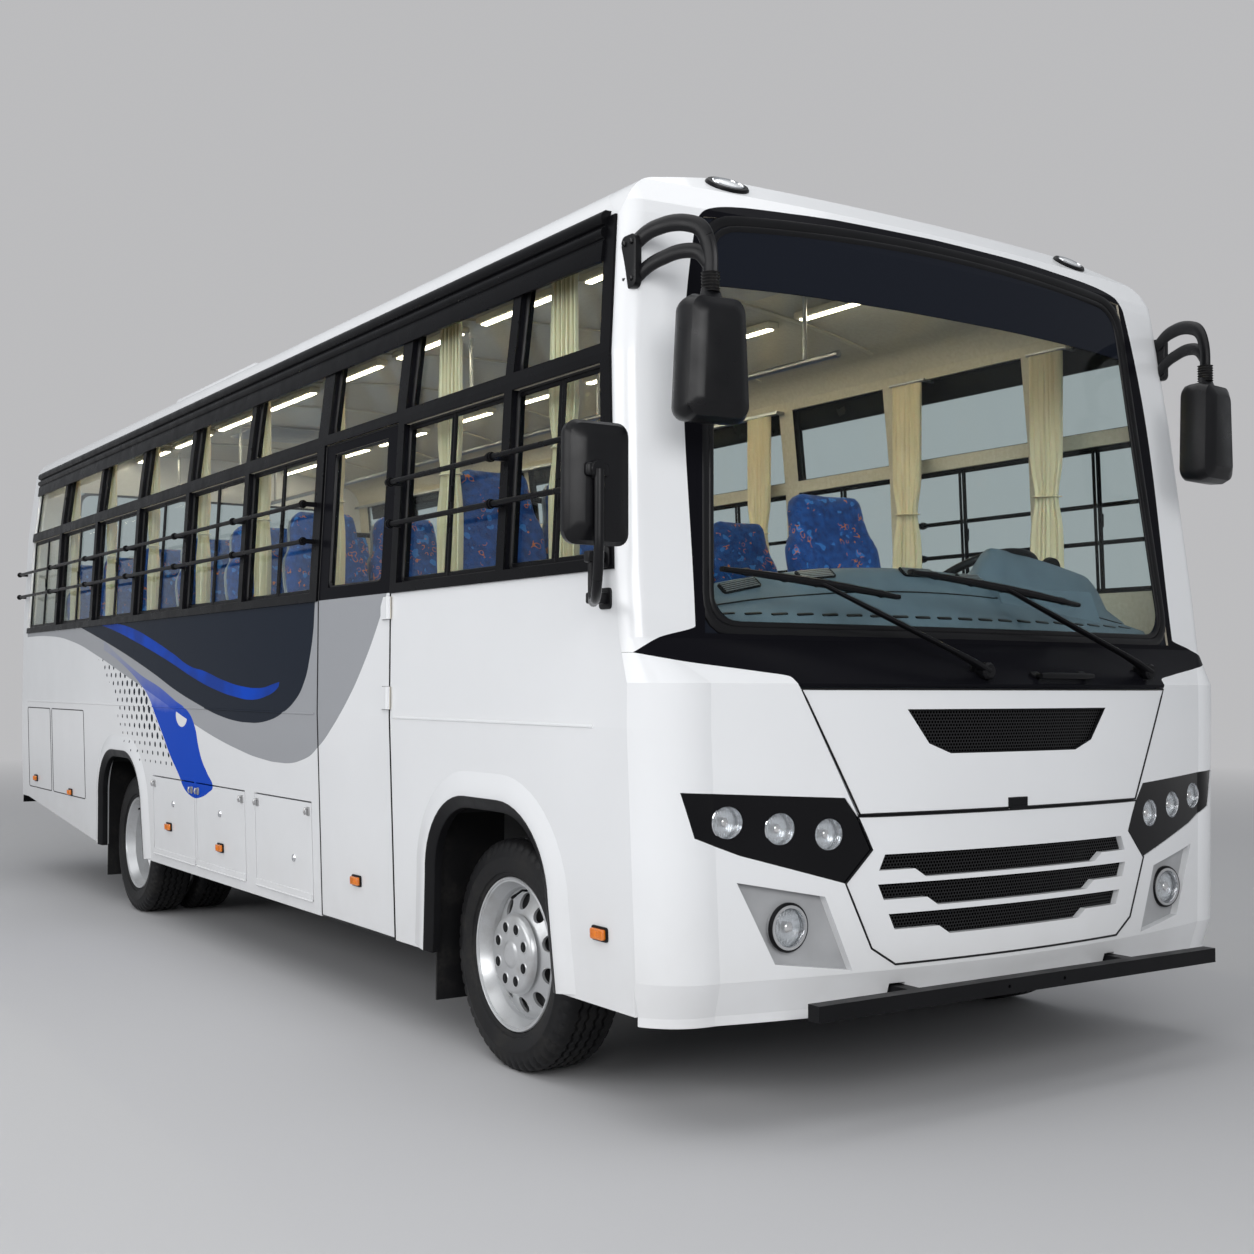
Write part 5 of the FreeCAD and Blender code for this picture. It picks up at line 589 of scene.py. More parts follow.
def make_finishes():
    """All materials by name."""
    tint = tuple(bpy.context.scene.coach_glass.tint)
    made = (
        paint("side_paint", "side"), paint("nose_paint", "nose"), paint("body_paint"),
        paint("roof_paint"), glass("pane", tint), glass("windscreen", tint, banded=True),
        fluted("lamp_glass"), lens("amber_lens", (0.95, 0.24, 0.008), 900.0),
        lens("red_lens", (0.45, 0.006, 0.006), 700.0),
        plain("frosted_lens", (0.72, 0.74, 0.76), 0.18, 240.0, 0.0012, Coat_Weight=1.0,
              Coat_Roughness=0.03),
        plain("reflector", (0.80, 0.81, 0.83), 0.10, 60.0, 0.0008, 0.03, Metallic=1.0),
        plain("bulb", (0.70, 0.70, 0.70), 0.15, 60.0, 0.0004, Metallic=0.8),
        plain("seal_rubber", (0.006, 0.006, 0.007), 0.36, 500.0, 0.0002, Specular_IOR_Level=0.2),
        plain("mirror_black", (0.005, 0.005, 0.006), 0.32, 900.0, 0.0003,
              Specular_IOR_Level=0.25),
        plain("zinc", (0.46, 0.46, 0.46), 0.38, 200.0, 0.0003, Metallic=0.85),
        plain("shell_grey", (0.34, 0.35, 0.36), 0.5, 500.0, 0.0004),
        plain("cream_trim", (0.62, 0.57, 0.46), 0.5, 300.0, 0.0004),
        plain("dial", (0.55, 0.56, 0.55), 0.3, 80.0, 0.0001),
        plain("frame_black", (0.004, 0.004, 0.005), 0.3, 300.0, 0.0001, Specular_IOR_Level=0.08),
        plain("satin_black", (0.005, 0.005, 0.006), 0.4, 500.0, 0.0002, Specular_IOR_Level=0.15),
        plain("lamp_black", (0.003, 0.003, 0.004), 0.14, 60.0, 0.0001, Specular_IOR_Level=0.12,
              Coat_Weight=0.18, Coat_Roughness=0.03),
        plain("fog_grey", (0.36, 0.365, 0.375), 0.4, 400.0, 0.0002),
        plain("chassis_black", (0.02, 0.02, 0.021), 0.6, 90.0, 0.0008, 0.4),
        plain("cast_grey", (0.07, 0.07, 0.072), 0.7, 120.0, 0.001, 0.3),
        plain("bare_alloy", (0.42, 0.43, 0.44), 0.35, 220.0, 0.0002, Metallic=0.9),
        plain("chrome", (0.75, 0.76, 0.78), 0.08, 20.0, 0.00005, 0.03, Metallic=1.0),
        plain("mirror_glass", (0.85, 0.87, 0.88), 0.04, 10.0, 0.00001, 0.01, Metallic=1.0),
        plain("bay_grey", (0.18, 0.18, 0.185), 0.55, 90.0, 0.0004, 0.25),
        plain("dash_grey", (0.105, 0.145, 0.18), 0.5, 700.0, 0.0005),
        plain("tread_plate", (0.30, 0.30, 0.30), 0.4, 60.0, 0.0015, 0.2, Metallic=0.7),
        rubber("tyre"), rubber("flap_rubber"), wheel_silver("wheel_silver"),
        mesh_metal("mesh", 0.011), seat_fabric("seat_fabric"), curtain_cloth("curtain_cloth"),
        floor_cover("floor_cover"), emitter("strip_light", (1.0, 0.85, 0.62), 44.0))
    FINISH.update({material.name.partition(".")[0]: material for material in made})


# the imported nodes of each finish, by the start of their names
NODE_STARTS = {
    "side_paint": "side_wall entry_door luggage_door", "roof_paint": "roof",
    "nose_paint": "nose_shell", "body_paint": "bonnet_flap grille_panel tail_shell roof_pod",
    "windscreen": "windscreen", "pane": "cabin_glass door_glass", "mesh": "bonnet_mesh grille_mesh",
    "lamp_black": "headlamp_units", "fog_grey": "fog_lamp_units", "red_lens": "tail_lamps",
    "amber_lens": "marker_lamps", "frame_black": "window_frames guard_bars",
    "satin_black": "rear_bumper bumper_bar mirrors wipers steering_wheel",
    "chassis_black": "chassis_frame propeller_shaft front_axle seat_frames",
    "cast_grey": "engine rear_axle knuckle", "dash_grey": "engine_cover dashboard",
    "bare_alloy": "fuel_tank curtain_rails", "bay_grey": "luggage_bays", "floor_cover": "floor",
    "tread_plate": "entry_steps", "flap_rubber": "mud_flaps", "tyre": "front_tyre rear_tyres",
    "wheel_silver": "front_wheel rear_wheels", "curtain_cloth": "curtains",
    "seat_fabric": "passenger_seats driver_seat",
}


class COACH_OT_frame_finishes(bpy.types.Operator):
    """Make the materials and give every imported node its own"""
    bl_idname = "coach.frame_finishes"
    bl_label = "Frame Finishes"

    def execute(self, context):
        make_finishes()
        finish_of = {mark: name for name, marks in NODE_STARTS.items() for mark in marks.split()}
        for node, piece in NODES.items():
            mark = max((mark for mark in finish_of if node.startswith(mark)), key=len)
            piece.data.materials.clear()
            piece.data.materials.append(FINISH[finish_of[mark]])
        self.hinge_cover(NODES["bonnet_flap"].data)
        return {"FINISHED"}

    def hinge_cover(self, flap, proud=0.004, half=0.0405, top=0.8925):
        """Black the small cover that stands proud at the foot of the bonnet flap."""
        flap.materials.append(FINISH["satin_black"])
        skin = min(vert.co.y for vert in flap.vertices) + proud
        for face in flap.polygons:
            x, y, z = face.center
            if y < skin and abs(x - MIDDLE) < half and z < top:
                face.material_index = 1


# Shapes
AXES = {"X": Matrix.Rotation(math.pi / 2, 4, "Y"), "Y": Matrix.Rotation(-math.pi / 2, 4, "X"),
        "Z": Matrix.Identity(4)}
AHEAD = Matrix(((1, 0, 0, 0), (0, 0, -1, 0), (0, 1, 0, 0), (0, 0, 0, 1)))
ASTERN = Matrix(((-1, 0, 0, 0), (0, 0, 1, 0), (0, 1, 0, 0), (0, 0, 0, 1)))


def pour(mesh, part):
    """Add one bmesh to another as it is."""
    data = bpy.data.meshes.new("part")
    part.to_mesh(data)
    part.free()
    mesh.from_mesh(data)
    bpy.data.meshes.remove(data)


def merge(mesh, part, place=None):
    """Add one bmesh to another, moved by a matrix, with its faces turned outward."""
    bmesh.ops.remove_doubles(part, verts=part.verts, dist=1e-6)
    bmesh.ops.recalc_face_normals(part, faces=part.faces)
    if place is not None:
        bmesh.ops.transform(part, matrix=place, verts=part.verts)
    pour(mesh, part)


def by(x=0.0, y=0.0, z=0.0):
    """A step across, along and up."""
    return Vector((x, y, z))


def at(x, y, z):
    """Place in the frame of a point off the middle, behind the front axle and up."""
    return by(MIDDLE + x, FRONT_AXLE + y, z)


def spun(profile, steps):
    """A line of (radius, distance along the axis) turned round its own z."""
    part = bmesh.new()
    spots = [part.verts.new((radius, 0, along)) for radius, along in profile]
    edges = [part.edges.new(pair) for pair in lines(spots, False)]
    bmesh.ops.spin(part, geom=spots + edges, cent=(0, 0, 0), axis=(0, 0, 1), angle=math.tau,
                   steps=steps, use_merge=True)
    return part


def lathe(mesh, profile, middle, axis="Y", steps=32, turn=None, flip=1):
    """Turn a line of (radius, distance along the axis) round an axis."""
    part = spun([(radius, along * flip) for radius, along in profile], steps)
    merge(mesh, part, Matrix.Translation(middle) @ (turn or AXES[axis]))


def soften(part, radius, segments=2):
    """Round every edge."""
    if radius:
        bmesh.ops.bevel(part, geom=part.edges[:], offset=radius, segments=segments, profile=0.5,
                        affect="EDGES", material=-1, clamp_overlap=True)


def block(mesh, low, high, bevel=0.0, segments=2):
    """A box between two corners with rounded edges."""
    part = bmesh.new()
    low, high = Vector(low), Vector(high)
    bmesh.ops.create_cube(part, size=1, matrix=Matrix.Diagonal((*(high - low), 1)))
    soften(part, bevel, segments)
    merge(mesh, part, Matrix.Translation((low + high) / 2))


def slab(outline, thick):
    """A flat outline given thickness along its own z."""
    part = bmesh.new()
    face = part.faces.new([part.verts.new((*spot, 0)) for spot in outline])
    made = bmesh.ops.extrude_face_region(part, geom=[face])
    bmesh.ops.translate(part, vec=(0, 0, thick), verts=[
        item for item in made["geom"] if isinstance(item, bmesh.types.BMVert)])
    return part


def plate(mesh, outline, thick, place, bevel=0.0, segments=2):
    """A flat outline given thickness, standing where a matrix puts it."""
    part = slab(outline, thick)
    soften(part, bevel, segments)
    merge(mesh, part, place)


def loft(part, rings):
    """Skin rings of points one to the next and close both ends; faces of the first end."""
    hoops = []
    for spots in rings:
        verts = [part.verts.new(spot) for spot in spots]
        hoops.append([part.edges.new(pair) for pair in lines(verts)])
    for one, two in lines(hoops, False):
        bmesh.ops.bridge_loops(part, edges=one + two)
    ends = [bmesh.ops.contextual_create(part, geom=hoops[end])["faces"] for end in (0, -1)]
    return ends[0]


def round_box(wide, high, radius, steps=5):
    """Outline of a rectangle with round corners."""
    spots = []
    for corner, (sx, sy) in enumerate(((1, 1), (-1, 1), (-1, -1), (1, -1))):
        cx, cy = sx * (wide / 2 - radius), sy * (high / 2 - radius)
        for step in range(steps + 1):
            angle = math.pi / 2 * (corner + step / steps)
            spots.append((cx + radius * math.cos(angle), cy + radius * math.sin(angle)))
    return spots


def tube(mesh, path, radius, sides=10, closed=False, flat=1.0, up=(0, 0, 1)):
    """A bar along a path, round or flattened, with its radius given once or per point."""
    part = bmesh.new()
    path = [Vector(spot) for spot in path]
    radii = radius if hasattr(radius, "__len__") else [radius] * len(path)
    rings = []
    for number, spot in enumerate(path):
        before = path[number - 1] if number or closed else spot
        after = path[(number + 1) % len(path)] if number + 1 < len(path) or closed else spot
        along = (after - before).normalized()
        side = along.cross(Vector(up))
        side = along.cross(by(1, 0.01, 0)) if side.length < 0.05 else side
        side.normalize()
        turn = Matrix((side, side.cross(along) * flat, along)).transposed().to_4x4()
        made = bmesh.ops.create_circle(part, cap_ends=False, segments=sides,
                                       radius=radii[number],
                                       matrix=Matrix.Translation(spot) @ turn)
        rings.append(list({edge for vert in made["verts"] for edge in vert.link_edges}))
    for one, two in zip(rings, rings[1:] + (rings[:1] if closed else [])):
        bmesh.ops.bridge_loops(part, edges=one + two)
    if not closed:
        bmesh.ops.holes_fill(part, edges=rings[0] + rings[-1])
    merge(mesh, part)


def round_corner(start, corner, end, steps):
    """Points of a round bend between two straights."""
    for step in range(steps + 1):
        share = step / steps
        yield start * (1 - share) ** 2 + corner * 2 * share * (1 - share) + end * share ** 2


def rounded(loop, radius, steps=6):
    """A closed line with its corners rounded."""
    path = []
    for number, corner in enumerate(loop):
        before, after = loop[number - 1], loop[(number + 1) % len(loop)]
        one, two = (before - corner).normalized(), (after - corner).normalized()
        if one.dot(two) < -0.96:
            path.append(corner)
        else:
            path += round_corner(corner + one * radius, corner, corner + two * radius, steps)
    return path


def bend(points, radius, steps=6):
    """A path whose inner corners are rounded."""
    points = [Vector(point) for point in points]
    path = [points[0]]
    for before, corner, after in zip(points, points[1:], points[2:]):
        reach = min(radius, (before - corner).length / 2, (after - corner).length / 2)
        start, end = (corner + (other - corner).normalized() * reach for other in (before, after))
        path += round_corner(start, corner, end, steps)
    return path + [points[-1]]


TREES = {}


def hit(node, start, way):
    """Where a line from a point first meets a node or piece, and the facing there."""
    if node not in TREES:
        data = (NODES[node] if node in NODES else bpy.data.objects[node]).data
        TREES[node] = BVHTree.FromPolygons([vert.co for vert in data.vertices],
                                           [face.vertices for face in data.polygons])
    return TREES[node].ray_cast(Vector(start), Vector(way))[:2]


UP, DOWN = (0, 0, 1), (0, 0, -1)
CABIN_AIR, OPEN_AIR = 2.3, 3.4


def traced(node, starts, way, lift=0.0):
    """Places where lines from a row of points first meet a node, lifted back off it."""
    spots = [hit(node, start, way)[0] for start in starts]
    return [spot - Vector(way) * lift for spot in spots if spot]


def stretch(start, end, count):
    """Numbers from a start to an end, in a count of even steps."""
    return [start + (end - start) * step / count for step in range(count + 1)]


def front_skin(x, z, nodes=("nose_shell", "windscreen", "bonnet_flap", "grille_panel",
                            "bonnet_mesh", "headlamp_units", "fog_lamp_units")):
    """The foremost point of the nose off the middle at a height, and its facing."""
    found = [hit(node, (MIDDLE + x, FRONT_AXLE - 3, z), (0, 1, 0)) for node in nodes]
    return min((spot for spot in found if spot[0]), key=lambda spot: spot[0].y)


def side_skin(side, y, z):
    """The outermost point of a side behind the front axle at a height, and its facing."""
    tag = "right" if side < 0 else "left"
    nodes = ["side_wall_" + tag, "window_frames", "nose_shell", "entry_door"] + [
        "luggage_door_%s_%s" % (tag, place) for place in ("first", "second", "third")]
    found = [hit(node, (MIDDLE + side * 3, FRONT_AXLE + y, z), (-side, 0, 0)) for node in nodes]
    return max((spot for spot in found if spot[0]), key=lambda spot: spot[0].x * side,
               default=(None, None))


def facing(place, normal, up=(0, 0, 1)):
    """Matrix that stands a piece on a surface, its own z outward and y upward."""
    normal = Vector(normal).normalized()
    across = Vector(up).cross(normal).normalized()
    turn = Matrix((across, normal.cross(across), normal)).transposed().to_4x4()
    return Matrix.Translation(place) @ turn


def lines(spots, closed=True):
    """Pairs of neighbours along a line of points."""
    return zip(spots, spots[1:] + spots[:1]) if closed else zip(spots, spots[1:])


def rims(node, way, tilt=0.5, side=0):
    """Closed lines round the faces of a node that look one way, of one side or of both."""
    part = bmesh.new()
    part.from_mesh(NODES[node].data)
    bmesh.ops.remove_doubles(part, verts=part.verts, dist=1e-5)
    outer = {face for face in part.faces if face.normal.dot(Vector(way)) > tilt
             and (face.calc_center_median().x - MIDDLE) * side >= 0}
    rim = {edge for edge in part.edges if sum(face in outer for face in edge.link_faces) == 1}
    loops = []
    while rim:
        edge = rim.pop()
        start, spot = edge.verts
        loop = [start.co.copy(), spot.co.copy()]
        while spot is not start:
            edge = next((other for other in spot.link_edges if other in rim), None)
            if edge is None:
                break
            rim.discard(edge)
            spot = edge.other_vert(spot)
            loop.append(spot.co.copy())
        loops.append(loop[:-1])
    part.free()
    return sorted((loop for loop in loops if len(loop) > 3), reverse=True,
                  key=lambda loop: sum((two - one).length for one, two in lines(loop)))


def spread(spots, pitch, closed=True):
    """The same line with points no further apart than a pitch."""
    made = []
    for one, two in lines(spots, closed):
        count = max(1, int((two - one).length / pitch))
        made += [one.lerp(two, step / count) for step in range(count)]
    return made if closed else made + [spots[-1]]


# Tyres and wheels
class WheelSettings(bpy.types.PropertyGroup):
    """Tread and nuts."""
    groove: length_field("Groove Depth", "Depth of the tread grooves", 0.009)
    zigzag: length_field("Zigzag", "Sideways step of the tread grooves", 0.0035)
    lug: length_field("Shoulder Lug", "Depth of the shoulder slots", 0.006)
    pitches: IntProperty(name="Tread Pitches", description="Tread pitches round a tyre",
                         default=54, min=12)
    nuts: IntProperty(name="Nuts", description="Nuts of a wheel", default=8, min=3)
    nut_ring: length_field("Nut Ring", "Radius of the ring of nuts", 0.088, 0.03)


def tread_profile(settings, wide, tall, bead):
    """Line of a tyre from one bead over the tread to the other, with kinds of its points."""
    half = wide / 2
    crown = half - 0.027
    line = [(bead - 0.002, -half + 0.036, ""), (bead + 0.008, -half + 0.020, ""),
            (bead + 0.018, -half + 0.016, ""), (bead + 0.021, -half + 0.010, ""),
            (bead + 0.040, -half + 0.003, ""), (bead + 0.062, -half, ""),
            (bead + 0.066, -half - 0.0005, ""), (bead + 0.069, -half + 0.001, ""),
            (tall - 0.038, -half + 0.005, ""), (tall - 0.026, -half + 0.008, "lug"),
            (tall - 0.013, -half + 0.014, "lug"), (tall - 0.004, -crown - 0.004, "lug"),
            (tall - 0.001, -crown + 0.008, "rib")]
    for groove in (-0.048, -0.017, 0.017, 0.048):
        line += [(tall - 0.0005, groove - 0.006, "zig"),
                 (tall - settings.groove, groove - 0.0035, "zig"),
                 (tall - settings.groove, groove + 0.0035, "zig"),
                 (tall - 0.0005, groove + 0.006, "zig")]
        if groove < 0.04:
            line.append((tall, groove + 0.0155, "rib"))
    return line + [(radius, -along, kind) for radius, along, kind in reversed(line[:13])]


def treaded_tyre(mesh, settings, middle, wide, tall, bead):
    """One tyre with zigzag grooves and slotted shoulders, turned about the axle line."""
    line = tread_profile(settings, wide, tall, bead)
    steps = settings.pitches * 4
    part = spun([spot[:2] for spot in line], steps)
    bmesh.ops.remove_doubles(part, verts=part.verts, dist=1e-6)
    kinds = {(round(radius, 5), round(along, 5)): kind for radius, along, kind in line}
    lugs = []
    for vert in part.verts:
        radius = math.hypot(vert.co.x, vert.co.y)
        kind = kinds.get((round(radius, 5), round(vert.co.z, 5)), "")
        step = round(math.atan2(vert.co.y, vert.co.x) / math.tau * steps) % 4
        if kind == "zig":
            vert.co.z += settings.zigzag * (1 if step < 2 else -1)
        elif kind == "lug" and step == 3:
            lugs.append(vert)
    for vert in lugs:
        shrink = 1 - settings.lug / math.hypot(vert.co.x, vert.co.y)
        vert.co *= by(shrink, shrink, 0.985)
    merge(mesh, part, Matrix.Translation(middle) @ AXES["X"])


def wheel_cover(mesh, settings, middle, side, seat, tall):
    """Flat silver cover of a hub with sockets for the nuts and a raised boss."""
    lathe(mesh, ((0, tall + 0.006), (0.030, tall + 0.006), (0.038, tall + 0.005),
                 (0.043, tall + 0.001), (0.046, tall), (0.112, tall), (0.121, tall - 0.003),
                 (0.127, tall - 0.010), (0.130, tall - 0.020), (0.131, -0.004), (0.0, -0.004)),
          Vector(middle) + by(x=side * seat), "X", 64, flip=side)
    for spot in nut_ring(settings, middle, side, seat + tall):
        lathe(mesh, ((0.0165, -0.003), (0.0165, 0.0016), (0.0190, 0.0022), (0.0220, 0.0),
                     (0.0220, -0.003)), spot, "X", 20, flip=side)


def nut_ring(settings, middle, side, seat):
    """Places of the nuts of a wheel."""
    for number in range(settings.nuts):
        angle = math.tau * (number + 0.5) / settings.nuts
        yield Vector(middle) + Vector((side * seat, settings.nut_ring * math.cos(angle),
                                       settings.nut_ring * math.sin(angle)))


def nuts_in_shaded_sockets(mesh, settings, middle, side, seat):
    """Black discs low in the nut sockets as their painted shade, each with a small dark nut top."""
    for spot in nut_ring(settings, middle, side, seat):
        # black disc filling the socket: painted shade of the recess; then the small nut top
        lathe(mesh, ((0, 0.0006), (0.0166, 0.0006), (0.0166, -0.002), (0, -0.002)), spot, "X", 20,
              flip=side)
        lathe(mesh, ((0, 0.0016), (0.0080, 0.0014), (0.0110, 0.0004), (0, 0.0003)), spot, "X", 6,
              flip=side)


def valve(mesh, middle, side, seat):
    """Valve stem between the disc and the rim."""
    start = Vector(middle) + by(side * (seat - 0.02), 0.0, 0.198)
    tube(mesh, [start, start + by(side * 0.02, 0, 0.002),
                start + by(side * 0.045, 0, -0.012)], 0.004, 8)
    tube(mesh, [start + by(side * 0.043, 0, -0.011),
                start + by(side * 0.058, 0, -0.02)], 0.0052, 8)


class COACH_OT_tyres(bpy.types.Operator):
    """Treaded tyres on all four stations, twins at the rear"""
    bl_idname = "coach.tyres"
    bl_label = "Tyres"

    def execute(self, context):
        settings = context.scene.coach_wheels
        for side, sign in SIDES:
            for node, body in (("front_tyre_" + side, "front_wheel_" + side),
                               ("rear_tyres_" + side, "rear_wheels_" + side)):
                low, high = WHEEL[node]
                middle = (low + high) / 2
                mesh = bmesh.new()
                centres = [low.x + TYRE_WIDE / 2, high.x - TYRE_WIDE / 2]
                for x in centres if high.x - low.x > TYRE_WIDE * 1.5 else centres[:1]:
                    treaded_tyre(mesh, settings, (x, middle.y, middle.z), TYRE_WIDE,
                                 (high.z - low.z) / 2, BEAD_RADIUS)
                piece = build("tread_" + node, mesh, "tyre", body)
                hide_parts(node)
        return {"FINISHED"}


class COACH_OT_wheel_fittings(bpy.types.Operator):
    """Covers, nuts on painted shade in their sockets, rim rings and valves of the wheels"""
    bl_idname = "coach.wheel_fittings"
    bl_label = "Wheel Fittings"

    def execute(self, context):
        settings = context.scene.coach_wheels
        rim, tall = TYRE_WIDE * 0.79 / 2, 0.018
        for side, sign in SIDES:
            for kind, tyre, wheel in (("front", "front_tyre_", "front_wheel_" + side),
                                      ("rear", "rear_tyres_", "rear_wheels_" + side)):
                low, high = WHEEL[tyre + side]
                middle = (low + high) / 2
                middle.x = high.x - TYRE_WIDE / 2 if sign > 0 else low.x + TYRE_WIDE / 2
                face = hit(wheel, middle + by(sign, 0.07, 0), (-sign, 0, 0))[0]
                seat = (face.x - middle.x) * sign
                cover, nuts = meshes(2)
                wheel_cover(cover, settings, middle, sign, seat, tall)
                lathe(cover, ((0.2375, rim - 0.010), (0.2425, rim - 0.006), (0.2450, rim + 0.001),
                              (0.2420, rim + 0.005), (0.2370, rim + 0.003), (0.2350, rim - 0.004),
                              (0.2375, rim - 0.010)), middle, "X", 96, flip=sign)
                build("%s_cover_%s" % (kind, side), cover, "wheel_silver", wheel)
                nuts_in_shaded_sockets(nuts, settings, middle, sign, seat + tall)
                valve(nuts, middle, sign, rim - 0.03)
                # this piece holds the black socket discs of painted shade as well as the nut tops
                # and valves
                build("%s_nuts_%s" % (kind, side), nuts, "satin_black", wheel)
        return {"FINISHED"}


# Nose
HEAD_LAMPS = ((1.010, 0.854), (0.853, 0.832), (0.700, 0.812))
FOG_LAMP = (0.820, 0.558)
LAMP_RADIUS, FOG_RADIUS = 0.044, 0.054


def lamp_faces(node, spots, radius):
    """Give the bowls and glasses of a lamp unit their own finishes."""
    data = NODES[node].data
    for name in ("reflector", "lamp_glass"):
        data.materials.append(FINISH[name])
    for face in data.polygons:
        corners = [data.vertices[vert].co for vert in face.vertices]
        for x, z in [(MIDDLE + side * x, z) for x, z in spots for side in (-1, 1)]:
            far = max(math.hypot(corner.x - x, corner.z - z) for corner in corners)
            if far < radius + 0.001:
                face.material_index = 2 if far < radius - 0.0001 else 1


def lamp_parts(ring, bulb, x, z, radius):
    """Chrome rim and bulb shield of one round lamp that faces ahead, and its place."""
    face = front_skin(x, z, ("headlamp_units", "fog_lamp_units"))[0].y
    spot = by(MIDDLE + x, face, z)
    lathe(ring, ((radius - 0.002, 0.006), (radius - 0.001, -0.002), (radius + 0.001, -0.005),
                 (radius + 0.003, -0.004), (radius + 0.0035, 0.0), (radius + 0.001, 0.006),
                 (radius - 0.002, 0.006)), spot, "Y", 48)
    lathe(bulb, ((0, -0.003), (radius * 0.17, -0.002), (radius * 0.26, 0.001),
                 (radius * 0.29, 0.004), (0.0, 0.004)), spot, "Y", 24)
    return spot


class COACH_OT_front_lamps(bpy.types.Operator):
    """Reflectors, glasses and chrome rims of the headlamps and fog lamps"""
    bl_idname = "coach.front_lamps"
    bl_label = "Front Lamps"

    def execute(self, context):
        lamp_faces("headlamp_units", HEAD_LAMPS, LAMP_RADIUS)
        lamp_faces("fog_lamp_units", (FOG_LAMP,), FOG_RADIUS)
        ring, bulb, dark = meshes(3)
        for side in (-1, 1):
            for x, z in HEAD_LAMPS:
                lamp_parts(ring, bulb, side * x, z, LAMP_RADIUS)
            spot = lamp_parts(ring, bulb, side * FOG_LAMP[0], FOG_LAMP[1], FOG_RADIUS)
            lathe(dark, [(FOG_RADIUS + out, back) for out, back in (
                (0.006, 0.004), (0.006, -0.004), (0.011, -0.006), (0.015, -0.001),
                (0.015, 0.006))], spot, "Y", 48)
        build("lamp_rims", ring, "chrome")
        build("lamp_bulbs", bulb, "bulb")
        build("fog_rings", dark, "satin_black")
        return {"FINISHED"}


def screen_spot(x, z, out=0.0):
    """Place on the windscreen's outer face, lifted off it."""
    place, normal = hit("windscreen", (MIDDLE + x, FRONT_AXLE - 3, z), (0, 1, 0))
    if place is None:
        place, normal = front_skin(x, z)
    return place + by(y=-out)


def screen_line(inset, radius, pitch=0.05, rise=0.045, steps=12):
    """Line round the windscreen inside its edge with round corners, on its surface."""
    low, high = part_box("windscreen")
    foot, head = low.z + inset, high.z - rise - inset
    wide_low, wide_high = SCREEN_FOOT - inset, SCREEN_HEAD - inset
    corners = [by(-wide_low, foot, 0), by(wide_low, foot, 0)]
    corners += [by(wide_high * share, head + rise * (1 - share ** 2), 0)
                for share in stretch(1, -1, steps)]
    line = spread(rounded(corners, radius), pitch)
    return [screen_spot(spot.x, spot.y) for spot in line]


class COACH_OT_screen_rubber(bpy.types.Operator):
    """Double black rubber round the windscreen"""
    bl_idname = "coach.screen_rubber"
    bl_label = "Windscreen Rubber"

    def execute(self, context):
        mesh = bmesh.new()
        tube(mesh, screen_line(0.004, 0.11), 0.017, 12, closed=True, flat=0.55, up=(0, 1, 0))
        tube(mesh, screen_line(0.026, 0.10), 0.010, 10, closed=True, flat=0.6, up=(0, 1, 0))
        build("windscreen_rubber", mesh, "seal_rubber")
        return {"FINISHED"}


def wiper(mesh, rubber, pivot, heel, tip):
    """One wiper: spindle cap, cranked arm, blade bow with its yokes and rubber strip."""
    def blade(share, out):
        """Place along the blade, off the glass."""
        return screen_spot(heel[0] + (tip[0] - heel[0]) * share,
                           heel[1] + (tip[1] - heel[1]) * share, out)

    base = front_skin(*pivot)[0]
    lathe(mesh, ((0, -0.056), (0.020, -0.054), (0.026, -0.046), (0.026, -0.028), (0.018, -0.024),
                 (0.018, -0.004), (0.030, -0.002), (0.030, 0.004), (0, 0.004)), base, "Y", 24)
    start, grip = base + by(y=-0.038), blade(0.5, 0.044)
    knee = start.lerp(grip, 0.22) + by(y=-0.018)
    tube(mesh, [start, start.lerp(knee, 0.5) + by(y=-0.006), knee], [0.022, 0.019, 0.016], 12,
         flat=0.55)
    arm = bend([knee, knee.lerp(grip, 0.7), grip, grip.lerp(blade(0.62, 0.036), 0.8)], 0.05)
    tube(mesh, arm, stretch(0.015, 0.009, len(arm) - 1), 10, flat=0.6)
    tube(rubber, [blade(share, 0.014) for share in stretch(0, 1, 12)], 0.008, 6, flat=1.3,
         up=(0, 1, 0))
    tube(mesh, [blade(share, 0.025) for share in stretch(0, 1, 12)], 0.0075, 8)
    bow = [(share, math.sin(math.pi * share)) for share in stretch(0, 1, 16)]
    tube(mesh, [blade(share, 0.024 + 0.018 * arch ** 0.5) for share, arch in bow],
         [0.006 + 0.007 * arch for share, arch in bow], 8)
    for share in (0.12, 0.32, 0.5, 0.68, 0.88):
        tube(mesh, [blade(share + near, 0.028) for near in (-0.03, 0, 0.03)],
             [0.009, 0.013, 0.009], 8)


class COACH_OT_wipers(bpy.types.Operator):
    """Both wipers with their spindles, arms and blades"""
    bl_idname = "coach.wipers"
    bl_label = "Wipers"

    def execute(self, context):
        mesh, strips = meshes(2)
        for pivot, heel, tip in (((-0.114, 1.275), (-0.326, 1.497), (-0.953, 1.558)),
                                 ((0.704, 1.279), (0.492, 1.499), (-0.268, 1.577))):
            wiper(mesh, strips, pivot, heel, tip)
        piece = build("wiper_arms", mesh, "satin_black")
        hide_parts("wipers")
        build("wiper_rubbers", strips, "flap_rubber")
        return {"FINISHED"}


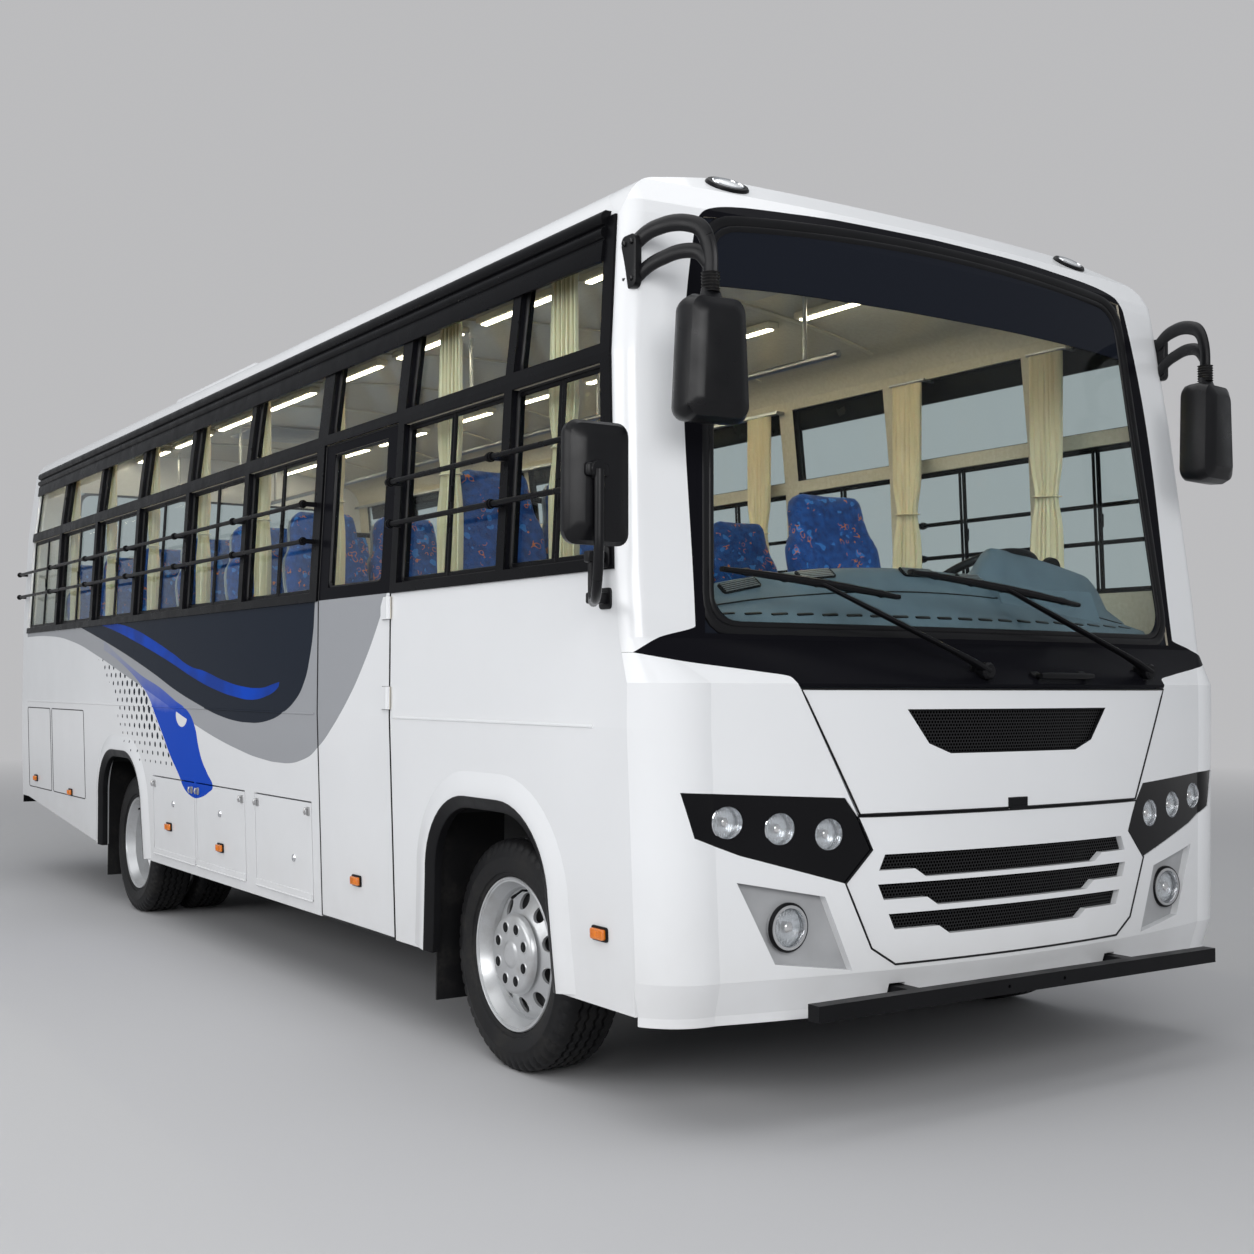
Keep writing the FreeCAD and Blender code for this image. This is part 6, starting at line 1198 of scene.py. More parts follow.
class COACH_OT_nose_trim(bpy.types.Operator):
    """Handle under the windscreen, seams of the nose and rims of the mesh"""
    bl_idname = "coach.nose_trim"
    bl_label = "Nose Trim"

    def execute(self, context):
        mesh = bmesh.new()
        for x in (0.118, 0.350):
            place, normal = front_skin(x, 1.262)
            plate(mesh, round_box(0.040, 0.024, 0.010), 0.010, facing(place, normal), 0.003)
            tube(mesh, [place + by(y=-0.004), place + by(y=-0.034)], 0.0085, 10)
        line = [front_skin(0.106 + 0.256 * step / 8, 1.262)[0] + by(y=-0.036)
                for step in range(9)]
        tube(mesh, line, [0.008] + [0.0105] * 7 + [0.008], 12)
        build("cowl_handle", mesh, "satin_black")
        mesh = bmesh.new()
        for loop in rims("bonnet_mesh", (0, -1, 0), 0.5)[:1]:
            lift = [spot + by(y=-0.004) for spot in loop]
            tube(mesh, spread(rounded(lift, 0.006), 0.04), 0.0045, 8, closed=True)
        build("mesh_rim", mesh, "satin_black", "bonnet_flap")
        for node, body in (("grille_panel", "coach"), ("bonnet_flap", "bonnet_flap")):
            mesh = bmesh.new()
            tube(mesh, spread(rims(node, (0, -1, 0))[0], 0.05), 0.0034, 6, closed=True)
            build(node + "_seam", mesh, "seal_rubber", body)
        return {"FINISHED"}


# Mirrors
def mirror_shell(mesh, glass, middle, wide, high, deep, yaw, taper):
    """Rounded mirror housing, narrower towards its top, with the glass behind."""
    turn = Matrix.Translation(middle) @ Matrix.Rotation(yaw, 4, "Z")
    rings = []
    for depth, across, up in ((-0.5, 0.74, 0.84), (-0.40, 0.90, 0.94), (-0.12, 1.0, 1.0),
                              (0.25, 0.99, 0.99), (0.42, 0.955, 0.97), (0.5, 0.90, 0.93)):
        rings.append([])
        for x, z in round_box(wide * across, high * up, 0.034, 5):
            lean = 1 - taper * max(z / high - 0.05, 0) - taper * 0.3 * max(-z / high - 0.3, 0)
            rings[-1].append((x * lean, depth * deep, z))
    part = bmesh.new()
    bmesh.ops.inset_region(part, faces=loft(part, rings), thickness=0.020, depth=0.010)
    merge(mesh, part, turn)
    outline = [(x * (1 - taper * max(z / high, 0)), z)
               for x, z in round_box(wide * 0.80, high * 0.87, 0.026, 5)]
    plate(glass, outline, 0.003, turn @ Matrix.Translation((0, deep * 0.5 + 0.003, 0)) @ AHEAD)


def ribbed_boot(mesh, start, end, radius):
    """Ribbed rubber boot between two points."""
    along = Vector(end) - Vector(start)
    turn = along.to_track_quat("Z", "Y").to_matrix().to_4x4()
    profile = []
    for step in range(7):
        height = along.length * step / 6
        profile += [(radius, height), (radius * 0.84, height + along.length / 12)]
    lathe(mesh, [(0, 0)] + profile[:-1] + [(0, along.length)], start, steps=20, turn=turn)


def mirror_arm(mesh, side, foot, neck, high):
    """Flat bow with a long window: upper and lower bar from the foot plate to the neck."""
    reach = by(neck.x - foot.x, neck.y - foot.y, 0)
    across = reach.cross(by(0, 0, 1)).normalized()
    for points, size in (
            (((0, 0.050), (0.20, 0.082), (0.56, 0.092), (0.90, 0.060), (1, -0.01), (1, -0.10)),
             0.0245),
            (((0, -0.052), (0.22, -0.014), (0.60, 0.006), (0.86, -0.006), (0.985, -0.05)), 0.0215)):
        path = bend([foot + reach * share + by(z=up) for share, up in points], 0.07, 7)
        tube(mesh, path, size, 14, flat=0.5, up=across)
    stand = facing(foot + by(x=-side * 0.006), (side, 0, 0))
    plate(mesh, round_box(0.070, high, 0.018), 0.024, stand, 0.006, 3)
    for y, up in ((-0.018, -0.05), (0.018, -0.05), (-0.018, 0.055), (0.018, 0.055)):
        lathe(mesh, ((0, 0.008), (0.006, 0.007), (0.009, 0.003), (0.009, 0), (0, 0)),
              foot + by(side * 0.018, y, up), "X", 6, flip=side)


class COACH_OT_mirrors(bpy.types.Operator):
    """Two bowed mirrors at the screen posts and the square kerb mirror"""
    bl_idname = "coach.mirrors"
    bl_label = "Mirrors"

    def execute(self, context):
        mesh, glass, boots = meshes(3)
        for side in (-1, 1):
            middle, neck = at(side * 1.083, -0.990, 2.115), at(side * 1.083, -0.985, 2.430)
            mirror_shell(mesh, glass, middle, 0.212, 0.345, 0.105, side * 0.12, 0.42)
            foot = at(side * 1.19, -0.725, 2.43)
            foot.x = side_skin(side, -0.725, 2.43)[0].x
            mirror_arm(mesh, side, foot, neck, 0.155)
            ribbed_boot(boots, neck - by(z=0.075), neck - by(z=0.128), 0.027)
            tube(mesh, [neck - by(y=ahead, z=down) for ahead, down in (
                (0, 0.120), (0.004, 0.150), (0.026, 0.19), (0.044, 0.25), (0.046, 0.285))],
                 [0.029, 0.040, 0.050, 0.048, 0.034], 16, flat=0.5, up=(0, 1, 0))
        middle = at(-1.430, -0.950, 1.755)
        mirror_shell(mesh, glass, middle, 0.193, 0.325, 0.054, -0.06, 0.04)
        root = side_skin(-1, -0.725, 1.50)[0]
        joint = middle + by(-0.022, -0.052, 0.030)
        tube(mesh, bend([joint, joint - by(z=0.235), joint + by(0.03, 0.06, -0.33),
                         by(root.x - 0.045, root.y, 1.455),
                         by(root.x - 0.045, root.y, 1.60)], 0.07, 8), 0.0135, 12)
        lathe(mesh, ((0, 0), (0.022, 0), (0.026, 0.010), (0.026, 0.028), (0.020, 0.034), (0, 0.034)),
              joint - by(y=0.004), "Y", 20)
        block(mesh, joint - by(0.034, -0.002, 0.018), joint + by(0.034, 0.028, 0.018),
              0.008, 3)
        for up in (1.47, 1.585):
            spot = side_skin(-1, -0.725, up)[0]
            block(mesh, by(spot.x - 0.060, spot.y - 0.016, up - 0.016),
                  by(spot.x + 0.004, spot.y + 0.016, up + 0.016), 0.006, 3)
            plate(mesh, round_box(0.06, 0.06, 0.012), 0.010,
                  facing(spot + by(x=0.004), (-1, 0, 0)), 0.003)
        piece = build("mirror_arms", mesh, "mirror_black")
        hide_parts("mirrors")
        build("mirror_glasses", glass, "mirror_glass", smooth=False)
        build("mirror_boots", boots, "flap_rubber")
        return {"FINISHED"}


# Sides
def ribbon(mesh, path, section, side):
    """A strip with a section of (outward in the plane of the side, off the skin) along a path."""
    part, rings = bmesh.new(), []
    for number, spot in enumerate(path):
        along = (path[min(number + 1, len(path) - 1)] - path[max(number - 1, 0)]).normalized()
        out = by(0, -along.z, along.y)
        rings.append([spot + out * reach + by(x=side * lift) for reach, lift in section])
    loft(part, rings)
    merge(mesh, part)


ARCH_HALF, ARCH_SHOULDER, ARCH_TOP = 0.430, (0.400, 0.590), (0.110, 0.865)
SKIRT = 0.326


def arch_line(side, axle):
    """Line of a wheel arch from its front foot over the wheel to its rear foot."""
    (shoulder, waist), (flat, top) = ARCH_SHOULDER, ARCH_TOP
    line = [(-ARCH_HALF, SKIRT), (-(ARCH_HALF + shoulder) / 2, (SKIRT + waist) / 2)]
    line += [(-flat - (shoulder - flat) * math.cos(angle), waist + (top - waist) * math.sin(angle))
             for angle in stretch(0, math.pi / 2, 12)]
    line += [(0.0, top)] + [(-y, z) for y, z in reversed(line)]
    skin = side_skin(side, axle - FRONT_AXLE, 1.0)[0].x
    made = []
    for y, z in line:
        foot = side_skin(side, axle - FRONT_AXLE + y * 1.12, max(z * 1.04, SKIRT + 0.02))[0]
        made.append(by(foot.x if foot else skin, axle + y, z))
    return made


class COACH_OT_wheel_arches(bpy.types.Operator):
    """Painted flares and black rubber lips round the wheel arches"""
    bl_idname = "coach.wheel_arches"
    bl_label = "Wheel Arches"

    def execute(self, context):
        for side, sign in SIDES:
            lip, flare = meshes(2)
            for axle in (FRONT_AXLE, REAR_AXLE):
                path = arch_line(sign, axle)
                ribbon(flare, path, ((-0.001, -0.012), (-0.001, 0.012), (0.010, 0.0135),
                                     (0.030, 0.0125), (0.055, 0.008), (0.080, 0.003),
                                     (0.098, -0.0005), (0.098, -0.012)), sign)
                ribbon(lip, path, ((-0.034, -0.030), (-0.034, -0.004), (-0.030, 0.001),
                                   (-0.006, 0.009), (0.001, 0.014), (0.005, 0.0145),
                                   (0.006, 0.012), (0.001, 0.0), (0.001, -0.030)), sign)
            build("arch_lips_" + side, lip, "seal_rubber")
            build("arch_flares_" + side, flare, "side_paint")
        return {"FINISHED"}


def frame_line(mesh, loop, corner, side):
    """Rubber along the rim of a pane with rounded corners."""
    raised = [spot + by(x=side * 0.003) for spot in loop]
    tube(mesh, rounded(raised, corner, 4), 0.0075, 8, closed=True, up=(1, 0, 0))


def extent(spots):
    """Low and high corners round a set of points."""
    return [Vector([pick(spot[axis] for spot in spots) for axis in range(3)])
            for pick in (min, max)]


GUARD_BARS = (1.790, 1.937)
BAR_POSTS = [FRONT_POST, FRONT_PILLAR, 0.613, 1.416, *REAR_PILLARS[1:], 6.316]


class COACH_OT_window_seals(bpy.types.Operator):
    """Rubber round every pane, sliding sashes with their pulls and the collars of the bars"""
    bl_idname = "coach.window_seals"
    bl_label = "Window Seals"

    def execute(self, context):
        seals, sashes, door, collars = meshes(4)
        for side, sign in SIDES:
            for loop in rims("cabin_glass", (sign, 0, 0), 0.6, sign):
                low, high = extent(loop)
                if high.y - low.y < 0.3:
                    continue
                frame_line(seals, loop, 0.03, sign)
                if high.z < 2.2:
                    self.sash(sashes, sign, low, high)
            for y, z in [(y, z) for y in BAR_POSTS for z in GUARD_BARS]:
                bar = hit("guard_bars", at(sign * 2, y, z), (-sign, 0, 0))[0] - by(x=sign * 0.009)
                for far, radius in ((0.016, 0.0135), (0.005, 0.0165)):
                    tube(collars, [bar - by(y=far), bar + by(y=far)], radius, 12)
        for loop in rims("door_glass", (-1, 0, 0), 0.6):
            frame_line(door, loop, 0.035, -1)
        tube(door, spread(rims("entry_door", (-1, 0, 0))[0], 0.2), 0.003, 6, closed=True,
             up=(1, 0, 0))
        for loop in rims("cabin_glass", (0, 1, 0), 0.6):
            if max(spot.x for spot in loop) - min(spot.x for spot in loop) > 1:
                tube(seals, rounded([spot + by(y=0.003) for spot in loop], 0.09), 0.014, 10,
                     closed=True, up=(0, 1, 0))
        build("guard_collars", collars, "frame_black")
        build("window_seals", seals, "seal_rubber")
        build("window_sashes", sashes, "frame_black")
        build("door_window_seal", door, "seal_rubber", "entry_door")
        return {"FINISHED"}

    def sash(self, mesh, sign, low, high):
        """Meeting rails of two sliding panes and the inner frame behind them."""
        def skin(y, z, lift):
            """Place on the glass, or on the next glass behind a gap."""
            place = None
            while place is None and y < high.y:
                place = hit("cabin_glass", (MIDDLE + sign * 3, y, z), (-sign, 0, 0))[0]
                y += 0.01
            return place + by(x=sign * lift)

        middle = low.y * 0.48 + high.y * 0.52
        foot, head = low.z + 0.008, high.z - 0.008
        for y, lift, radius in ((middle, 0.002, 0.011), (middle + 0.022, 0.001, 0.008)):
            tube(mesh, [skin(y, foot, lift), skin(y, head, lift)], radius, 8, flat=0.5,
                 up=(1, 0, 0))
        for z in (low.z + 0.012, high.z - 0.012):
            tube(mesh, [skin(low.y + 0.006, z, 0.001), skin(high.y - 0.006, z, 0.001)],
                 0.009, 8, flat=0.5, up=(1, 0, 0))
        pull = skin(middle, (low.z + high.z) / 2, 0.006)
        plate(mesh, round_box(0.018, 0.055, 0.006), 0.006, facing(pull, (sign, 0, 0)), 0.002)


def skin_line(sign, start, end, z, pitch, lift=0.0):
    """Points along the skin of a side at one height."""
    spots = [side_skin(sign, y, z)[0]
             for y in stretch(start, end, max(2, int(abs(end - start) / pitch)))]
    return [spot + by(x=sign * lift) for spot in spots if spot]


GUTTER = ((-0.004, 2.452), (0.007, 2.452), (0.009, 2.456), (0.009, 2.512), (0.004, 2.516),
          (0.004, 2.521), (0.014, 2.527), (0.018, 2.534), (0.018, 2.545), (0.014, 2.551),
          (0.005, 2.555), (0.005, 2.560), (0.017, 2.566), (0.022, 2.574), (0.022, 2.590),
          (0.017, 2.599), (0.010, 2.604), (-0.014, 2.604))


class COACH_OT_body_lines(bpy.types.Operator):
    """Swage line, gutter band over the windows and the service panels' gaps"""
    bl_idname = "coach.body_lines"
    bl_label = "Body Lines"

    def execute(self, context):
        swage, black, gaps = meshes(3)
        front, rear = -0.62, 6.235
        for side, sign in SIDES:
            runs = ((-0.66, 0.655), (1.375, 6.21)) if sign < 0 else ((-0.66, 6.21),)
            for start, end in runs:
                tube(swage, skin_line(sign, start, end, 1.112, 0.3, 0.0005), 0.0045, 8,
                     flat=0.7, up=(1, 0, 0))
            low, high = (side_skin(sign, FRONT_PILLAR, z)[0] for z in (2.452, 2.580))
            lean = (high.x - low.x) / (high.z - low.z)
            outline = [((low.x - MIDDLE + lean * (z - low.z)) * sign + lift, z)
                       for lift, z in GUTTER]
            turn = Matrix(((sign, 0, 0), (0, 0, -sign), (0, 1, 0))).to_4x4()
            plate(black, outline, rear - front,
                  Matrix.Translation(at(0, front if sign < 0 else rear, 0)) @ turn)
            for start, end in ((4.83, 5.58), (5.62, 6.21)):
                corners = [side_skin(sign, y, z)[0] - by(x=sign * 0.0015) for y, z in (
                    (start, 0.56), (end, 0.56), (end, 1.07), (start, 1.07))]
                tube(gaps, spread(rounded(corners, 0.02, 3), 0.2), 0.0035, 6, closed=True,
                     up=(1, 0, 0))
        build("swage_lines", swage, "side_paint")
        build("gutters", black, "frame_black")
        build("panel_gaps", gaps, "seal_rubber")
        return {"FINISHED"}


def marker(base, glass, place, normal, wide=0.066, high=0.030):
    """A side lamp: black foot and amber glass with ribs."""
    stand = facing(place, normal)
    plate(base, round_box(wide + 0.014, high + 0.012, 0.008), 0.006, stand, 0.002)
    plate(glass, round_box(wide, high, 0.006), 0.011, stand @ Matrix.Translation((0, 0, 0.005)),
          0.0035, 3)
    for x in stretch(-wide * 0.36, wide * 0.36, 6):
        tube(glass, [stand @ by(x, high * share, 0.016) for share in (-0.34, 0.34)],
             0.0016, 6)


def markers(names, body, places, feet=None):
    """Side lamps of one body at places of (side, behind the front axle, up); their feet."""
    base, glass = feet or bmesh.new(), bmesh.new()
    for place in places:
        marker(base, glass, *side_skin(*place))
    foot = build(names[0], base, "satin_black", body)
    build(names[1], glass, "amber_lens", body)
    return foot


def latch(mesh, place, sign):
    """Grey hook-like catch at a top corner of a luggage door."""
    stand = facing(place, (sign, 0, 0))
    plate(mesh, round_box(0.026, 0.034, 0.006), 0.005, stand, 0.0015)
    tube(mesh, [stand @ Vector(spot) for spot in ((0, 0.010, 0.004), (0, 0.012, 0.016),
                                                  (0, 0.0, 0.019), (0, -0.012, 0.014))],
         [0.0055, 0.0055, 0.005, 0.004], 8)


def round_lock(mesh, place, sign):
    """Round chrome lock with a dark slot."""
    lathe(mesh, ((0, 0.006), (0.0045, 0.006), (0.005, 0.005), (0.010, 0.0065), (0.0135, 0.005),
                 (0.0155, 0.002), (0.016, 0.0), (0, 0)), place, "X", 24, flip=sign)


DOOR_SPANS = {"first": (1.425, 2.060), "second": (2.180, 2.840), "third": (2.862, 3.515)}
DOOR_LOCKS = {"first": (1.625, 0.526), "second": (2.510, 0.640), "third": (3.1885, 0.640)}
DOOR_LAMPS = {"second": (2.507, 0.487), "third": (3.259, 0.523)}


class COACH_OT_side_fittings(bpy.types.Operator):
    """Side lamps, roof lamps, and the catches and locks of the luggage doors"""
    bl_idname = "coach.side_fittings"
    bl_label = "Side Fittings"

    def execute(self, context):
        feet = bmesh.new()
        self.roof_lamps(feet)
        body_lamps = [(sign, y, z) for side, sign in SIDES
                      for y, z in ((-0.668, 0.532), (5.160, 0.580), (6.020, 0.620))]
        door_lamp = (1.002, 0.501)
        piece = markers(("marker_feet", "marker_glasses"), "coach",
                        body_lamps + [(1, *door_lamp)], feet)
        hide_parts("marker_lamps")
        markers(("door_marker_foot", "door_marker_glass"), "entry_door", [(-1, *door_lamp)])
        for tag, sign, place in [(*pair, place) for pair in SIDES for place in DOOR_SPANS]:
            door = "luggage_door_%s_%s" % (tag, place)
            catches, lock = meshes(2)
            start, end = DOOR_SPANS[place]
            for y in (start + 0.035, end - 0.035):
                latch(catches, side_skin(sign, y, 0.725)[0], sign)
            round_lock(lock, side_skin(sign, *DOOR_LOCKS[place])[0], sign)
            build("catches_%s_%s" % (tag, place), catches, "zinc", door)
            build("lock_%s_%s" % (tag, place), lock, "chrome", door)
            if place in DOOR_LAMPS:
                markers(["marker_%s_%s_%s" % (kind, tag, place) for kind in ("foot", "glass")],
                        door, [(sign, *DOOR_LAMPS[place])])
        return {"FINISHED"}

    def roof_lamps(self, base):
        """Clear oval lamps over the windscreen's corners."""
        ring, clear = meshes(2)
        for side in (-1, 1):
            start = at(side * 0.77, -3, 2.742)
            found = [hit(node, start, (0, 1, 0)) for node in ("nose_shell", "roof")]
            shape = facing(*next(spot for spot in found if spot[0])) @ Matrix.Diagonal(
                (1.42, 0.92, 1, 1))
            for mesh, profile in (
                    (base, ((0, -0.02), (0.053, -0.02), (0.053, 0.004), (0.049, 0.010),
                            (0.041, 0.011), (0.040, 0.006), (0, 0.006))),
                    (ring, ((0.032, 0.006), (0.033, 0.011), (0.036, 0.014), (0.039, 0.012),
                            (0.040, 0.006))),
                    (clear, ((0, 0.015), (0.012, 0.0148), (0.024, 0.0135), (0.032, 0.010),
                             (0.032, 0.007), (0, 0.007)))):
                lathe(mesh, profile, (0, 0, 0), steps=40, turn=shape)
        build("roof_lamp_rims", ring, "chrome")
        build("roof_lamp_glasses", clear, "frosted_lens")


# Roof and tail
class COACH_OT_roof_fittings(bpy.types.Operator):
    """Seams of the roof sheets and the ribs and grilles of the roof pod"""
    bl_idname = "coach.roof_fittings"
    bl_label = "Roof Fittings"

    def execute(self, context):
        mesh, dark = meshes(2)
        for station in REAR_PILLARS + [FRONT_PILLAR]:
            row = [at(x, station, OPEN_AIR) for x in stretch(-1.06, 1.06, 32)]
            tube(mesh, traced("roof", row, DOWN, 0.0005), 0.0045, 6, flat=0.5)
        (left, front, foot), (right, rear, head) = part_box("roof_pod")

        def pod(across, along):
            """Point in the open air over the pod, by its shares."""
            return (left + (right - left) * across, front + (rear - front) * along, OPEN_AIR)

        for across in stretch(0.2, 0.8, 4):
            row = [pod(across, along) for along in stretch(0.12, 0.88, 14)]
            tube(mesh, traced("roof_pod", row, DOWN, 0.001), 0.011, 8, flat=0.7)
        for along in (0.30, 0.70):
            spot = hit("roof_pod", pod(0.5, along), DOWN)[0] - by(z=0.004)
            block(dark, spot - by(0.17, 0.17, 0.006), spot + by(0.17, 0.17, 0.010),
                  0.006)
            for radius in stretch(0.030, 0.134, 4):
                lathe(dark, ((radius, 0.010), (radius + 0.004, 0.014), (radius + 0.008, 0.010)),
                      spot, "Z", 40)
        build("roof_seams", mesh, "body_paint")
        build("pod_grilles", dark, "satin_black")
        return {"FINISHED"}


LID_CORNERS = ((-0.78, 0.62), (0.78, 0.62), (0.78, 1.45), (-0.78, 1.45))


class COACH_OT_tail_fittings(bpy.types.Operator):
    """Tail lamp glasses, boot lid seam, handle and hinges, reflectors and rear roof lamps"""
    bl_idname = "coach.tail_fittings"
    bl_label = "Tail Fittings"

    def execute(self, context):
        red, amber, clear, black = meshes(4)
        low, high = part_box("tail_lamps")

        def behind(node, x, z):
            """Place on a node of the tail, and how a fitting stands there."""
            place = hit(node, (MIDDLE + x, FRONT_AXLE + 9, z), (0, -1, 0))[0]
            return place, Matrix.Translation(place) @ ASTERN

        for side in (-1, 1):
            x = MIDDLE + side * (high.x - MIDDLE - 0.095)
            back = Matrix.Translation((x, high.y + 0.001, (low.z + high.z) / 2)) @ ASTERN
            plate(black, round_box(0.206, 0.326, 0.022), 0.004, back, 0.0015)
            for mesh, spot, size in ((red, 0.098, 0.094), (amber, 0.0, 0.080),
                                     (clear, -0.092, 0.084)):
                stand = back @ Matrix.Translation((0, spot, 0.003))
                plate(mesh, round_box(0.180, size, 0.014), 0.016, stand, 0.005, 3)
                for height in stretch(-size * 0.36, size * 0.36, 10):
                    tube(mesh, [stand @ by(end, height, 0.016) for end in (-0.080, 0.080)],
                         0.0022, 6)
            stand = behind("rear_bumper", side * 0.80, 0.62)[1]
            plate(red, round_box(0.11, 0.035, 0.008), 0.006, stand, 0.002)
            stand = behind("tail_shell", side * 0.72, 2.66)[1]
            plate(black, round_box(0.10, 0.044, 0.012), 0.008, stand, 0.002)
            plate(red, round_box(0.084, 0.030, 0.010), 0.018, stand, 0.005, 3)
        seam = [behind("tail_shell", x, z)[0] - by(y=0.001) for x, z in LID_CORNERS]
        tube(black, rounded(seam, 0.05, 5), 0.0045, 6, closed=True, up=(0, 1, 0))
        handle = seam[0].lerp(seam[1], 0.5) + by(z=0.10)
        plate(black, round_box(0.16, 0.05, 0.018), 0.016, Matrix.Translation(handle) @ ASTERN,
              0.005)
        for share in (0.2, 0.8):
            spot = seam[3].lerp(seam[2], share)
            block(black, spot - by(0.035, 0.004, 0.03), spot + by(0.035, 0.014, 0.03),
                  0.005)
        build("tail_lamp_feet", black, "satin_black")
        build("tail_lamp_red", red, "red_lens")
        build("tail_lamp_amber", amber, "amber_lens")
        build("tail_lamp_clear", clear, "frosted_lens")
        return {"FINISHED"}


# Underside
class COACH_OT_underbody(bpy.types.Operator):
    """Brake drums behind the wheels and the joints of the propeller shaft"""
    bl_idname = "coach.underbody"
    bl_label = "Underbody"

    def execute(self, context):
        joints = bmesh.new()
        low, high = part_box("propeller_shaft")
        middle = (low + high) / 2
        for y in (low.y + 0.05, middle.y, high.y - 0.05):
            lathe(joints, ((0, -0.05), (0.062, -0.05), (0.062, -0.035), (0.050, -0.03),
                           (0.050, 0.03), (0.062, 0.035), (0.062, 0.05), (0, 0.05)),
                  (middle.x, y, middle.z), "Y", 24)
        build("shaft_joints", joints, "cast_grey")
        for side, sign in SIDES:
            for tyre, wheel in (("front_tyre_", "front_wheel_"), ("rear_tyres_", "rear_wheels_")):
                box = WHEEL[tyre + side]
                spot = centre(box)
                spot.x = box[0 if sign > 0 else 1].x + sign * 0.045
                drum = bmesh.new()
                lathe(drum, ((0.05, 0.0), (0.185, 0.0), (0.190, 0.006), (0.190, 0.055),
                             (0.182, 0.060), (0.182, 0.075), (0.176, 0.080), (0.05, 0.080),
                             (0.05, 0.0)), spot, "X", 48, flip=sign)
                build("drum_%s%s" % (wheel, side), drum, "cast_grey", wheel + side)
        return {"FINISHED"}


# Cabin
SEAT = {"floor": 0.90, "high": 0.48, "thick": 0.12, "deep": 0.45, "back": 1.09, "back_thick": 0.11,
        "rake": 0.15}


class SeatSettings(bpy.types.PropertyGroup):
    """Padding of the seats."""
    pressure: FloatProperty(name="Pressure", description="Air pressure that crowns the padding",
                            default=4.0, min=0)
    voxel: length_field("Mesh Size", "Size of the padding's mesh", 0.015, 0.004)
    swell: length_field("Swell", "Furthest that the padding swells", 0.018)
    fill: FloatProperty(name="Fill", description="How full the padding is", default=0.8,
                        min=0, max=1)


def puffed(shape, settings, held):
    """A closed form blown up a little as cloth, held where it rests and at its sewn lines."""
    data = bpy.data.meshes.new("pad")
    shape.to_mesh(data)
    shape.free()
    pad = bpy.data.objects.new("pad", data)
    bpy.context.collection.objects.link(pad)
    remesh = pad.modifiers.new("remesh", "REMESH")
    remesh.mode, remesh.voxel_size = "VOXEL", settings.voxel
    bpy.context.view_layer.objects.active = pad
    pad.select_set(True)
    bpy.ops.object.modifier_apply(modifier="remesh")
    group = pad.vertex_groups.new(name="held")
    group.add([vert.index for vert in pad.data.vertices if held(vert.co)], 1.0, "REPLACE")
    flat = [vert.co.copy() for vert in pad.data.vertices]
    cloth = pad.modifiers.new("cloth", "CLOTH")
    cloth.settings.vertex_group_mass = "held"
    cloth.settings.use_pressure = True
    cloth.settings.uniform_pressure_force = settings.pressure
    cloth.settings.effector_weights.gravity = 0
    cloth.point_cache.frame_end = 20
    for number in range(1, 21):
        bpy.context.scene.frame_set(number)
    bpy.ops.object.modifier_apply(modifier="cloth")
    bpy.context.scene.frame_set(1)
    made = bmesh.new()
    made.from_mesh(pad.data)
    bpy.data.objects.remove(pad)
    for vert, start in zip(made.verts, flat):
        move = vert.co - start
        vert.co = start + move * min(1, settings.swell / max(move.length, 1e-6))
    for count in range(2):
        bmesh.ops.smooth_vert(made, verts=made.verts, factor=0.4, use_axis_x=True,
                              use_axis_y=True, use_axis_z=True)
    return made


def pad_shape(outline, thick, corner):
    """Outline with thickness and rounded edges, its own x across and y upward."""
    part = slab(outline, thick)
    bmesh.ops.recalc_face_normals(part, faces=part.faces)
    soften(part, corner, 3)
    return part


def back_outline(wide, high):
    """Seat back seen from ahead: straight waist, wings and a narrower round head."""
    half = wide / 2
    right = [(half * 0.90, 0.0), (half * 0.94, high * 0.10), (half * 0.91, high * 0.24),
             (half * 0.94, high * 0.40), (half, high * 0.54), (half, high * 0.66),
             (half * 0.95, high * 0.72), (half * 0.84, high * 0.77), (half * 0.80, high * 0.84),
             (half * 0.79, high * 0.92), (half * 0.74, high * 0.97), (half * 0.64, high)]
    return right + [(-x, y) for x, y in reversed(right)]


def seat_templates(settings, wide):
    """Cushion and back of one place, drawn in along their sewn lines."""
    deep, thick, line = SEAT["deep"], SEAT["thick"], settings.voxel * 0.6
    cushion = puffed(pad_shape(round_box(wide - 0.012, deep + 0.02, 0.05, 4), thick - 0.012, 0.026),
                     settings, lambda spot: spot.z < 0.012 or spot.z > thick - 0.03 and (
                         abs(abs(spot.x) - wide * 0.30) < line
                         or abs(spot.y - deep * 0.12) < line))
    high, thick = SEAT["back"] - SEAT["high"] + 0.10, SEAT["back_thick"] * 0.78
    back = puffed(pad_shape(back_outline(wide - 0.012, high), thick, 0.024),
                  settings, lambda spot: spot.z < 0.012 or spot.z > thick - 0.015 and (
                      abs(abs(spot.x) - wide * 0.29) < line and spot.y < high * 0.72
                      or abs(spot.y - high * 0.74) < line or abs(spot.y - high * 0.30) < line))
    return cushion, back


def copy_into(mesh, template, place):
    """Add a copy of a template to a mesh."""
    part = template.copy()
    bmesh.ops.transform(part, matrix=place, verts=part.verts)
    pour(mesh, part)


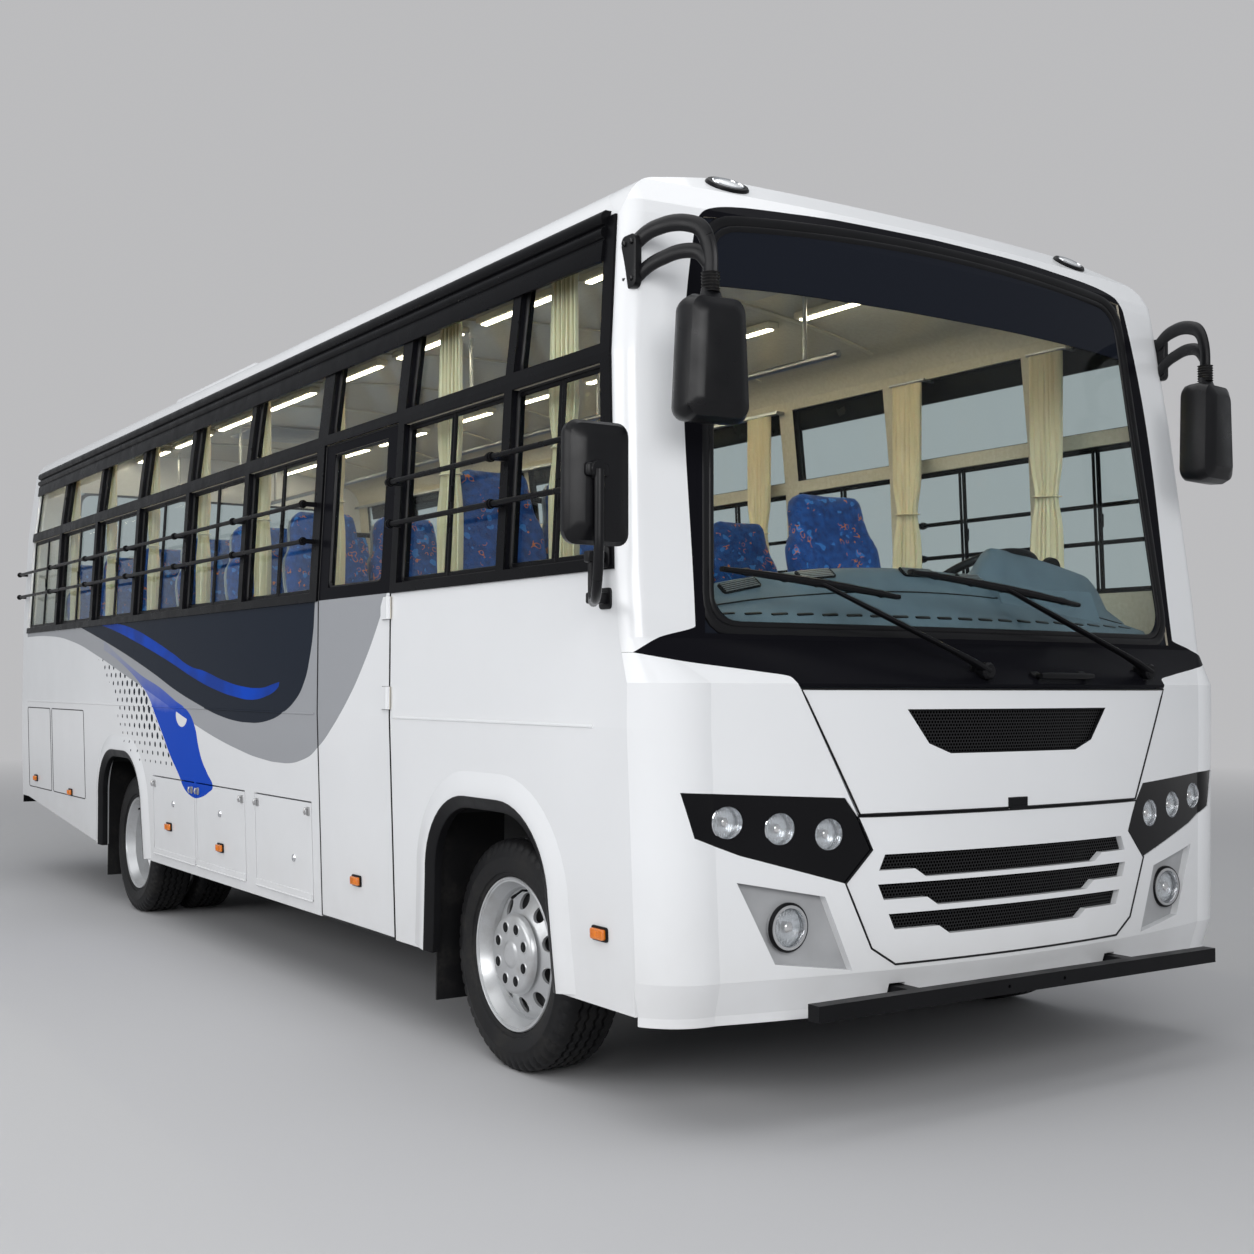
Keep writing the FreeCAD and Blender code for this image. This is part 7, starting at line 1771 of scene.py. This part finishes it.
def islands(node):
    """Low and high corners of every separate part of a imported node, in order."""
    part = bmesh.new()
    part.from_mesh(NODES[node].data)
    bmesh.ops.remove_doubles(part, verts=part.verts, dist=1e-5)
    left, boxes = set(part.verts), []
    while left:
        island, stack = [], [left.pop()]
        while stack:
            vert = stack.pop()
            island.append(vert.co.copy())
            near = {edge.other_vert(vert) for edge in vert.link_edges} & left
            left -= near
            stack += near
        boxes.append(extent(island))
    part.free()
    return sorted(boxes, key=lambda box: box[0][:])


def padding(name, mesh):
    """A padded piece of seat fabric."""
    piece = build(name, mesh, "seat_fabric")
    return piece


def seat_at(x, front):
    """Matrices that put a cushion and a back where a seat stands."""
    top, deep = SEAT["floor"] + SEAT["high"], SEAT["deep"]
    cushion = Matrix.Translation((x, front + deep / 2, top - SEAT["thick"]))
    lean = math.atan2(SEAT["rake"], SEAT["back"] - SEAT["high"])
    back = (Matrix.Translation((x, front + deep + 0.075, top - 0.085))
            @ Matrix.Rotation(-lean, 4, "X") @ AHEAD)
    return cushion, back


class COACH_OT_seats(bpy.types.Operator):
    """Padded seats with their shells, grab bars and armrests"""
    bl_idname = "coach.seats"
    bl_label = "Seats"

    def execute(self, context):
        settings = context.scene.coach_seats
        pair = 0.80
        cushion, back = seat_templates(settings, pair / 2 - 0.008)
        cushions, backs, shells, bars = meshes(4)
        for corner, far in islands("passenger_seats"):
            low, high, front = corner.x, far.x, corner.y
            count = 2 if high - low > 0.7 else 1
            share = (high - low) / count
            for number in range(count):
                x = low + share * (number + 0.5)
                narrow = Matrix.Diagonal((share / (pair / 2), 1, 1, 1))
                seat, lean = seat_at(x, front)
                copy_into(cushions, cushion, seat @ narrow)
                copy_into(backs, back, lean @ narrow)
                plate(shells, [(spot[0] * share / (pair / 2) * 0.97, spot[1] * 0.985 + 0.004)
                               for spot in back_outline(pair / 2 - 0.008, 0.71)], -0.014,
                      lean @ Matrix.Translation((0, 0, -0.002)), 0.005)
            self.bars(bars, low, high, front)
        for name, mesh in (("seat_cushions", cushions), ("seat_backs", backs)):
            piece = padding(name, mesh)
        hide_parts("passenger_seats")
        build("seat_shells", shells, "shell_grey")
        build("seat_bars", bars, "satin_black")
        low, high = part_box("driver_seat")
        wide = (high.x - low.x) / (pair / 2)
        seat, lean = seat_at((low.x + high.x) / 2, low.y)
        for name, template, place in (("driver_cushion", cushion, seat),
                                      ("driver_back", back, lean)):
            mesh = bmesh.new()
            copy_into(mesh, template, place @ Matrix.Diagonal((wide, 1, 1, 1)))
            piece = padding(name, mesh)
        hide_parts("driver_seat")
        cushion.free()
        back.free()
        return {"FINISHED"}

    def bars(self, mesh, low, high, front):
        """Grab bar behind the heads and an armrest at the aisle."""
        top = SEAT["floor"] + SEAT["back"]
        y = front + SEAT["deep"] + SEAT["rake"] + SEAT["back_thick"] - 0.012
        ends = (low + 0.06, high - 0.06)
        tube(mesh, bend([(ends[0], y - 0.045, top - 0.20), (ends[0], y, top - 0.075),
                         (ends[1], y, top - 0.075), (ends[1], y - 0.045, top - 0.20)], 0.05, 5),
             0.011, 10)
        aisle = low if abs(low - MIDDLE) < abs(high - MIDDLE) else high
        inward = 0.010 if aisle == low else -0.010
        seat = SEAT["floor"] + SEAT["high"]
        tube(mesh, bend([(aisle + inward, front + 0.40, seat - 0.06),
                         (aisle + inward, front + 0.44, seat + 0.17),
                         (aisle + inward, front + 0.12, seat + 0.17)], 0.05, 5), 0.012, 8)
        block(mesh, (aisle + inward - 0.016, front + 0.12, seat + 0.165),
              (aisle + inward + 0.016, front + 0.38, seat + 0.195), 0.010, 3)


def gathered(mesh, side, low, high, folds, deep, tie):
    """One gathered curtain: pleats that swing deeper towards the foot, drawn in at its tie."""
    part = bmesh.new()
    columns, rows = folds * 8, 44
    bmesh.ops.create_grid(part, x_segments=columns, y_segments=rows, size=0.5)
    wide, tall = high.y - low.y, high.z - low.z
    x = (low.x + high.x) / 2
    for vert in part.verts:
        across, up = vert.co.x + 0.5, vert.co.y + 0.5
        pinch = 1 - tie * math.exp(-((up - 0.42) / 0.09) ** 2)
        swing = 0.72 + 0.28 * (1 - up) + 0.06 * math.sin(up * 7 + across * 3)
        wave = math.sin(across * folds * math.tau + 0.5 * math.sin(up * 4.0))
        wave += 0.22 * math.sin(across * folds * math.tau * 2.3 + 1.7 + up * 2.2)
        y = (low.y + high.y) / 2 + (across - 0.5) * wide * pinch * 0.96
        y += 0.010 * math.cos(across * folds * math.tau) * pinch
        vert.co = Vector((x + side * deep / 2 * wave * swing * (0.6 + 0.4 * pinch) * 0.8, y,
                          low.z + tall * up))
    merge(mesh, part)


FRONT_CURTAINS = ((-0.335, -0.175), (0.430, 0.600))


class COACH_OT_curtains(bpy.types.Operator):
    """Gathered curtains with their tie bands at every window"""
    bl_idname = "coach.curtains"
    bl_label = "Curtains"

    def execute(self, context):
        boxes = islands("curtains")
        rail_low, rail_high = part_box("curtain_rails")
        for side, (low, high) in ((-1, boxes[0]), (1, boxes[-1])):
            bar = bmesh.new()
            outer = low.x if side < 0 else high.x
            for start, end in FRONT_CURTAINS:
                boxes.append([at(low.x - MIDDLE, start, low.z), at(high.x - MIDDLE, end, high.z)])
                z = high.z + 0.008
                tube(bar, [by(outer - side * 0.015, FRONT_AXLE + y, z)
                           for y in (start - 0.02, end + 0.02)], 0.007, 10)
                for y in (start, end):
                    tube(bar, [by(outer - side * 0.015, FRONT_AXLE + y, z),
                               by(outer + side * 0.055, FRONT_AXLE + y, z)], 0.006, 8)
            build("front_rails_%s" % ("right" if side < 0 else "left"), bar, "bare_alloy")
        bands, first = bmesh.new(), None
        for number, (low, high) in enumerate(sorted(boxes, key=lambda box: box[0][:])):
            side = 1 if low.x > MIDDLE else -1
            mesh = bmesh.new()
            gathered(mesh, side, low, high, 6, 0.034, 0.30)
            area = sum(face.calc_area() for face in mesh.faces)
            piece = build("curtain_%02d" % number, mesh, "curtain_cloth", "coach")
            tall = high.z - low.z
            first = first or piece
            middle = (low + high) / 2
            z = low.z + tall * 0.42
            loop = [Vector((middle.x + 0.019 * math.cos(math.tau * step / 20),
                            middle.y + 0.062 * math.sin(math.tau * step / 20), z + 0.004 *
                            math.sin(math.tau * step / 20))) for step in range(20)]
            tube(bands, loop, 0.010, 6, closed=True, flat=0.25, up=(0, 0, 1))
        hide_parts("curtains")
        build("curtain_bands", bands, "curtain_cloth")
        return {"FINISHED"}


STRIP_LINE, RAIL_LINE, RAIL_HIGH = 0.52, 0.34, 2.50


class COACH_OT_ceiling(bpy.types.Operator):
    """Ceiling panels with their beads, strip lights and grab rails"""
    bl_idname = "coach.ceiling"
    bl_label = "Ceiling"

    def execute(self, context):
        bead, lit, rail, hatch = meshes(4)
        for station in REAR_PILLARS + [FRONT_PILLAR, 0.63]:
            row = [at(x, station, CABIN_AIR) for x in stretch(-1.0, 1.0, 24)]
            tube(bead, traced("roof", row, UP, 0.004), 0.016, 6, flat=0.35)
        for side in (-1, 1):
            row = [at(side * STRIP_LINE, station, CABIN_AIR) for station in
                   [-0.45] + [0.22 + WINDOW_PITCH * number for number in range(8)]]
            for place in traced("roof", row, UP):
                block(bead, place + by(-0.030, -0.33, -0.030),
                      place + by(0.030, 0.33, 0.0), 0.008)
                block(lit, place + by(-0.015, -0.31, -0.036),
                      place + by(0.015, 0.31, -0.026), 0.004)
            tube(rail, [at(side * RAIL_LINE, y, RAIL_HIGH) for y in stretch(0.1, 6.1, 24)],
                 0.014, 10)
            row = [at(side * RAIL_LINE, y, CABIN_AIR) for y in (0.3, 1.8, 3.3, 4.8, 6.0)]
            for foot in traced("roof", row, UP):
                tube(rail, [(foot.x, foot.y, RAIL_HIGH), foot], 0.009, 8)
        for place in traced("roof", [at(0, y, CABIN_AIR) for y in (0.30, 4.9)], UP, 0.016):
            plate(hatch, round_box(0.58, 0.52, 0.05), 0.012, Matrix.Translation(place), 0.004)
        build("ceiling_beads", bead, "cream_trim")
        build("strip_lights", lit, "strip_light", smooth=False)
        build("ceiling_rails", rail, "bare_alloy")
        build("roof_hatches", hatch, "shell_grey")
        return {"FINISHED"}


DASH_HALF, DASH_FOOT, DASH_CROWN = 0.96, 1.372, 1.50


def dash_moulding(mesh):
    """Dash top from post to post behind the glass, with the binnacle ahead of the wheel."""
    part, rings = bmesh.new(), []
    for x in stretch(-DASH_HALF, DASH_HALF, 72):
        crown = DASH_CROWN + 0.115 * (1 - (x / DASH_HALF) ** 2)
        hood = 0.5 - 0.5 * math.cos(math.pi * min(max((0.37 - abs(x - 0.65)) / 0.13, 0), 1))
        front, back = screen_spot(x, 1.40).y - FRONT_AXLE + 0.035, -0.585
        waist = 0.5 * (crown - 1.40)
        section = ((0.0, DASH_FOOT), (0.0, 1.392), (0.10, 1.425), (0.42, 1.40 + waist),
                   (0.46, 1.41 + waist), (0.70, crown - 0.04 + 0.06 * hood),
                   (0.80, crown - 0.015 + 0.100 * hood), (0.90, crown + 0.112 * hood),
                   (0.97, crown - 0.002 + 0.110 * hood), (1.0, crown - 0.02 + 0.10 * hood),
                   (1.0, DASH_FOOT))
        rings.append([at(x, front + (back - front) * share, z) for share, z in section])
    loft(part, rings)
    merge(mesh, part)


class COACH_OT_cab(bpy.types.Operator):
    """Dash moulding, instruments, vents and gear lever of the driver's place"""
    bl_idname = "coach.cab"
    bl_label = "Cab"

    def execute(self, context):
        cover, dark, dial, trim = meshes(4)
        dash_moulding(cover)
        build("dash_moulding", cover, "dash_grey")

        def top(x, y):
            """Place and standing of a fitting on the moulding."""
            return facing(*hit("dash_moulding", at(x, y, 2.2), DOWN), up=(0, 1, 0))

        for x in (-0.72, -0.42, 0.02, 0.28):
            stand = top(x, -0.645)
            plate(dark, round_box(0.15, 0.046, 0.012), 0.006, stand, 0.002)
            for y in stretch(-0.016, 0.016, 4):
                tube(trim, [stand @ by(end, y, 0.007) for end in (-0.064, 0.064)], 0.002, 6)
        for x in stretch(-0.88, 0.88, 19):
            y = screen_spot(x, 1.40).y - FRONT_AXLE + 0.085
            plate(dark, round_box(0.062, 0.011, 0.005), 0.003, top(x, y), 0.001)
        tube(dark, [top(x, -0.73).translation for x in stretch(-0.94, 0.94, 40)], 0.003, 6)
        for x, radius in ((0.56, 0.050), (0.74, 0.050), (0.65, 0.028)):
            turn = Matrix.Translation(at(x, -0.582, 1.640)) @ Matrix.Rotation(
                math.radians(-75), 4, "X")
            lathe(dark, ((0, 0), (radius, 0), (radius, 0.016), (radius - 0.006, 0.016),
                         (radius - 0.006, 0.004), (0, 0.004)), (0, 0, 0), steps=32, turn=turn)
            lathe(dial, ((0, 0.006), (radius - 0.008, 0.006), (radius - 0.008, 0.005)),
                  (0, 0, 0), steps=32, turn=turn)
        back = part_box("engine_cover")[1].y
        boot = hit("engine_cover", (MIDDLE + 0.16, back - 0.25, 2.2), DOWN)[0]
        lathe(dark, ((0.075, 0), (0.070, 0.02), (0.045, 0.05), (0.024, 0.08), (0.020, 0.11),
                     (0, 0.11)), boot, "Z", 20)
        knob = boot + by(0.01, -0.01, 0.26)
        tube(trim, bend([boot + by(z=0.10), boot + by(0, -0.03, 0.18), knob], 0.06),
             0.008, 8)
        lathe(dark, ((0, 0.04), (0.018, 0.035), (0.026, 0.015), (0.020, -0.006), (0, -0.01)),
              knob, "Z", 20)
        build("cab_fittings", dark, "satin_black")
        build("dials", dial, "dial")
        build("vent_fins", trim, "bare_alloy")
        return {"FINISHED"}


# Stage
def look_matrix(settings):
    """Camera's place and turn from its yaw, pitch and roll."""
    yaw, pitch, roll = settings.camera_yaw, settings.camera_pitch, settings.camera_roll
    ahead = Vector((math.sin(yaw) * math.cos(pitch), math.cos(yaw) * math.cos(pitch),
                    math.sin(pitch)))
    right = by(math.cos(yaw), -math.sin(yaw), 0)
    up = right.cross(ahead)
    rolled = right * math.cos(roll) + up * math.sin(roll)
    upright = up * math.cos(roll) - right * math.sin(roll)
    turn = Matrix((rolled, upright, -ahead)).transposed().to_4x4()
    return Matrix.Translation(settings.camera_place) @ turn


class COACH_OT_stage(bpy.types.Operator):
    """Add the floor, the soft light and the camera"""
    bl_idname = "coach.stage"
    bl_label = "Stage"

    def execute(self, context):
        settings = context.scene.coach_stage
        mesh = bmesh.new()
        bmesh.ops.create_circle(mesh, cap_ends=True, segments=96, radius=60)
        floor = build("floor_sheet", mesh, body=None, smooth=False)
        shader = Shader("studio_floor")
        x, y, z = shader.split(shader.place)
        fade = shader.span(shader.far(x, y), 5.0, 19.0)
        sheet = shader.blend(shader.noise(0.25, 3.0), shade(settings.floor_colour, 0.97),
                             settings.floor_colour)
        shader.put(Base_Color=shader.blend(fade, sheet, (0, 0, 0)), Roughness=0.9,
                   Specular_IOR_Level=0.0, Emission_Color=settings.floor_colour,
                   Emission_Strength=fade)
        floor.data.materials.append(shader.material)
        floor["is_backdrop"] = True
        world = bpy.data.worlds.new("studio")
        context.scene.world = world
        sky = Tree(world)
        rays = sky.add("LightPath").outputs
        lit = sky.add("Background", (0.93, 0.96, 1.0), 0.41)
        backdrop = sky.add("Background", settings.floor_colour, 1.0)
        seen = sky.most(rays["Is Camera Ray"], rays["Is Transmission Ray"])
        either = sky.add("MixShader", seen, lit.outputs[0], backdrop.outputs[0])
        sky.links.new(either.outputs[0], sky.nodes["World Output"].inputs[0])
        for name, place, size, power in (
                ("top_box", (-1.5, -1.0, 8.5), (9, 12), 420),
                ("front_box", (-4.5, -11.0, 4.5), (6, 4), 430),
                ("side_box", (-11.0, -1.5, 4.5), (11, 4), 400)):
            lamp = bpy.data.lights.new(name, "AREA")
            lamp.shape, lamp.size, lamp.size_y, lamp.energy = "RECTANGLE", *size, power
            holder = bpy.data.objects.new(name, lamp)
            context.collection.objects.link(holder)
            holder.location = place
            aim = by(0, -0.8, 1.2) - Vector(place)
            holder.rotation_euler = aim.to_track_quat("-Z", "Y").to_euler()
        camera = bpy.data.cameras.new("photo_camera")
        camera.lens, camera.sensor_width, camera.sensor_fit = settings.lens, 36, "HORIZONTAL"
        holder = bpy.data.objects.new("photo_camera", camera)
        context.collection.objects.link(holder)
        holder.matrix_world = look_matrix(settings)
        context.scene.camera = holder
        context.scene.view_settings.view_transform = "Standard"
        return {"FINISHED"}


# Panel and run
PROPERTIES = (("coach_paint", PaintSettings), ("coach_glass", GlassSettings),
              ("coach_wheels", WheelSettings), ("coach_seats", SeatSettings),
              ("coach_stage", StageSettings))
OPERATORS = (COACH_OT_frame_finishes, COACH_OT_tyres, COACH_OT_wheel_fittings,
             COACH_OT_front_lamps, COACH_OT_screen_rubber, COACH_OT_wipers,
             COACH_OT_nose_trim, COACH_OT_mirrors, COACH_OT_wheel_arches,
             COACH_OT_window_seals, COACH_OT_body_lines, COACH_OT_side_fittings,
             COACH_OT_roof_fittings, COACH_OT_tail_fittings, COACH_OT_underbody,
             COACH_OT_seats, COACH_OT_curtains, COACH_OT_ceiling,
             COACH_OT_cab, COACH_OT_stage)


class COACH_PT_pieces(bpy.types.Panel):
    """Buttons for the pieces and fields for their sizes and colours"""
    bl_label = "Coach"
    bl_idname = "COACH_PT_pieces"
    bl_space_type = "VIEW_3D"
    bl_region_type = "UI"
    bl_category = "Coach"

    def draw(self, context):
        for name, group in PROPERTIES:
            box = self.layout.box()
            for field in group.__annotations__:
                box.prop(getattr(context.scene, name), field)
        for operator in OPERATORS:
            self.layout.operator(operator.bl_idname)


CLASSES = tuple(group for name, group in PROPERTIES) + OPERATORS + (COACH_PT_pieces,)


def register():
    """Make the classes and settings known."""
    for item in CLASSES:
        bpy.utils.register_class(item)
    for name, group in PROPERTIES:
        setattr(bpy.types.Scene, name, PointerProperty(type=group))


def unregister():
    """Take the classes and settings away again."""
    for name, group in PROPERTIES:
        delattr(bpy.types.Scene, name)
    for item in reversed(CLASSES):
        bpy.utils.unregister_class(item)


def main():
    """Register, dress the coach piece by piece and measure how large it came out."""
    register()
    for operator in OPERATORS:
        getattr(bpy.ops.coach, operator.bl_idname.split(".")[1])()
    sizes = [[[float(v) for v in corner] for corner in box] for box in (cad_box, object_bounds())]


if __name__ == "__main__":
    main()
